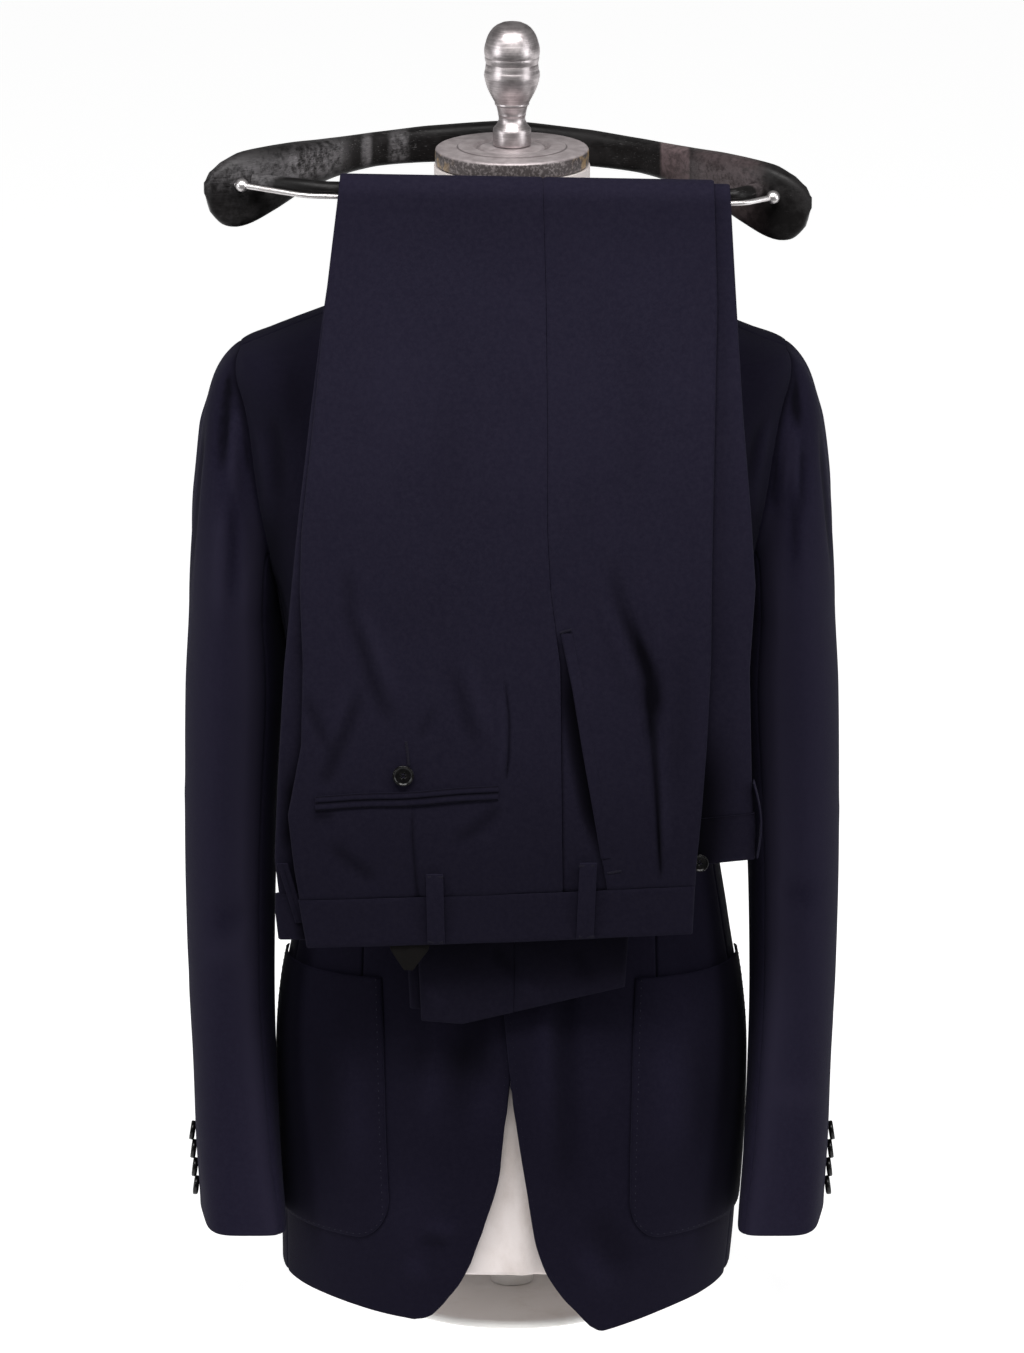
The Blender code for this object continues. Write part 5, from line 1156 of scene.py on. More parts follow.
legEdges = {
    "left": columns(
        "run back front seam backTuck frontTuck",
        (3187, -1505, 1327, 378, -500, 750), (3759, -1600, 1352, 373, -450, 720),
        (4168, -1645, 1390, 368, -380, 660), (4694, -1545, 1428, 362, -250, 560),
        (5295, -1530, 1455, 355, -50, 400), (5851, -1550, 1460, 283, 150, 156),
        (6283, -1536, 1465, 260, 150, 156), (6971, -1460, 1480, 260, 150, 156),
        (7902, -1360, 1500, 250, 140, 146), (8759, -1255, 1474, 226, 130, 136),
        (10000, -1120, 1330, 180, 100, 106), (12500, -920, 1040, 80, 50, 56),
        (14300, -780, 820, 20, 10, 16), (15200, -740, 770, 10, 5, 11)),
    "right": columns(
        "run back front seam backTuck frontTuck",
        (3187, -1520, 1780, 400, -500, 1100), (3545, -1715, 1785, 400, -480, 1080),
        (3823, -1745, 1790, 398, -450, 1040), (4414, -1720, 1760, 390, -330, 880),
        (5244, -1670, 1740, 380, -60, 420), (5878, -1610, 1780, 270, 150, 156),
        (6375, -1560, 1747, 255, 150, 156), (7126, -1470, 1686, 248, 150, 156),
        (7797, -1380, 1646, 238, 140, 146), (8759, -1230, 1590, 226, 130, 136),
        (10000, -1090, 1430, 180, 100, 106), (12500, -880, 1100, 80, 50, 56),
        (14300, -700, 860, 20, 10, 16), (15200, -660, 800, 10, 5, 11)),
}
waistSeam = {"left": columns("x z", (-1510, 3530), (1327, 3639)),
             "right": columns("x z", (-1520, 3560), (1327, 4127), (1790, 4172))}
legHem = {"left": columns("x z", (-780, 2640), (-400, 2610), (820, 2900)),
          "right": columns("x z", (-700, 2560), (-370, 2530), (820, 2815))}
waistband = {"height": {"left": 0.036, "right": 0.0345}, "wall": 0.0014, "step": 0.004,
             "edge": (0.0004, 0.0011)}
slantPocket = {
    "line": columns("z x", (3600, 705), (3696, 688), (4181, 608), (4648, 527), (5126, 450),
                    (5542, 362)),
    "top": 0.5545, "facing": -0.0014, "gape": (0.38, 0.425, 0.5, 0.545),
    "gapeDepth": -0.0022, "gapeWidth": 0.0085, "shade": 0.0115, "proud": 0.0022,
    "proudWidth": 0.01,
    "strip": 0.0075, "stripWall": 0.0012, "mouthEnds": (0.386, 0.554),
    "along": (0.168, 0.0035)}
pleatLine = columns("z x", (3600, 1096), (3828, 1086), (4116, 1071), (4441, 1048), (4749, 1020),
                    (5123, 990), (5555, 949), (5718, 891), (5903, 847), (7000, 850),
                    (9000, 850), (16000, 500))
pinchLine = columns("z x", (3500, -60), (4417, -44), (4604, -29), (4851, -22), (5052, -37),
                    (5275, -66), (6500, -90), (9000, -100), (16000, -100))
dartLine = columns("z x", (3400, -678), (3559, -683), (3696, -705), (3961, -726), (4233, -733),
                   (6000, -720), (9000, -650), (16000, -400))

trouserFolds = {
    "outer": [
        ((45, 60), -17, (0.35, 0.35), [(-1256, 5791), (-1168, 5606), (-1096, 5421),
          (-1002, 5123), (-900, 4885), (-827, 4713)]),
        ((50, 60), 12, (0.4, 0.4), [(-1140, 5800), (-1060, 5600), (-985, 5400), (-900, 5150),
          (-800, 4920)]),
        (55, -13, (0.4, 0.35), [(-475, 5386), (-395, 5126), (-315, 4851), (-198, 4567)]),
        (60, 9, (0.4, 0.4), [(-360, 5400), (-280, 5140), (-190, 4880), (-110, 4620)]),
        (34, -9, (0.3, 0.2), [(-570, 4991), (-615, 4886), (-673, 4737)]),
        (13, -10, (0.3, 0.1), [(-66, 5275), (-37, 5052), (-22, 4851), (-29, 4604), (-44, 4417)]),
        (26, 9, (0.4, 0.2), [(-100, 5200), (-76, 5052), (-62, 4851), (-68, 4604), (-84, 4450)]),
        (50, -15, (0.35, 0.1), [(-1082, 5197), (-1126, 5048), (-1215, 4785), (-1318, 4536),
          (-1392, 4377)]),
        (50, 8, (0.4, 0.3), [(-1180, 5200), (-1240, 4980), (-1330, 4760), (-1420, 4560)]),
        (50, -12, (0.3, 0.3), [(-1350, 3992), (-1248, 3872), (-1101, 3752), (-969, 3640)]),
        (50, -11, (0.2, 0.4), [(-73, 4267), (-235, 4093), (-484, 3941)]),
        (50, -11, (0.4, 0.4), [(-1218, 6085), (-1183, 5792), (-1169, 5495)]),
        (45, -14, (0.35, 0.35), [(-1528, 5120), (-1463, 4933), (-1362, 4709), (-1275, 4521)]),
        ((50, 75), -19, (0.35, 0.1), [(735, 6150), (780, 5785), (880, 5515), (985, 5246),
          (1010, 5044), (1005, 4900)]),
        ((50, 60), 15, (0.4, 0.3), [(660, 5900), (740, 5560), (840, 5260), (900, 5000)]),
        ((60, 50), 12, (0.4, 0.3), [(960, 6000), (1010, 5750), (1070, 5500), (1100, 5200)]),
        ((30, 16), -13, (0.0, 0.1), [(990, 5123), (1020, 4749), (1048, 4441), (1071, 4116),
          (1086, 3828), (1096, 3646)]),
        ((60, 40), 8, (0.2, 0.2), [(1060, 5100), (1085, 4749), (1105, 4300), (1130, 3800)]),
        ((100, 140), -10, (0.4, 0.4), [(1240, 5600), (1240, 4800), (1200, 4100)]),
        ((120, 180), -4, (0.5, 0.5), [(-380, 8000), (-450, 6800), (-560, 5600)]),
        ((120, 180), 4, (0.5, 0.5), [(-820, 8100), (-920, 7000), (-1020, 6000)]),
        ((120, 160), -4, (0.5, 0.5), [(920, 8000), (900, 7000), (860, 6200)]),
        ((100, 130), 4, (0.5, 0.5), [(580, 7900), (560, 6800), (560, 5800)]),
        ((16, 24), -7, (0.5, 0.0), [(-733, 4400), (-733, 4233), (-726, 3961), (-705, 3696),
          (-683, 3559)]),
    ],
    # painted shade along these lines; their heights are amounts of shade in ten-thousandths, not
    # lengths
    "shadeLines": [
        ((30, 75), 7500, (0.4, 0.25), [(790, 5800), (905, 5515), (1010, 5246), (1045, 5044),
          (1035, 4850), (1040, 4650)]),
        ((28, 14), 5000, (0.2, 0.3), [(1035, 4950), (1050, 4700), (1071, 4280), (1086, 3828),
          (1096, 3640)]),
        ((9, 9), 2000, (0.1, 0.0), [(-733, 4230), (-726, 3961), (-705, 3696), (-683, 3559)]),
        (40, 4000, (0.3, 0.3), [(-1440, 4250), (-1420, 4180), (-1280, 4190)]),
    ],
    "inner": [
        (30, -22, (0.3, 0.2), [(-1584, 4611), (-1629, 4254), (-1616, 4004), (-1595, 3807),
          (-1569, 3560)]),
        (35, 10, (0.3, 0.3), [(-1690, 4500), (-1685, 4100), (-1665, 3750)]),
        (45, 12, (0.4, 0.4), [(1600, 6900), (1640, 6300), (1620, 5600)]),
        (40, -10, (0.4, 0.4), [(1540, 5700), (1560, 5100), (1600, 4500)]),
    ],
    "rear": [
        (40, 11, (0.2, 0.3), [(44, 2869), (133, 2792), (244, 2684)]),
        (50, 11, (0.3, 0.3), [(-664, 2861), (-580, 2750), (-495, 2638)]),
        (50, -13, (0.3, 0.3), [(-162, 3138), (-52, 3022), (59, 2907)]),
        (60, -11, (0.3, 0.3), [(450, 3150), (520, 2980), (600, 2820)]),
    ],
}


def trouserPath():
    frontZ = np.linspace(frontDrop["z"][0], frontDrop["z"][-1], 300)
    frontY = lookUp(frontDrop, "z", "y", frontZ)
    turn = np.linspace(0, math.pi, 60)[1:-1]
    start, end, low = frontDrop["y"][-1], rearDrop["y"][0], foldBase
    foldY = (start + end) / 2 - (end - start) / 2 * np.cos(turn)
    foldZ = low + (hang["foldTop"] - low) * np.sin(turn)
    fall = np.linspace(0, rearDrop["z"][0] - rearDrop["z"][-1], 320)
    rear = {"fall": rearDrop["z"][0] - rearDrop["z"], "y": rearDrop["y"]}
    y = np.concatenate([frontY, foldY, lookUp(rear, "fall", "y", fall)])
    z = np.concatenate([frontZ, foldZ, rearDrop["z"][0] - fall])
    length = np.concatenate([[0], np.cumsum(np.hypot(np.diff(y), np.diff(z)))])
    return length, y, z


pathS, pathY, pathZ = trouserPath()
pathTop = float(pathS[np.argmax(pathZ)])
slopeY, slopeZ = np.gradient(pathY, pathS), np.gradient(pathZ, pathS)


def frontS(z):
    return np.interp(z, pathZ[pathS <= pathTop], pathS[pathS <= pathTop])


def rearS(z):
    rear = pathS >= pathTop
    return np.interp(-np.asarray(z), -pathZ[rear], pathS[rear])


def runOf(s):
    # height in the front drop, going on past the top of the fold behind
    z = np.interp(s, pathS, pathZ)
    return np.where(s <= pathTop, z, 2 * hang["foldTop"] - z)


def legEdge(side, name, s):
    return np.interp(runOf(s), legEdges[side]["run"], legEdges[side][name])


def halfSpread(side, s):
    depth, low, high = hang["spread"]
    return 0.0 * s if side == "left" else depth * (1 - smoothStep(runOf(s), low, high))


def stackDepth(face, s):
    free, pressed = hang[face]
    away = np.abs(runOf(s) - hang["foldTop"])
    return free - pressed * (1 - smoothStep(away, *hang["press"]))


def trouserPoint(x, s, depth):
    x, s, depth = np.broadcast_arrays(x, s, depth)
    y, z = np.interp(s, pathS, pathY), np.interp(s, pathS, pathZ)
    dy, dz = np.interp(s, pathS, slopeY), np.interp(s, pathS, slopeZ)
    length = np.hypot(dy, dz)
    swell, low, high, half = hang["bulge"]
    bulge = swell * np.cos(np.clip(x / half, -1, 1) * math.pi / 2) ** 2
    out = depth + bulge * (1 - smoothStep(runOf(s), low, high))
    roll = hang["roll"] * x * smoothStep(-np.abs(runOf(s) - hang["foldTop"]), -0.2, -0.04)
    return np.stack([x, y - out * dz / length, z + out * dy / length - roll], axis=-1)


# round a pressed edge, from a leg's outside to its inside
edgeTurns = np.radians(np.linspace(90, -90, hang["edgeColumns"] + 2)[1:-1])


def halfColumns(side, edge, s, shares, innerStep, wall, spare=0.0, rise=0.0):
    # outer and inner points of half a leg: over its outside, round the pressed edge, and back
    toward = 1 if edge == "front" else -1
    limit, seam = legEdge(side, edge, s), legEdge(side, "seam", s) + toward * seamGap / 2
    tuck = legEdge(side, f"{edge}Tuck", s)
    outside, inside = stackDepth("outside", s) + spare, stackDepth("inside", s) - spare
    middle, half = (outside + inside) / 2, (outside - inside) / 2
    shoulder = limit - toward * hang["crease"]
    lining = shoulder - toward * 0.5 * wall
    first = shares.shape[1]
    second = first + len(edgeTurns)
    x, depth, innerX, innerDepth = (np.empty(s.shape) for _ in range(4))
    a = slice(0, first)
    x[:, a] = seam[:, a] + (shoulder - seam)[:, a] * shares
    innerX[:, a] = seam[:, a] + (lining - seam)[:, a] * shares
    depth[:, a], innerDepth[:, a] = outside[:, a], outside[:, a] - wall
    b = slice(first, second)
    x[:, b] = shoulder[:, b] + toward * hang["crease"] * np.cos(edgeTurns)
    innerX[:, b] = lining[:, b] + toward * (hang["crease"] - 1.1 * wall) * np.cos(edgeTurns)
    depth[:, b] = middle[:, b] + half[:, b] * np.sin(edgeTurns)
    innerDepth[:, b] = middle[:, b] + (half[:, b] - wall) * np.sin(edgeTurns)
    c = slice(second, None)
    x[:, c] = shoulder[:, c] + (tuck - shoulder)[:, c] * innerStep
    innerX[:, c] = lining[:, c] + (tuck - lining)[:, c] * innerStep
    depth[:, c], innerDepth[:, c] = inside[:, c], inside[:, c] + wall
    away = halfSpread(side, s)
    return [(x, signs[side] * (depth + rise) - away),
            (innerX, signs[side] * (innerDepth + rise) - away)]


def legShares(side, edge, s):
    # columns kept on the lines that run down each half
    toward = 1 if edge == "front" else -1
    if side == "right":
        span = 0.12 if edge == "front" else 0.17
        return np.tile(ladder(span, hang["rightStep"]), (len(s), 1))
    seam, shoulder = legEdge(side, "seam", s), legEdge(side, edge, s) - toward * hang["crease"]
    run = runOf(s)
    lines = [slantPocket["line"], pleatLine] if edge == "front" else [pinchLine, dartLine]
    stops = [(np.interp(run, line["z"], line["x"]) - seam) / (shoulder - seam)
             for line in lines]
    if edge == "front":
        stops[0] = np.maximum(stops[0], 0.06 + 0.14 * smoothStep(run, slantPocket["top"], 0.7))
    spans = (0.04, 0.052, 0.045) if edge == "front" else (0.044, 0.068, 0.088)
    return splitShares(stops, [ladder(span, hang["step"]) for span in spans])


def legRise(side, edge, x, s, outerColumns, points):
    # folds on the outside of the front drop and of the hem behind, and on what shows inside
    height = points[..., 2]
    inFront = s <= pathTop
    if side == "left":
        fade = inFront * smoothStep(np.abs(runOf(s) - hang["foldTop"]), 0.02, 0.1)
        fold = hang["folds"] * foldHeight(x, height, trouserFolds["outer"]) * fade
        wave = np.sin(x * 61 + height * 23 + 1.3) * np.sin(height * 37 - x * 17 + 0.4)
        rise = np.clip(fold, *hang["foldLimits"]) + hang["wave"] * fade * wave
    else:
        fold = ~inFront * foldHeight(x, height, trouserFolds["rear"])
        rise = np.clip(fold, -0.002, 0.003)
    # painted shade: in the folds, darker towards the bottom of the front drop, on the hanging
    # ends, along the shade lines, at the pocket's mouth and on the right half beside the left one
    hollow = foldShade(fold) + hang["dusk"] * (1 - smoothStep(runOf(s), *hang["duskEnds"]))
    ends, lowest = hang["endShade"]
    hollow += smoothStep(runOf(s), *hang["endRuns"]) * (
        ends + lowest * smoothStep(height, 0.275, 0.31))
    if side == "left":
        hollow += inFront * foldHeight(x, height, trouserFolds["shadeLines"])
        if edge == "front":
            rise, hollow = slantOpening(x, s, rise, hollow)
    rise = rise + edgeRoll(points, (hang["seam"], 0, hang["waist"], hang["hem"]))
    tuck = outerColumns + hang["edgeColumns"]
    rise[:, outerColumns:tuck] = (rise[:, outerColumns - 1:outerColumns]
                                  * np.maximum(np.sin(edgeTurns), 0))
    rise[:, tuck:] = 0
    if side == "right":
        seen = foldHeight(x[:, tuck:], height[:, tuck:], trouserFolds["inner"])
        rise[:, tuck:] = -np.clip(seen, -0.0022, 0.0012) * inFront[:, tuck:]
        hollow[:, tuck:] += behindEdge(x[:, tuck:], runOf(s[:, tuck:]))
    return rise, np.clip(hollow, -0.3, 0.95)


# how dark the right half is beside the left one, which stands over it: for how far, how dark
# above, and how much more below
behindShade = {"front": (0.018, 0.15, 0.7), "back": (0.003, 0.35, 0.5), "low": (0.43, 0.5)}


def behindEdge(x, z):
    low = 1 - smoothStep(z, *behindShade["low"])
    total = 0
    for edge, outward in (("front", 1), ("back", -1)):
        reach, above, below = behindShade[edge]
        away = outward * (x - np.interp(z, legEdges["left"]["run"], legEdges["left"][edge]))
        total = total + (np.exp(-(np.maximum(away, 0) / reach) ** 2) * (outward * x > 0)
                         * (above + below * low))
    return total


def slantOpening(x, s, rise, hollow):
    # the pocket's facing lies back from the mouth, which stands open over a part of its length
    run = runOf(s)
    mouth = np.interp(run, slantPocket["line"]["z"], slantPocket["line"]["x"])
    low, lowFull, highFull, high = slantPocket["gape"]
    gape = smoothStep(run, low, lowFull) * (1 - smoothStep(run, highFull, high))
    there = (1 - smoothStep(run, slantPocket["top"] - 0.012, slantPocket["top"])) * (s <= pathTop)
    behind = mouth - x
    facing = (behind > 0.0002) & (x > 0.02)     # none past the side seam
    near = np.exp(-(behind / slantPocket["gapeWidth"]) ** 2)
    rise = rise + there * facing * (slantPocket["facing"] + gape * near
                                    * (slantPocket["gapeDepth"] - slantPocket["facing"]))
    front = there * (~facing) * np.exp(-((x - mouth) / slantPocket["proudWidth"]) ** 2)
    rise = rise + slantPocket["proud"] * gape * front
    # painted shade on the facing behind the mouth, widest where it stands open
    reach = slantPocket["shade"] * (0.45 + 0.55 * gape)
    shade = np.exp(-(np.abs(behind) / reach) ** 4)
    hollow = np.maximum(hollow, there * facing * (0.45 + 0.5 * gape) * shade)
    return rise, hollow


def legRows():
    # the nominal arc length of every row, with the share of those that run to a slanted end
    top, waistZ = hang["low"], hang["waistZ"]
    waist = ladder(hang["waistRows"], hang["step"], end=False)
    height = np.arange(top, foldBase, hang["step"])[1:]
    fold = np.linspace(frontS(foldBase), rearS(foldBase), 17)
    behind = np.linspace(foldBase, hang["rearLow"], int(0.514 / hang["rearStep"]))[1:]
    hem = ladder(hang["hemRows"], 0.0042, start=False)[1:]
    s = np.concatenate([frontS(waistZ + (top - waistZ) * waist), frontS(height), fold,
                        rearS(behind), rearS(hang["rearLow"] - hang["hemDrop"] * hem)])
    low = np.concatenate([1 - waist, np.zeros(len(s) - len(waist))])
    high = np.concatenate([np.zeros(len(s) - len(hem)), hem])
    return s, low, high


def slantEnds(side, x, s, low, high):
    seam = np.interp(x, waistSeam[side]["x"], waistSeam[side]["z"]) + seamGap / 2
    hem = np.interp(x, legHem[side]["x"], legHem[side]["z"])
    s = np.where(low[:, None] > 0, frontS(hang["low"]) + low[:, None]
                 * (frontS(seam) - frontS(hang["low"])), s)
    return np.where(high[:, None] > 0, rearS(hang["rearLow"]) + high[:, None]
                    * (rearS(hem) - rearS(hang["rearLow"])), s)


def makeLegHalf(side, edge):
    row, low, high = legRows()
    shares = legShares(side, edge, row)
    innerStep = ladder(hang["tuckColumns"], 0.0075, start=False)[1:]
    outerColumns = shares.shape[1]
    nominal = np.tile(row[:, None], (1, outerColumns + hang["edgeColumns"] + len(innerStep)))
    s = nominal
    for _ in range(3):      # the slant of an end moves the columns a little
        grids = halfColumns(side, edge, s, shares, innerStep, hang["wall"])
        s = slantEnds(side, grids[0][0], nominal, low, high)
    x, depth = grids[0]
    rise, hollow = legRise(side, edge, x, s, outerColumns, trouserPoint(x, s, depth))
    grids = halfColumns(side, edge, s, shares, innerStep, hang["wall"], rise=rise)
    outer, inner = (trouserPoint(x, s, depth) for x, depth in grids)
    mesh = shellMesh(outer, inner, clothUv(outer, outerColumns), (0, 0, 0, hang["rim"]))
    addPaintedShade(addPiece(f"trouser{edge.title()}{side.title()}", mesh, trouserWool), hollow)


def makeWaistband(side):
    height = waistband["height"][side]
    rows = -height + (height - seamGap / 2) * ladder(height, waistband["step"])
    seam = waistSeam[side]
    nominal = frontS(float(np.mean(seam["z"])) + rows)
    layers = []
    for edge in ("back", "front"):
        span = 0.19 if edge == "back" else 0.1
        shares = np.tile(ladder(span, waistband["step"], start=False), (len(rows), 1))
        innerStep = ladder(0.08, 0.006, start=False)[1:]
        count = shares.shape[1] + hang["edgeColumns"] + len(innerStep)
        s = np.tile(nominal[:, None], (1, count))
        layers.append(halfColumns(side, edge, s, shares, innerStep, waistband["wall"], seamGap))
    grids = []
    for face in (0, 1):
        (backX, backDepth), (frontX, frontDepth) = layers[0][face], layers[1][face]
        x = np.concatenate([backX[:, ::-1][:, :-1], frontX[:, 1:]], axis=1)
        depth = np.concatenate([backDepth[:, ::-1][:, :-1], frontDepth[:, 1:]], axis=1)
        z = np.interp(x, seam["x"], seam["z"]) + rows[:, None]
        grids.append((x, frontS(z), depth))
    points = trouserPoint(*grids[0])
    roll = edgeRoll(points, (0, 0, waistband["edge"], waistband["edge"]))
    wave = 0.0003 * np.sin(points[..., 0] * 90 + 0.7) * np.sin(points[..., 0] * 37 + 2.0)
    facing = np.abs(grids[0][2]) > 0.0042
    x, s, depth = grids[0]
    outer = trouserPoint(x, s, depth + signs[side] * (roll + wave * facing))
    inner = trouserPoint(*grids[1])
    mesh = shellMesh(outer, inner, clothUv(outer), (0.4, 0.4, 0.4, 0))
    # painted shade: as dark as the front drop's dusk, and on the right beside the left half
    hollow = np.full(x.shape, hang["dusk"])
    if side == "right":
        hollow = hollow + behindEdge(x, runOf(s))
    addPaintedShade(addPiece(f"waistband{side.title()}", mesh, trouserWool), np.clip(hollow, 0, 0.95))


def outsidePoint(x, z, out):
    # a place on the left leg's outside, with its folds
    s = frontS(z)
    base = hang["outside"][0]
    flat = trouserPoint(x, s, base)
    fold = hang["folds"] * foldHeight(x, flat[..., 2], trouserFolds["outer"])
    return trouserPoint(x, s, base + np.clip(fold, *hang["foldLimits"]) + out)


for side in signs:
    for edge in ("front", "back"):
        makeLegHalf(side, edge)
    makeWaistband(side)
print("trouser legs and waistband made")


# what is sewn on the trousers

backPocket = {"inner": (-0.0102, 0.4356), "outer": (-0.144, 0.4266), "lip": 0.0052,
              "wall": 0.0013, "gap": 0.0004, "sag": 0.0007, "along": (0.135, 0.0035)}
beltLoops = {
    "side": {"x": 0.0548, "top": 0.3825, "bottom": 0.3255, "lean": 0.0012},
    "back": {"x": -0.0563, "top": 0.374, "bottom": 0.3215, "lean": -0.0006},
}
beltLoop = {"width": 0.012, "wall": 0.0012, "bow": 0.0022}
centreLoop = {"z": (0.3345, 0.379), "x": (-0.159, -0.1722), "width": 0.0072, "wall": 0.001,
              "bow": 0.0008}
edgeLoop = {"low": 0.384, "high": 0.44, "bow": 0.004}
curtain = {"leftX": -0.0925, "rightX": -0.058, "tipX": -0.0765, "tipZ": 0.2965,
           "wall": 0.0006}


def makeStrip(name, outer, inner, bulge=(0.4,) * 4, hollow=None, material=trouserWool):
    piece = addPiece(name, shellMesh(outer, inner, clothUv(outer), bulge), material)
    if hollow is not None:
        addPaintedShade(piece, np.broadcast_to(hollow, outer.shape[:-1]))


def makeBackPocket():
    pocket = backPocket
    share = ladder(*pocket["along"])
    x = pocket["outer"][0] + (pocket["inner"][0] - pocket["outer"][0]) * share
    mouth = pocket["outer"][1] + (pocket["inner"][1] - pocket["outer"][1]) * share
    mouth = mouth + pocket["sag"] * np.sin(np.pi * share) * np.sin(share * 9.0)
    for name, low, high in (("Lower", pocket["gap"], pocket["lip"]),
                            ("Upper", -pocket["lip"], 0.0)):
        across = np.linspace(0, 1, 9)[:, None]
        z = mouth + low + (high - low) * across
        crown = 0.45 + 0.55 * np.sin(np.pi * np.clip(across, 0.02, 0.98)) ** 0.6
        ends = 1 - 0.4 * np.exp(-(np.minimum(share, 1 - share) / 0.012) ** 2)
        out = 2 * seamGap + pocket["wall"] * crown * ends
        grid = np.broadcast_to(x, z.shape)
        # painted shade along both edges of each lip
        edges = np.maximum(1 - across / 0.3, across / 0.3 - 2.4).clip(0, 1)
        makeStrip(f"backPocket{name}Lip", outsidePoint(grid, z, out),
                  outsidePoint(grid, z, 2 * seamGap - 0.0005), (0.3,) * 4, 0.15 + 0.75 * edges)


def makeSlantPocket():
    line, pocket = slantPocket["line"], slantPocket
    low, high = pocket["mouthEnds"]
    z = (low + (high - low) * ladder(*pocket["along"]))[:, None]
    across = ladder(pocket["strip"], 0.0009, start=False)
    x = np.interp(z, line["z"], line["x"]) + pocket["strip"] * across
    z = z + 0 * x
    low, lowFull, highFull, high = pocket["gape"]
    gape = smoothStep(z, low, lowFull) * (1 - smoothStep(z, highFull, high))
    away = pocket["strip"] * across / pocket["proudWidth"]
    proud = pocket["proud"] * gape * np.exp(-away ** 2)
    shape = np.clip(1 - across, 0, 1) ** 0.8
    lip = 0.75 + 0.25 * np.sin(np.pi * np.clip(across * 3.2, 0, 0.5))
    outer = outsidePoint(x, z, proud + 0.0002 + pocket["stripWall"] * shape * lip)
    inner = outsidePoint(x, z, proud - 0.0004 - 0.0003 * shape)
    # painted shade, darker towards the bottom as on the leg below it
    makeStrip("slantPocketMouth", outer, inner, (0.45, 0, 0.2, 0.2),
              hang["dusk"] * (1 - smoothStep(z, *hang["duskEnds"])))


def makeBeltLoops():
    loop = beltLoop
    for name, place in beltLoops.items():
        up = ladder(place["top"] - place["bottom"], 0.003)[:, None]
        across = ladder(loop["width"], 0.0018) - 0.5
        z = place["bottom"] + (place["top"] - place["bottom"]) * up + 0 * across
        x = place["x"] + place["lean"] * (2 * up - 1) + loop["width"] * across
        bow = loop["bow"] * np.sin(np.pi * up) ** 0.7
        ridge = 0.0003 * np.cos(np.pi * across * 2 * 0.9) + 0 * up
        base = hang["outside"][0] + 3 * seamGap + bow
        s = frontS(z)
        # painted shade over the whole loop
        makeStrip(f"beltLoop{name.title()}", trouserPoint(x, s, base + loop["wall"] + ridge),
                  trouserPoint(x, s, base), hollow=0.22)


def makeEdgeLoops():
    share = ladder(0.056, 0.003)
    s = frontS(edgeLoop["low"] + (edgeLoop["high"] - edgeLoop["low"]) * share)
    limit = legEdge("right", "front", s)
    bow = 0.0008 + edgeLoop["bow"] * np.sin(np.pi * share)
    middle = -(stackDepth("outside", s) + stackDepth("inside", s)) / 2
    across = (ladder(beltLoop["width"], 0.002) - 0.5) * beltLoop["width"]
    depth = (middle - halfSpread("right", s))[:, None] + across
    outer = trouserPoint((limit + bow + beltLoop["wall"])[:, None], s[:, None], depth)
    inner = trouserPoint((limit + bow)[:, None], s[:, None], depth)
    makeStrip("beltLoopFront", outer, inner)
    loop = centreLoop
    up, across = ladder(0.046, 0.003)[:, None], ladder(loop["width"], 0.0014)
    z = loop["z"][0] + (loop["z"][1] - loop["z"][0]) * up + 0 * across
    x = loop["x"][0] + (loop["x"][1] - loop["x"][0]) * up + loop["width"] * across
    s = frontS(z)
    base = (4 * seamGap - stackDepth("inside", s) - halfSpread("right", s)
            + loop["bow"] * np.sin(np.pi * up))
    # painted shade over the whole loop
    makeStrip("beltLoopCentre", trouserPoint(x, s, base + loop["wall"]),
              trouserPoint(x, s, base), hollow=0.35)


def makeCurtain():
    down = ladder(0.04, 0.0025)[:, None]
    across = ladder(0.03, 0.0025)
    left, right = (np.interp(down, [0, 0.45, 1], [curtain[f"{side}X"],
                                                  curtain[f"{side}X"] + sign * 0.0035,
                                                  curtain["tipX"] - sign * 0.0006])
                   for side, sign in (("left", 1), ("right", -1)))
    x = left + (right - left) * across
    seam = waistSeam["left"]
    top = np.interp(x, seam["x"], seam["z"]) - waistband["height"]["left"] + 0.011
    z = top + (curtain["tipZ"] - top) * down
    wave = 0.0005 * np.sin(x * 420) * down
    wall = curtain["wall"]
    depth = hang["outside"][0] - waistband["wall"] - 2 * seamGap - wall + wave
    s = frontS(z)
    makeStrip("waistbandCurtain", trouserPoint(x, s, depth + wall), trouserPoint(x, s, depth),
              (0.3,) * 4, material=curtainCotton)


makeBackPocket()
makeSlantPocket()
makeBeltLoops()
makeEdgeLoops()
makeCurtain()
print("pockets and loops made")


# buttons: a dished disc with a raised rim and four holes, sewn on

buttonShape = {
    "radius": 0.0078, "thickness": 0.0028, "hole": 0.00078, "spacing": 0.00155, "strand": 0.00022,
    "dish": 0.595,
    "profile": [(0.8, 0.00), (0.88, 0.04), (0.955, 0.18), (0.992, 0.38), (1.0, 0.56),
                (0.992, 0.76), (0.968, 0.92), (0.93, 0.995), (0.885, 1.0), (0.84, 0.93),
                (0.795, 0.8), (0.75, 0.7), (0.69, 0.64), (0.6, 0.62), (0.4, 0.6),
                (0.2, 0.595)]}
cuffButtons = {"count": 4, "topZ": 0.134, "pitch": 0.014, "angle": -15.0, "radius": 0.0073,
               "thickness": 0.0038, "tilt": 11.0, "sink": 0.0011}
frontButtons = {"heights": (0.4, 0.292), "radius": 0.01, "thickness": 0.0028}
pocketButton = {"x": -0.0797, "z": 0.4485, "radius": 0.0078, "thickness": 0.0028}
waistButton = {"x": 0.138, "z": 0.38, "radius": 0.0066, "thickness": 0.0024}


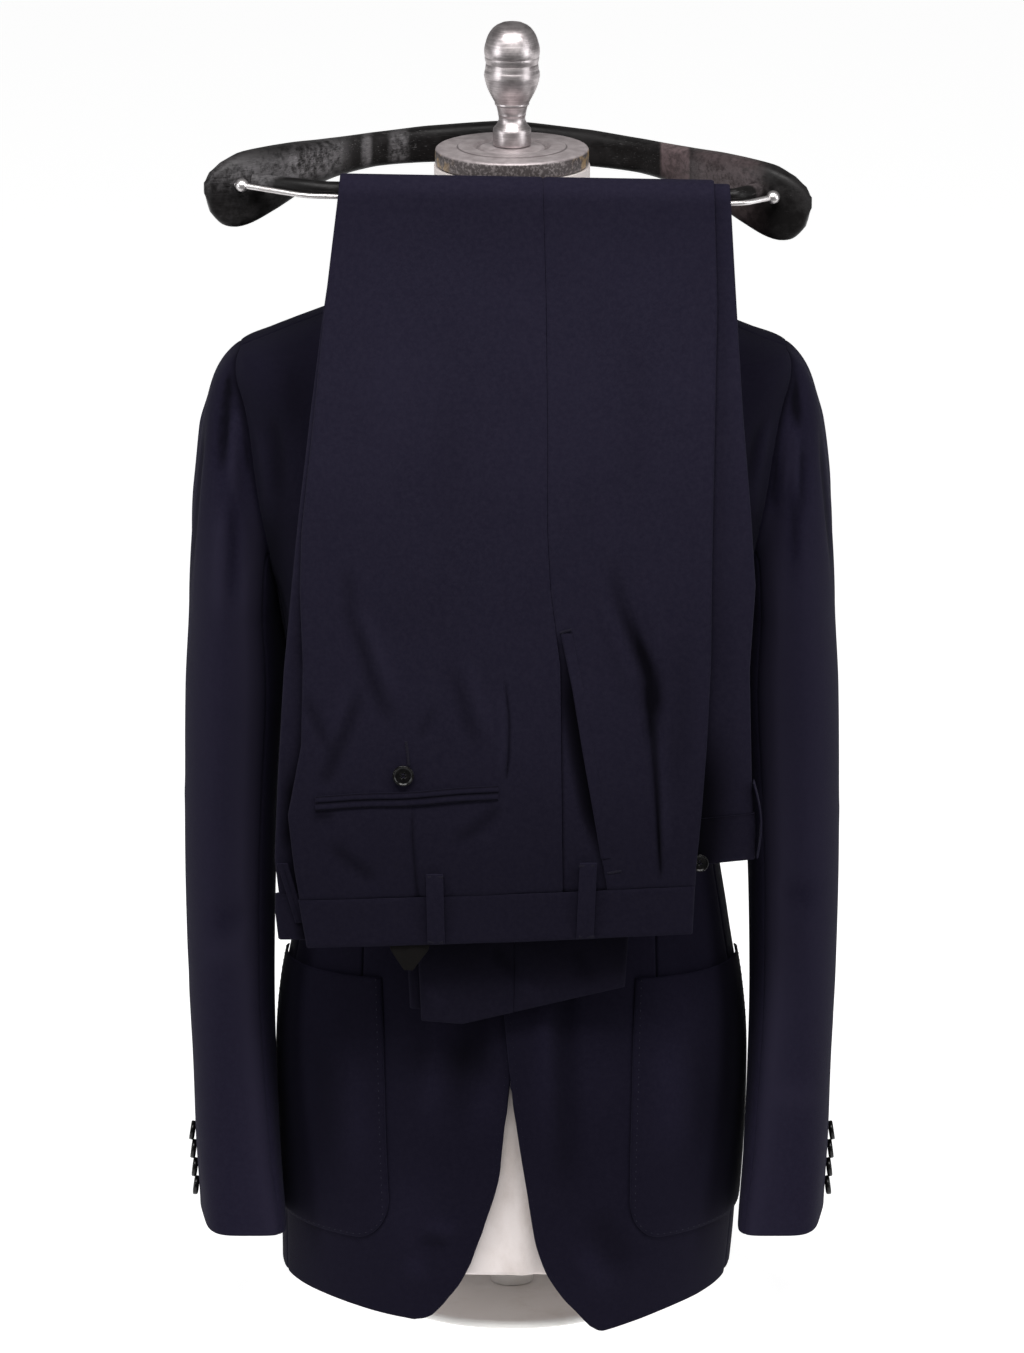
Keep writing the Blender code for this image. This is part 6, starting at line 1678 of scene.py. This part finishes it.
def makeButtonPattern():
    shape = buttonShape
    radius, thick = shape["radius"], shape["thickness"]
    rings = turnedRings([(0, 0), (radius * 0.4, 0)]
                        + [(radius * r, thick * h) for r, h in shape["profile"]]
                        + [(0, thick * shape["dish"])], 56)
    disc = addObject("buttonPattern", loftMesh(rings, sharp=70))
    drill = bmesh.new()
    for turn in (0.25, 0.75, 1.25, 1.75):
        angle = turn * math.pi
        at = Matrix.Translation((shape["spacing"] * math.cos(angle),
                                 shape["spacing"] * math.sin(angle), 0))
        bmesh.ops.create_cone(drill, cap_ends=True, segments=16, radius1=shape["hole"],
                              radius2=shape["hole"], depth=0.02, matrix=at)
    holes = bpy.data.meshes.new("drill")
    drill.to_mesh(holes)
    drill.free()
    tool = addObject("drill", holes)
    cut = disc.modifiers.new("holes", "BOOLEAN")
    cut.operation, cut.solver, cut.object = "DIFFERENCE", "EXACT", tool
    scene = bpy.context.evaluated_depsgraph_get()
    pattern = bpy.data.meshes.new_from_object(disc.evaluated_get(scene))
    for helper in (disc, tool):
        bpy.data.objects.remove(helper)
    return pattern


def makeStrands():
    # two bars of thread, three strands each, from hole to hole
    work = bmesh.new()
    gap, size = buttonShape["spacing"] * math.sin(math.pi / 4), buttonShape["strand"]
    thickness = buttonShape["thickness"]
    along = np.linspace(-1, 1, 11)
    for bar in (-1, 1):
        for strand in (-1, 0, 1):
            centre = np.stack([gap * along * 1.12, bar * gap + strand * size * 1.55 + 0 * along,
                               buttonShape["dish"] * thickness + size * (1.3 + 0.25 * abs(strand))
                               - 0.0011 * np.abs(along) ** 7], axis=-1)
            turn = np.arange(6) * math.pi / 3
            ring = np.stack([0 * turn, np.cos(turn), np.sin(turn)], axis=-1) * size
            verts = [[work.verts.new(p) for p in place + ring] for place in centre]
            for low, high in zip(verts, verts[1:]):
                for i in range(6):
                    work.faces.new((low[i], low[i - 1], high[i - 1], high[i]))
            work.faces.new(verts[0])
            work.faces.new(verts[-1][::-1])
    mesh = bpy.data.meshes.new("strands")
    bmesh.ops.recalc_face_normals(work, faces=work.faces)
    work.to_mesh(mesh)
    work.free()
    mesh.shade_smooth()
    return mesh


buttonPattern, strandPattern = makeButtonPattern(), makeStrands()


def makeButton(name, kind, place, axis, spin):
    axis = Vector([float(v) for v in axis]).normalized()
    scale = [kind[size] / buttonShape[size] for size in ("radius", "thickness")]
    turn = axis.to_track_quat("Z", "Y").to_matrix().to_4x4() @ Matrix.Rotation(spin, 4, "Z")
    frameOf = (Matrix.Translation([float(v) for v in place]) @ turn
               @ Matrix.Diagonal((scale[0], scale[0], scale[1], 1)))
    both = bmesh.new()
    for index, pattern in enumerate((buttonPattern, strandPattern)):
        copy = pattern.copy()
        copy.transform(frameOf)
        old = len(both.faces)
        both.from_mesh(copy)
        both.faces.ensure_lookup_table()
        for face in both.faces[old:]:
            face.material_index = index
    mesh = bpy.data.meshes.new(name)
    both.to_mesh(mesh)
    both.free()
    addPiece(name, mesh, buttonHorn, darkThread)


def makeCuffButtons(side):
    group = cuffButtons
    for i in range(group["count"]):
        z = group["topZ"] - i * group["pitch"]
        down = 1 + (sleeveHead - z) / (sleeveHead - sleeveHem)
        point = sleeveSurface(group["angle"], down, side)
        axis = sleeveSurface(group["angle"], down, side, 1.0) - point
        lean = math.radians(group["tilt"])
        tilted = unit(axis + np.array([0, 0, math.tan(lean)]))
        seat = seamGap + group["radius"] * math.sin(lean) * 0.9
        makeButton(f"cuffButton{side.title()}{i + 1}", group,
                   point + axis * (seat - group["sink"]), tilted, 0.3 + 0.9 * i)


for side in signs:
    makeCuffButtons(side)
for i, z in enumerate(frontButtons["heights"]):
    angle = frontAngle(0.004, z)
    point = bodySurface(angle, z, jacket["lapRise"])
    axis = bodySurface(angle, z, 1.0) - bodySurface(angle, z)
    makeButton(f"frontButton{i + 1}", frontButtons, point + axis * 3 * seamGap, axis, 0.5 + i)
pocketS = frontS(pocketButton["z"])
outward = (trouserPoint(pocketButton["x"], pocketS, 1.0)
           - trouserPoint(pocketButton["x"], pocketS, 0.0))
makeButton("backPocketButton", pocketButton,
           trouserPoint(pocketButton["x"], pocketS, hang["outside"][0] + 3 * seamGap), outward,
           0.15)
waistS = frontS(waistButton["z"])
outward = trouserPoint(waistButton["x"], waistS, 1.0) - trouserPoint(waistButton["x"], waistS, 0.0)
depth = 3 * seamGap - stackDepth("inside", waistS) - halfSpread("right", waistS)
makeButton("waistButton", waistButton, trouserPoint(waistButton["x"], waistS, depth), outward, 0.6)
print("buttons made")


# dress form, its cap and finial, and the stand

form = {
    "bottom": 0.052, "top": 0.8703, "wall": 0.0016, "neck": (0.8, 0.825), "segments": 150,
    "ease": columns("z middle side", (520, 60, 60), (3850, 40, 40), (5600, 40, 30),
                    (6900, 45, 20), (7430, 40, 11), (7760, 35, 18), (7970, 30, 30)),
    "folds": {
        "front": [
            ((30, 45), 22, (0.5, 0.0), [(50, 1300), (60, 1108), (82, 830), (100, 500)]),
            ((30, 45), -16, (0.5, 0.0), [(110, 1250), (125, 1050), (150, 800), (175, 500)]),
            (40, -10, (0.4, 0.4), [(-330, 830), (-120, 790), (60, 810)]),
            (50, 8, (0.4, 0.4), [(-300, 700), (-100, 660), (60, 690)]),
            (60, -8, (0.4, 0.2), [(-180, 1200), (-150, 900), (-190, 520)]),
        ],
    },
}
neckCap = [(0, 8709), (555, 8709), (567, 8722), (567, 8822), (552, 8837), (410, 8837),
           (395, 8850), (285, 8850), (270, 8822), (245, 8822), (235, 8842), (150, 8850),
           (0, 8850)]
finial = [(0, 8853), (126, 8853), (136, 8857), (141, 8866), (141.5, 8880), (141.5, 8960),
          (139, 8978), (130, 8992), (117, 9006), (107, 9024), (99, 9044), (97.5, 9062),
          (100, 9076), (104, 9086), (103, 9094), (107, 9111), (112, 9134), (117, 9152),
          (127, 9160), (128, 9167), (126, 9174), (133, 9188), (142, 9204), (154, 9226),
          (166, 9248), (177, 9271), (186, 9294), (193, 9317), (199, 9339), (204, 9362),
          (207, 9382), (204, 9392), (205, 9400), (201, 9414), (198, 9422), (198, 9431),
          (195, 9448), (194, 9462), (192, 9469), (195, 9478), (199, 9496), (202, 9512),
          (200, 9520), (203, 9530), (206, 9552), (205, 9575), (202, 9596), (197, 9616),
          (191, 9638), (184, 9660), (174, 9683), (160, 9706), (142, 9729), (116, 9750),
          (78, 9768), (40, 9776), (0, 9778)]
stand = {"plate": 0.1, "thickness": 0.007, "bevel": 0.002, "post": 0.016}


def roundProfile(points, size):
    # every corner of a turned profile eased
    points = np.array(points, float)
    rounded = [points[0]]
    for before, corner, after in zip(points, points[1:], points[2:]):
        reach = [min(size, 0.45 * np.linalg.norm(p - corner)) for p in (before, after)]
        start = corner + unit(before - corner) * reach[0]
        end = corner + unit(after - corner) * reach[1]
        for t in np.linspace(0, 1, 4):
            rounded.append((1 - t) ** 2 * start + 2 * t * (1 - t) * corner + t ** 2 * end)
    return [*rounded, points[-1]]


def makeForm():
    tall = form["top"] - form["bottom"]
    z = np.concatenate([[0, 0.0006, 0.0016, 0.003], np.arange(0.008, tall, 0.006), [tall]])
    z = (form["bottom"] + z)[:, None]
    turn = np.linspace(-180, 180, form["segments"] + 1)[:-1]
    side = np.abs(np.sin(np.radians(turn))) ** 3
    ease = form["ease"]
    inset = (np.interp(z, ease["z"], ease["middle"]) * (1 - side)
             + np.interp(z, ease["z"], ease["side"]) * side)
    inset = (form["wall"] + inset) * (1 - smoothStep(z, *form["neck"]))
    inset = inset + 0.0015 * np.exp(-((z - form["bottom"]) / 0.0012) ** 2)
    base = bodySurface(turn, z, -inset)
    normal = bodySurface(turn, z, 1.0) - bodySurface(turn, z)
    rings = base + normal * foldedOut(base, normal, form["folds"])[..., None]
    rings[0, :, 2], rings[-1, :, 2] = form["bottom"], form["top"]
    addPiece("formTorso", loftMesh(capped(rings), sharp=60), formCover)


def makeTurned(name, profile, segments, material, sharp=35, **told):
    addPiece(name, loftMesh(turnedRings(profile, segments), sharp), material, **told)


makeForm()
makeTurned("neckCap", roundProfile(np.array(neckCap) / tenths, 0.0009), 120, agedMetal,
           slot="polished_steel")
makeTurned("turnedFinial", np.array(finial) / tenths, 96, softSteel, 28, node="finial",
           slot="polished_steel")
radius, thick, bevel, post = (stand[k] for k in ("plate", "thickness", "bevel", "post"))
makeTurned("standPlate", roundProfile(
    [(0, 0), (radius - bevel, 0), (radius, bevel), (radius, thick - bevel),
     (radius - bevel, thick), (0, thick)], bevel), 120, standEnamel)
foot, head = thick + seamGap, form["bottom"] - seamGap
makeTurned("standPost", roundProfile([(0, foot), (post, foot), (post, head), (0, head)], 0.0008),
           64, standEnamel)
print("form and stand made")


# the hanger: yoke, bracket, crossbar and the rod in front of it

yoke = {"shape": columns(
    "x y top bottom thickness",
    (0, 730, 8877, 8570, 170), (600, 680, 8833, 8567, 170), (1000, 480, 8815, 8568, 170),
    (1300, 200, 8827, 8542, 175), (1550, -120, 8862, 8490, 180), (1750, -350, 8873, 8395, 185),
    (1950, -490, 8854, 8312, 185), (2090, -550, 8790, 8325, 170), (2180, -572, 8715, 8420, 130),
    (2224, -580, 8640, 8560, 60)),
    "shift": -0.003, "roll": 0.025, "round": (0.55, 0.66)}
bar = {"y": -0.0768, "z": 0.8668, "halfDepth": 0.0052, "halfHeight": 0.0055,
       "endHeight": 0.0064, "tipDepth": 0.0035,
       "left": (0.1615, 0.1825), "right": (0.134, 0.19)}
rod = {"y": -0.0843, "z": 0.8628, "radius": 0.0019, "ball": 0.005,
       "left": (0.168, 0.191, 0.8603), "right": (0.15, 0.1975, 0.8693)}


def yokeRow(x):
    away = np.asarray(x) - yoke["shift"]
    part = {name: lookUp(yoke["shape"], "x", name, np.abs(away)) for name in yoke["shape"]}
    for edge in ("top", "bottom"):
        part[edge] = part[edge] - yoke["roll"] * away
    return part


def makeYoke():
    far = float(yoke["shape"]["x"][-1])
    half = np.concatenate([np.linspace(0, 0.2, 56), np.linspace(0.2035, 0.218, 8),
                           [0.2196, 0.2208, 0.2216, far]])
    x = np.concatenate([-half[:0:-1], half]) + yoke["shift"]
    part = yokeRow(x)
    centre = np.stack([x, part["y"]], axis=-1)
    along = unit(np.gradient(centre, axis=0))
    away = np.stack([along[:, 1], -along[:, 0]], axis=-1)
    section = np.radians(np.arange(0, 360, 7.5))
    across = signedPower(np.cos(section), yoke["round"][0])
    rise = signedPower(np.sin(section), yoke["round"][1])
    thick, tall = part["thickness"][:, None] / 2, (part["top"] - part["bottom"])[:, None] / 2
    middle = (part["top"] + part["bottom"])[:, None] / 2
    rings = np.stack([x[:, None] + away[:, :1] * thick * across,
                      part["y"][:, None] + away[:, 1:] * thick * across,
                      middle + tall * rise], axis=-1)
    addPiece("hangerYoke", loftMesh(capped(rings)), hangerWood)


def makeBracket():
    grid = np.meshgrid(np.linspace(-0.022, 0.022, 21), np.linspace(0.861, 0.87, 7))
    neck = np.sqrt((bodyShape["halfWidth"][-1] + seamGap * 1.5) ** 2 - grid[0] ** 2)
    face = yokeRow(grid[0])["y"] - yoke["shape"]["thickness"][0] / 2 - 2 * seamGap
    outer, inner = (np.stack([grid[0], y, grid[1]], axis=-1) for y in (face, neck))
    addPiece("hangerBracket", shellMesh(outer, inner, clothUv(outer), (0,) * 4), hangerWood)


def lobeFace(x):
    # y of the yoke's front face at x
    step = math.copysign(0.002, x)
    here, there = yokeRow(x), yokeRow(x + step)
    slope = math.atan2(float(here["y"] - there["y"]), abs(step))
    return float(here["y"]) - float(here["thickness"]) / 2 / math.cos(slope)


def makeTube(name, centre, wide, high, material):
    centre = np.array(centre, float)
    along = unit(np.gradient(centre, axis=0))
    side = unit(np.cross(along, np.array([0, 0, 1.0])))
    rise = np.cross(side, along)
    turn = (np.arange(28) * 2 * math.pi / 28)[:, None]
    rings = centre[:, None] + (side[:, None] * np.array(wide)[:, None, None] * np.cos(turn)
                               + rise[:, None] * np.array(high)[:, None, None] * np.sin(turn))
    addPiece(name, loftMesh(capped(rings)), material)


def makeCrossbar():
    ends = {}
    for side, sign in signs.items():
        bend, tip = bar[side]
        tipY = lobeFace(sign * tip) - bar["tipDepth"] - seamGap
        share = np.concatenate([[1.0, 0.985, 0.955, 0.91], np.linspace(0.85, 0, 14)])
        x = sign * (bend + (tip - bend) * share)
        back = smoothStep(share, 0.0, 1.2) / smoothStep(1.0, 0.0, 1.2)
        y = bar["y"] + (tipY - bar["y"]) * back
        taper = np.interp(share, [0.6, 0.85, 0.95, 1.0], [1.0, 0.6, 0.38, 0.0])
        swell = np.interp(share, [0.0, 0.3, 0.6, 0.85, 0.97, 1.0], [0.0, 1.0, 1.0, 0.9, 0.6, 0.3])
        wide = bar["tipDepth"] + (bar["halfDepth"] - bar["tipDepth"]) * taper
        high = bar["halfHeight"] + (bar["endHeight"] - bar["halfHeight"]) * swell
        ends[side] = (np.stack([x, y, bar["z"] - hang["roll"] * x], axis=-1), wide, high)
    joined = [np.concatenate([a, b[::-1]]) for a, b in zip(ends["right"], ends["left"])]
    makeTube("hangerCrossbar", *joined, hangerWood)


def makeRod():
    ball, radius = rod["ball"], rod["radius"]
    along = np.concatenate([-np.cos(np.linspace(0.18, 1.5, 12)), np.linspace(0, 0.905, 12)])
    sizes = np.maximum(np.sqrt(1 - along ** 2), radius / ball)
    ends = {}
    for side, sign in signs.items():
        kneeX, ballX, ballZ = rod[side]
        centre = np.array([sign * ballX, lobeFace(sign * ballX) - ball - 2 * seamGap, ballZ])
        knee = np.array([sign * kneeX, rod["y"], rod["z"] - hang["roll"] * sign * kneeX])
        away = unit(knee - centre)
        inward = -sign * 0.012 * np.array([1.0, 0.0, -hang["roll"]])
        bend = [(1 - t) ** 2 * (knee - away * 0.008) + 2 * t * (1 - t) * knee
                + t ** 2 * (knee + inward) for t in np.linspace(0, 1, 8)]
        ends[side] = (np.array([*(centre + away * ball * along[:, None]), *bend]),
                      np.array([*(ball * sizes), *[radius] * 8]))
    centre, size = [np.concatenate([a, b[::-1]]) for a, b in zip(ends["right"], ends["left"])]
    makeTube("trouserRod", centre, size, size, polishedSteel)


makeYoke()
makeBracket()
makeCrossbar()
makeRod()
print("hanger made")


# sewing that shows: pick stitches, bar tacks and a worked buttonhole

sewing = {   # pitch, length, thickness, lean and unevenness of a stitch
    "pocket": (0.0056, 0.0013, 0.0003, 0.0, 0.12), "edge": (0.0062, 0.0009, 0.00026, 0.0, 0.12),
    "tack": (0.00052, 0.0021, 0.00034, 1.5708, 0.05),
    "hole": (0.0006, 0.0024, 0.00036, 1.5708, 0.05),
}


def makeStitchTree():
    # stitches along a path: each lies on the path, or across it where the lean says so
    tree = bpy.data.node_groups.new("runningStitch", "GeometryNodeTree")
    face = tree.interface
    face.new_socket("Path", in_out="INPUT", socket_type="NodeSocketGeometry")
    for name in ("Pitch", "Length", "Thickness", "Lean", "Unevenness"):
        face.new_socket(name, in_out="INPUT", socket_type="NodeSocketFloat")
    face.new_socket("Seed", in_out="INPUT", socket_type="NodeSocketInt")
    face.new_socket("Thread", in_out="INPUT", socket_type="NodeSocketMaterial")
    face.new_socket("Stitches", in_out="OUTPUT", socket_type="NodeSocketGeometry")

    def add(kind, inputs, **settings):
        step = tree.nodes.new(kind)
        for key, value in settings.items():
            setattr(step, key, value)
        for key, value in inputs.items():
            if isinstance(value, bpy.types.NodeSocket):
                tree.links.new(value, step.inputs[key])
            else:
                step.inputs[key].default_value = value
        return step.outputs

    given = add("NodeGroupInput", {})
    curve = add("GeometryNodeMeshToCurve", {"Mesh": given["Path"]})
    steps = add("GeometryNodeResampleCurve", {"Curve": curve[0], "Length": given["Pitch"]},
                mode="LENGTH")
    facing = add("GeometryNodeInputNamedAttribute", {"Name": "facing"}, data_type="FLOAT_VECTOR")
    turned = add("FunctionNodeAxesToRotation", {
        "Primary Axis": facing["Attribute"],
        "Secondary Axis": add("GeometryNodeInputTangent", {})[0]},
        primary_axis="Z", secondary_axis="X")
    uneven = add("FunctionNodeRandomValue", {2: -1.0, 3: 1.0, "Seed": given["Seed"]},
                 data_type="FLOAT")
    drift = add("ShaderNodeMath", {0: uneven[1], 1: given["Unevenness"]}, operation="MULTIPLY")
    lean = add("ShaderNodeMath", {0: given["Lean"], 1: drift[0]}, operation="ADD")
    spin = add("FunctionNodeAxisAngleToRotation", {"Axis": (0, 0, 1), "Angle": lean[0]})
    rotation = add("FunctionNodeRotateRotation", {"Rotation": turned[0], "Rotate By": spin[0]},
                   rotation_space="LOCAL")
    longer = add("ShaderNodeMath", {0: drift[0], 1: given["Length"], 2: given["Length"]},
                 operation="MULTIPLY_ADD")
    halfLength = add("ShaderNodeMath", {0: longer[0], 1: 0.5}, operation="MULTIPLY")
    size = add("ShaderNodeCombineXYZ", {"X": halfLength[0], "Y": given["Thickness"],
                                        "Z": given["Thickness"]})
    bead = add("GeometryNodeMeshUVSphere", {"Segments": 6, "Rings": 4, "Radius": 1.0})
    lying = add("GeometryNodeTransform", {"Geometry": bead["Mesh"],
                                          "Rotation": (0, math.pi / 2, 0)})
    rounded = add("GeometryNodeSetShadeSmooth", {"Geometry": lying[0]})
    placed = add("GeometryNodeInstanceOnPoints", {
        "Points": steps[0], "Instance": rounded[0], "Rotation": rotation[0], "Scale": size[0]})
    real = add("GeometryNodeRealizeInstances", {"Geometry": placed[0]})
    threaded = add("GeometryNodeSetMaterial", {"Geometry": real[0], "Material": given["Thread"]})
    out = tree.nodes.new("NodeGroupOutput")
    tree.links.new(threaded[0], out.inputs[0])
    return tree


stitchTree = makeStitchTree()


def sew(name, paths, kind, thread, slot):
    # paths: (points, normals) polylines in metres
    verts, edges, facing = [], [], []
    for points, normals in paths:
        start = len(verts)
        verts += [tuple(map(float, p)) for p in points]
        facing += [tuple(map(float, n)) for n in normals]
        edges += [(start + i, start + i + 1) for i in range(len(points) - 1)]
    mesh = bpy.data.meshes.new(name)
    mesh.from_pydata(verts, edges, [])
    layer = mesh.attributes.new("facing", "FLOAT_VECTOR", "POINT")
    layer.data.foreach_set("vector", np.array(facing).ravel())
    path = addObject(name, mesh)
    modifier = path.modifiers.new("stitches", "NODES")
    modifier.node_group = stitchTree
    values = dict(zip(("Pitch", "Length", "Thickness", "Lean", "Unevenness"), sewing[kind]),
                  Seed=7, Thread=thread)
    for item in stitchTree.interface.items_tree:
        if item.in_out == "INPUT" and item.name in values:
            modifier[item.identifier] = values[item.name]
    whole = bpy.context.evaluated_depsgraph_get()
    result = bpy.data.meshes.new_from_object(path.evaluated_get(whole))
    bpy.data.objects.remove(path)
    made.append((addObject(name, result), [], slot))


def along(grid, normals, rows, cols, out):
    points = np.array([grid[r, c] for r, c in zip(rows, cols)])
    facing = np.array([normals[r, c] for r, c in zip(rows, cols)])
    return points + facing * out, facing


for side in signs:
    grid, normals = pocketGrids[side]
    count, width = grid.shape[:2]
    rows = [*range(count - 3, 3, -1), *[3] * (width - 6), *range(4, count - 2)]
    cols = [*[3] * (count - 6), *range(3, width - 3), *[width - 4] * (count - 6)]
    sew(f"pocketStitches{side.title()}", [along(grid, normals, rows, cols, 0.00002)], "pocket",
        paleThread, "jacket_wool")
    grid, normals = frontGrids[side]
    height = grid[:, 3, 2]
    rows = [r for r in range(len(height)) if 0.03 < height[r] < 0.4]
    sew(f"edgeStitches{side.title()}", [along(grid, normals, rows, [3] * len(rows), 0.0)], "edge",
        darkThread, "jacket_wool")


def acrossTrousers(start, end, out):
    share = np.linspace(0, 1, 8)
    x = start[0] + (end[0] - start[0]) * share
    z = start[1] + (end[1] - start[1]) * share
    normal = unit(trouserPoint(x, frontS(z), 1.0) - trouserPoint(x, frontS(z), 0.0))
    return outsidePoint(x, z, out), normal


# from, to and how far out
tackLines = [((0.0351, 0.555), (0.0431, 0.5572), 0.0011),
             ((0.0702, 0.3745), (0.08, 0.3762), 0.0003)]
holeLines = [((-0.0776, 0.4736), (-0.0765, 0.466), 0.00015),
             ((-0.0765, 0.466), (-0.0757, 0.456), 0.00015)]
loopTack = {"half": 0.0054, "bottom": 0.0016, "top": 0.0018, "out": 0.0024}
for place in beltLoops.values():
    left, right = place["x"] - loopTack["half"], place["x"] + loopTack["half"]
    for z in (place["bottom"] + loopTack["bottom"], place["top"] - loopTack["top"]):
        tackLines.append(((left, z), (right, z), loopTack["out"]))
for name, lines, kind in (("barTacks", tackLines, "tack"), ("buttonhole", holeLines, "hole")):
    sew(name, [acrossTrousers(*line) for line in lines], kind, darkThread, "trouser_wool")
print("sewing made")


# camera, light and floor

view = {"target": (0.0, 0.0, 0.48), "distance": 8.0, "elevation": 15.0, "lens": 285.2}
lamps = [   # place, aim, width, height, watts, colour
    ((-0.5, -1.1, 2.25), (0.0, -0.12, 0.72), 0.9, 0.6, 26, (1.0, 0.99, 0.98)),
    ((0.5, -1.1, 2.25), (0.0, -0.12, 0.72), 0.9, 0.6, 26, (1.0, 0.99, 0.98)),
    ((-2.5, -1.25, 1.15), (-0.1, 0.0, 0.5), 0.7, 1.8, 25, (0.98, 0.99, 1.0)),
    ((2.5, -1.25, 1.15), (0.1, 0.0, 0.5), 0.7, 1.8, 26, (0.98, 0.99, 1.0)),
]
floorSize = 14.0


def addCamera():
    camera = bpy.data.cameras.new("viewCamera")
    camera.sensor_fit, camera.sensor_height, camera.lens = "VERTICAL", 36.0, view["lens"]
    camera.clip_end = 100.0
    holder = bpy.data.objects.new("viewCamera", camera)
    tilt = math.radians(view["elevation"])
    away = Vector((0, -math.cos(tilt), math.sin(tilt)))
    holder.location = Vector(view["target"]) + away * view["distance"]
    holder.rotation_euler = (-away).to_track_quat("-Z", "Y").to_euler()
    bpy.context.scene.collection.objects.link(holder)
    bpy.context.scene.camera = holder


def addLamps():
    for number, (place, target, wide, high, watts, colour) in enumerate(lamps, 1):
        lamp = bpy.data.lights.new(f"softLamp{number}", "AREA")
        lamp.shape, lamp.size, lamp.size_y = "RECTANGLE", wide, high
        lamp.energy, lamp.color = watts, colour
        holder = bpy.data.objects.new(f"softLamp{number}", lamp)
        holder.location = place
        aim = Vector(target) - Vector(place)
        holder.rotation_euler = aim.to_track_quat("-Z", "Y").to_euler()
        bpy.context.scene.collection.objects.link(holder)
    world = bpy.data.worlds.new("studio")
    world.use_nodes = True
    background = world.node_tree.nodes["Background"].inputs
    background["Color"].default_value, background["Strength"].default_value = (1, 1, 1, 1), 0.16
    bpy.context.scene.world = world


def addFloor():
    paper = Finish("floorPaper", Roughness=0.9, Specular_IOR_Level=0.1, Emission_Strength=0.85)
    where = paper.place()
    grain = paper.noise(where, 900.0, 2.0)
    tone = paper.blend(grain, (0.6, 0.6, 0.6), (0.63, 0.63, 0.63))
    behind = paper.axis(where, "Y").ramp(-0.7, -0.18)     # the paper ends in a grey apron
    paper.set(Base_Color=paper.blend(behind, (0.2, 0.2, 0.2), tone))
    paper.set(Emission_Color=paper.blend(behind, (0.0, 0.0, 0.0), (1.0, 1.0, 1.0)))
    half = floorSize / 2
    mesh = bpy.data.meshes.new("floor")
    mesh.from_pydata([(-half, -half, 0), (half, -half, 0), (half, half, 0), (-half, half, 0)],
                     [], [(0, 1, 2, 3)])
    addObject("floor", mesh, paper.material)


addCamera()
addLamps()
addFloor()
bpy.context.scene.view_settings.view_transform = "Standard"
print("camera, light and floor made")


# what each piece rides on and stands for

for piece, nodes, slot in made:
    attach(piece, "root")
    if nodes:
        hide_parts(*nodes)

# width, length and area of each cut, on the left and the right where there are two, how it is
# held, what carries it
clothCuts = {
    "jacketFront": ((0.212, 0.83, 0.151), (0.21, 0.823, 0.149), "draped", ["formTorso"]),
    "jacketSide": ((0.147, 0.546, 0.057), (0.147, 0.546, 0.057), "draped", ["formTorso"]),
    "jacketBack": ((0.252, 0.849, 0.141), (0.252, 0.848, 0.141), "draped", ["formTorso"]),
    "sleeveTop": ((0.336, 0.612, 0.13), (0.336, 0.613, 0.131), "hung", ["formTorso"]),
    "sleeveUnder": ((0.185, 0.512, 0.068), (0.185, 0.512, 0.068), "hung", ["formTorso"]),
    "lapel": ((0.095, 0.333, 0.0193), (0.095, 0.272, 0.018), "laid", ["jacketFront*"]),
    "patchPocket": ((0.204, 0.192, 0.0332), (0.203, 0.192, 0.0324), "laid", ["jacketFront*"]),
    "collarCloth": ((0.443, 0.074, 0.0262), None, "folded", ["formTorso"]),
    "trouserFront": ((0.262, 1.145, 0.251), (0.316, 1.099, 0.272), "folded", ["hangerCrossbar"]),
    "trouserBack": ((0.374, 1.172, 0.312), (0.394, 1.157, 0.306), "folded", ["hangerCrossbar"]),
    "waistband": ((0.47, 0.036, 0.0169), (0.577, 0.035, 0.0199), "hung",
                  ["trouserFront*", "trouserBack*"]),
    "waistbandCurtain": ((0.032, 0.034, 0.0007), None, "hung", ["waistbandLeft"]),
}
sewnOn = {   # strips that lie on a piece of cloth
    "trouserFrontLeft": ["slantPocketMouth", "barTacks"],
    "trouserBackLeft": ["backPocketUpperLip", "backPocketLowerLip", "buttonhole"],
    "waistbandLeft": ["beltLoopSide", "beltLoopBack"],
    "waistbandRight": ["beltLoopFront", "beltLoopCentre"],
    "patchPocketLeft": ["pocketStitchesLeft"], "patchPocketRight": ["pocketStitchesRight"],
    "jacketFrontLeft": ["edgeStitchesLeft"], "jacketFrontRight": ["edgeStitchesRight"],
}
byName = {piece.name: piece for piece, nodes, slot in made}
declared = 0
for name, (left, right, held, carriers) in clothCuts.items():
    for side, cut in (("Left", left), ("Right", right)) if right else (("", left),):
        width, length, area = cut
        byName[name + side]
        [byName[other] for other in sewnOn.get(name + side, [])]
        declared += 1
print("sheets declared", declared)

triangles = 0
for piece, nodes, slot in made:
    piece.data.calc_loop_triangles()
    triangles += len(piece.data.loop_triangles)
print("pieces", len(made), "triangles", triangles)
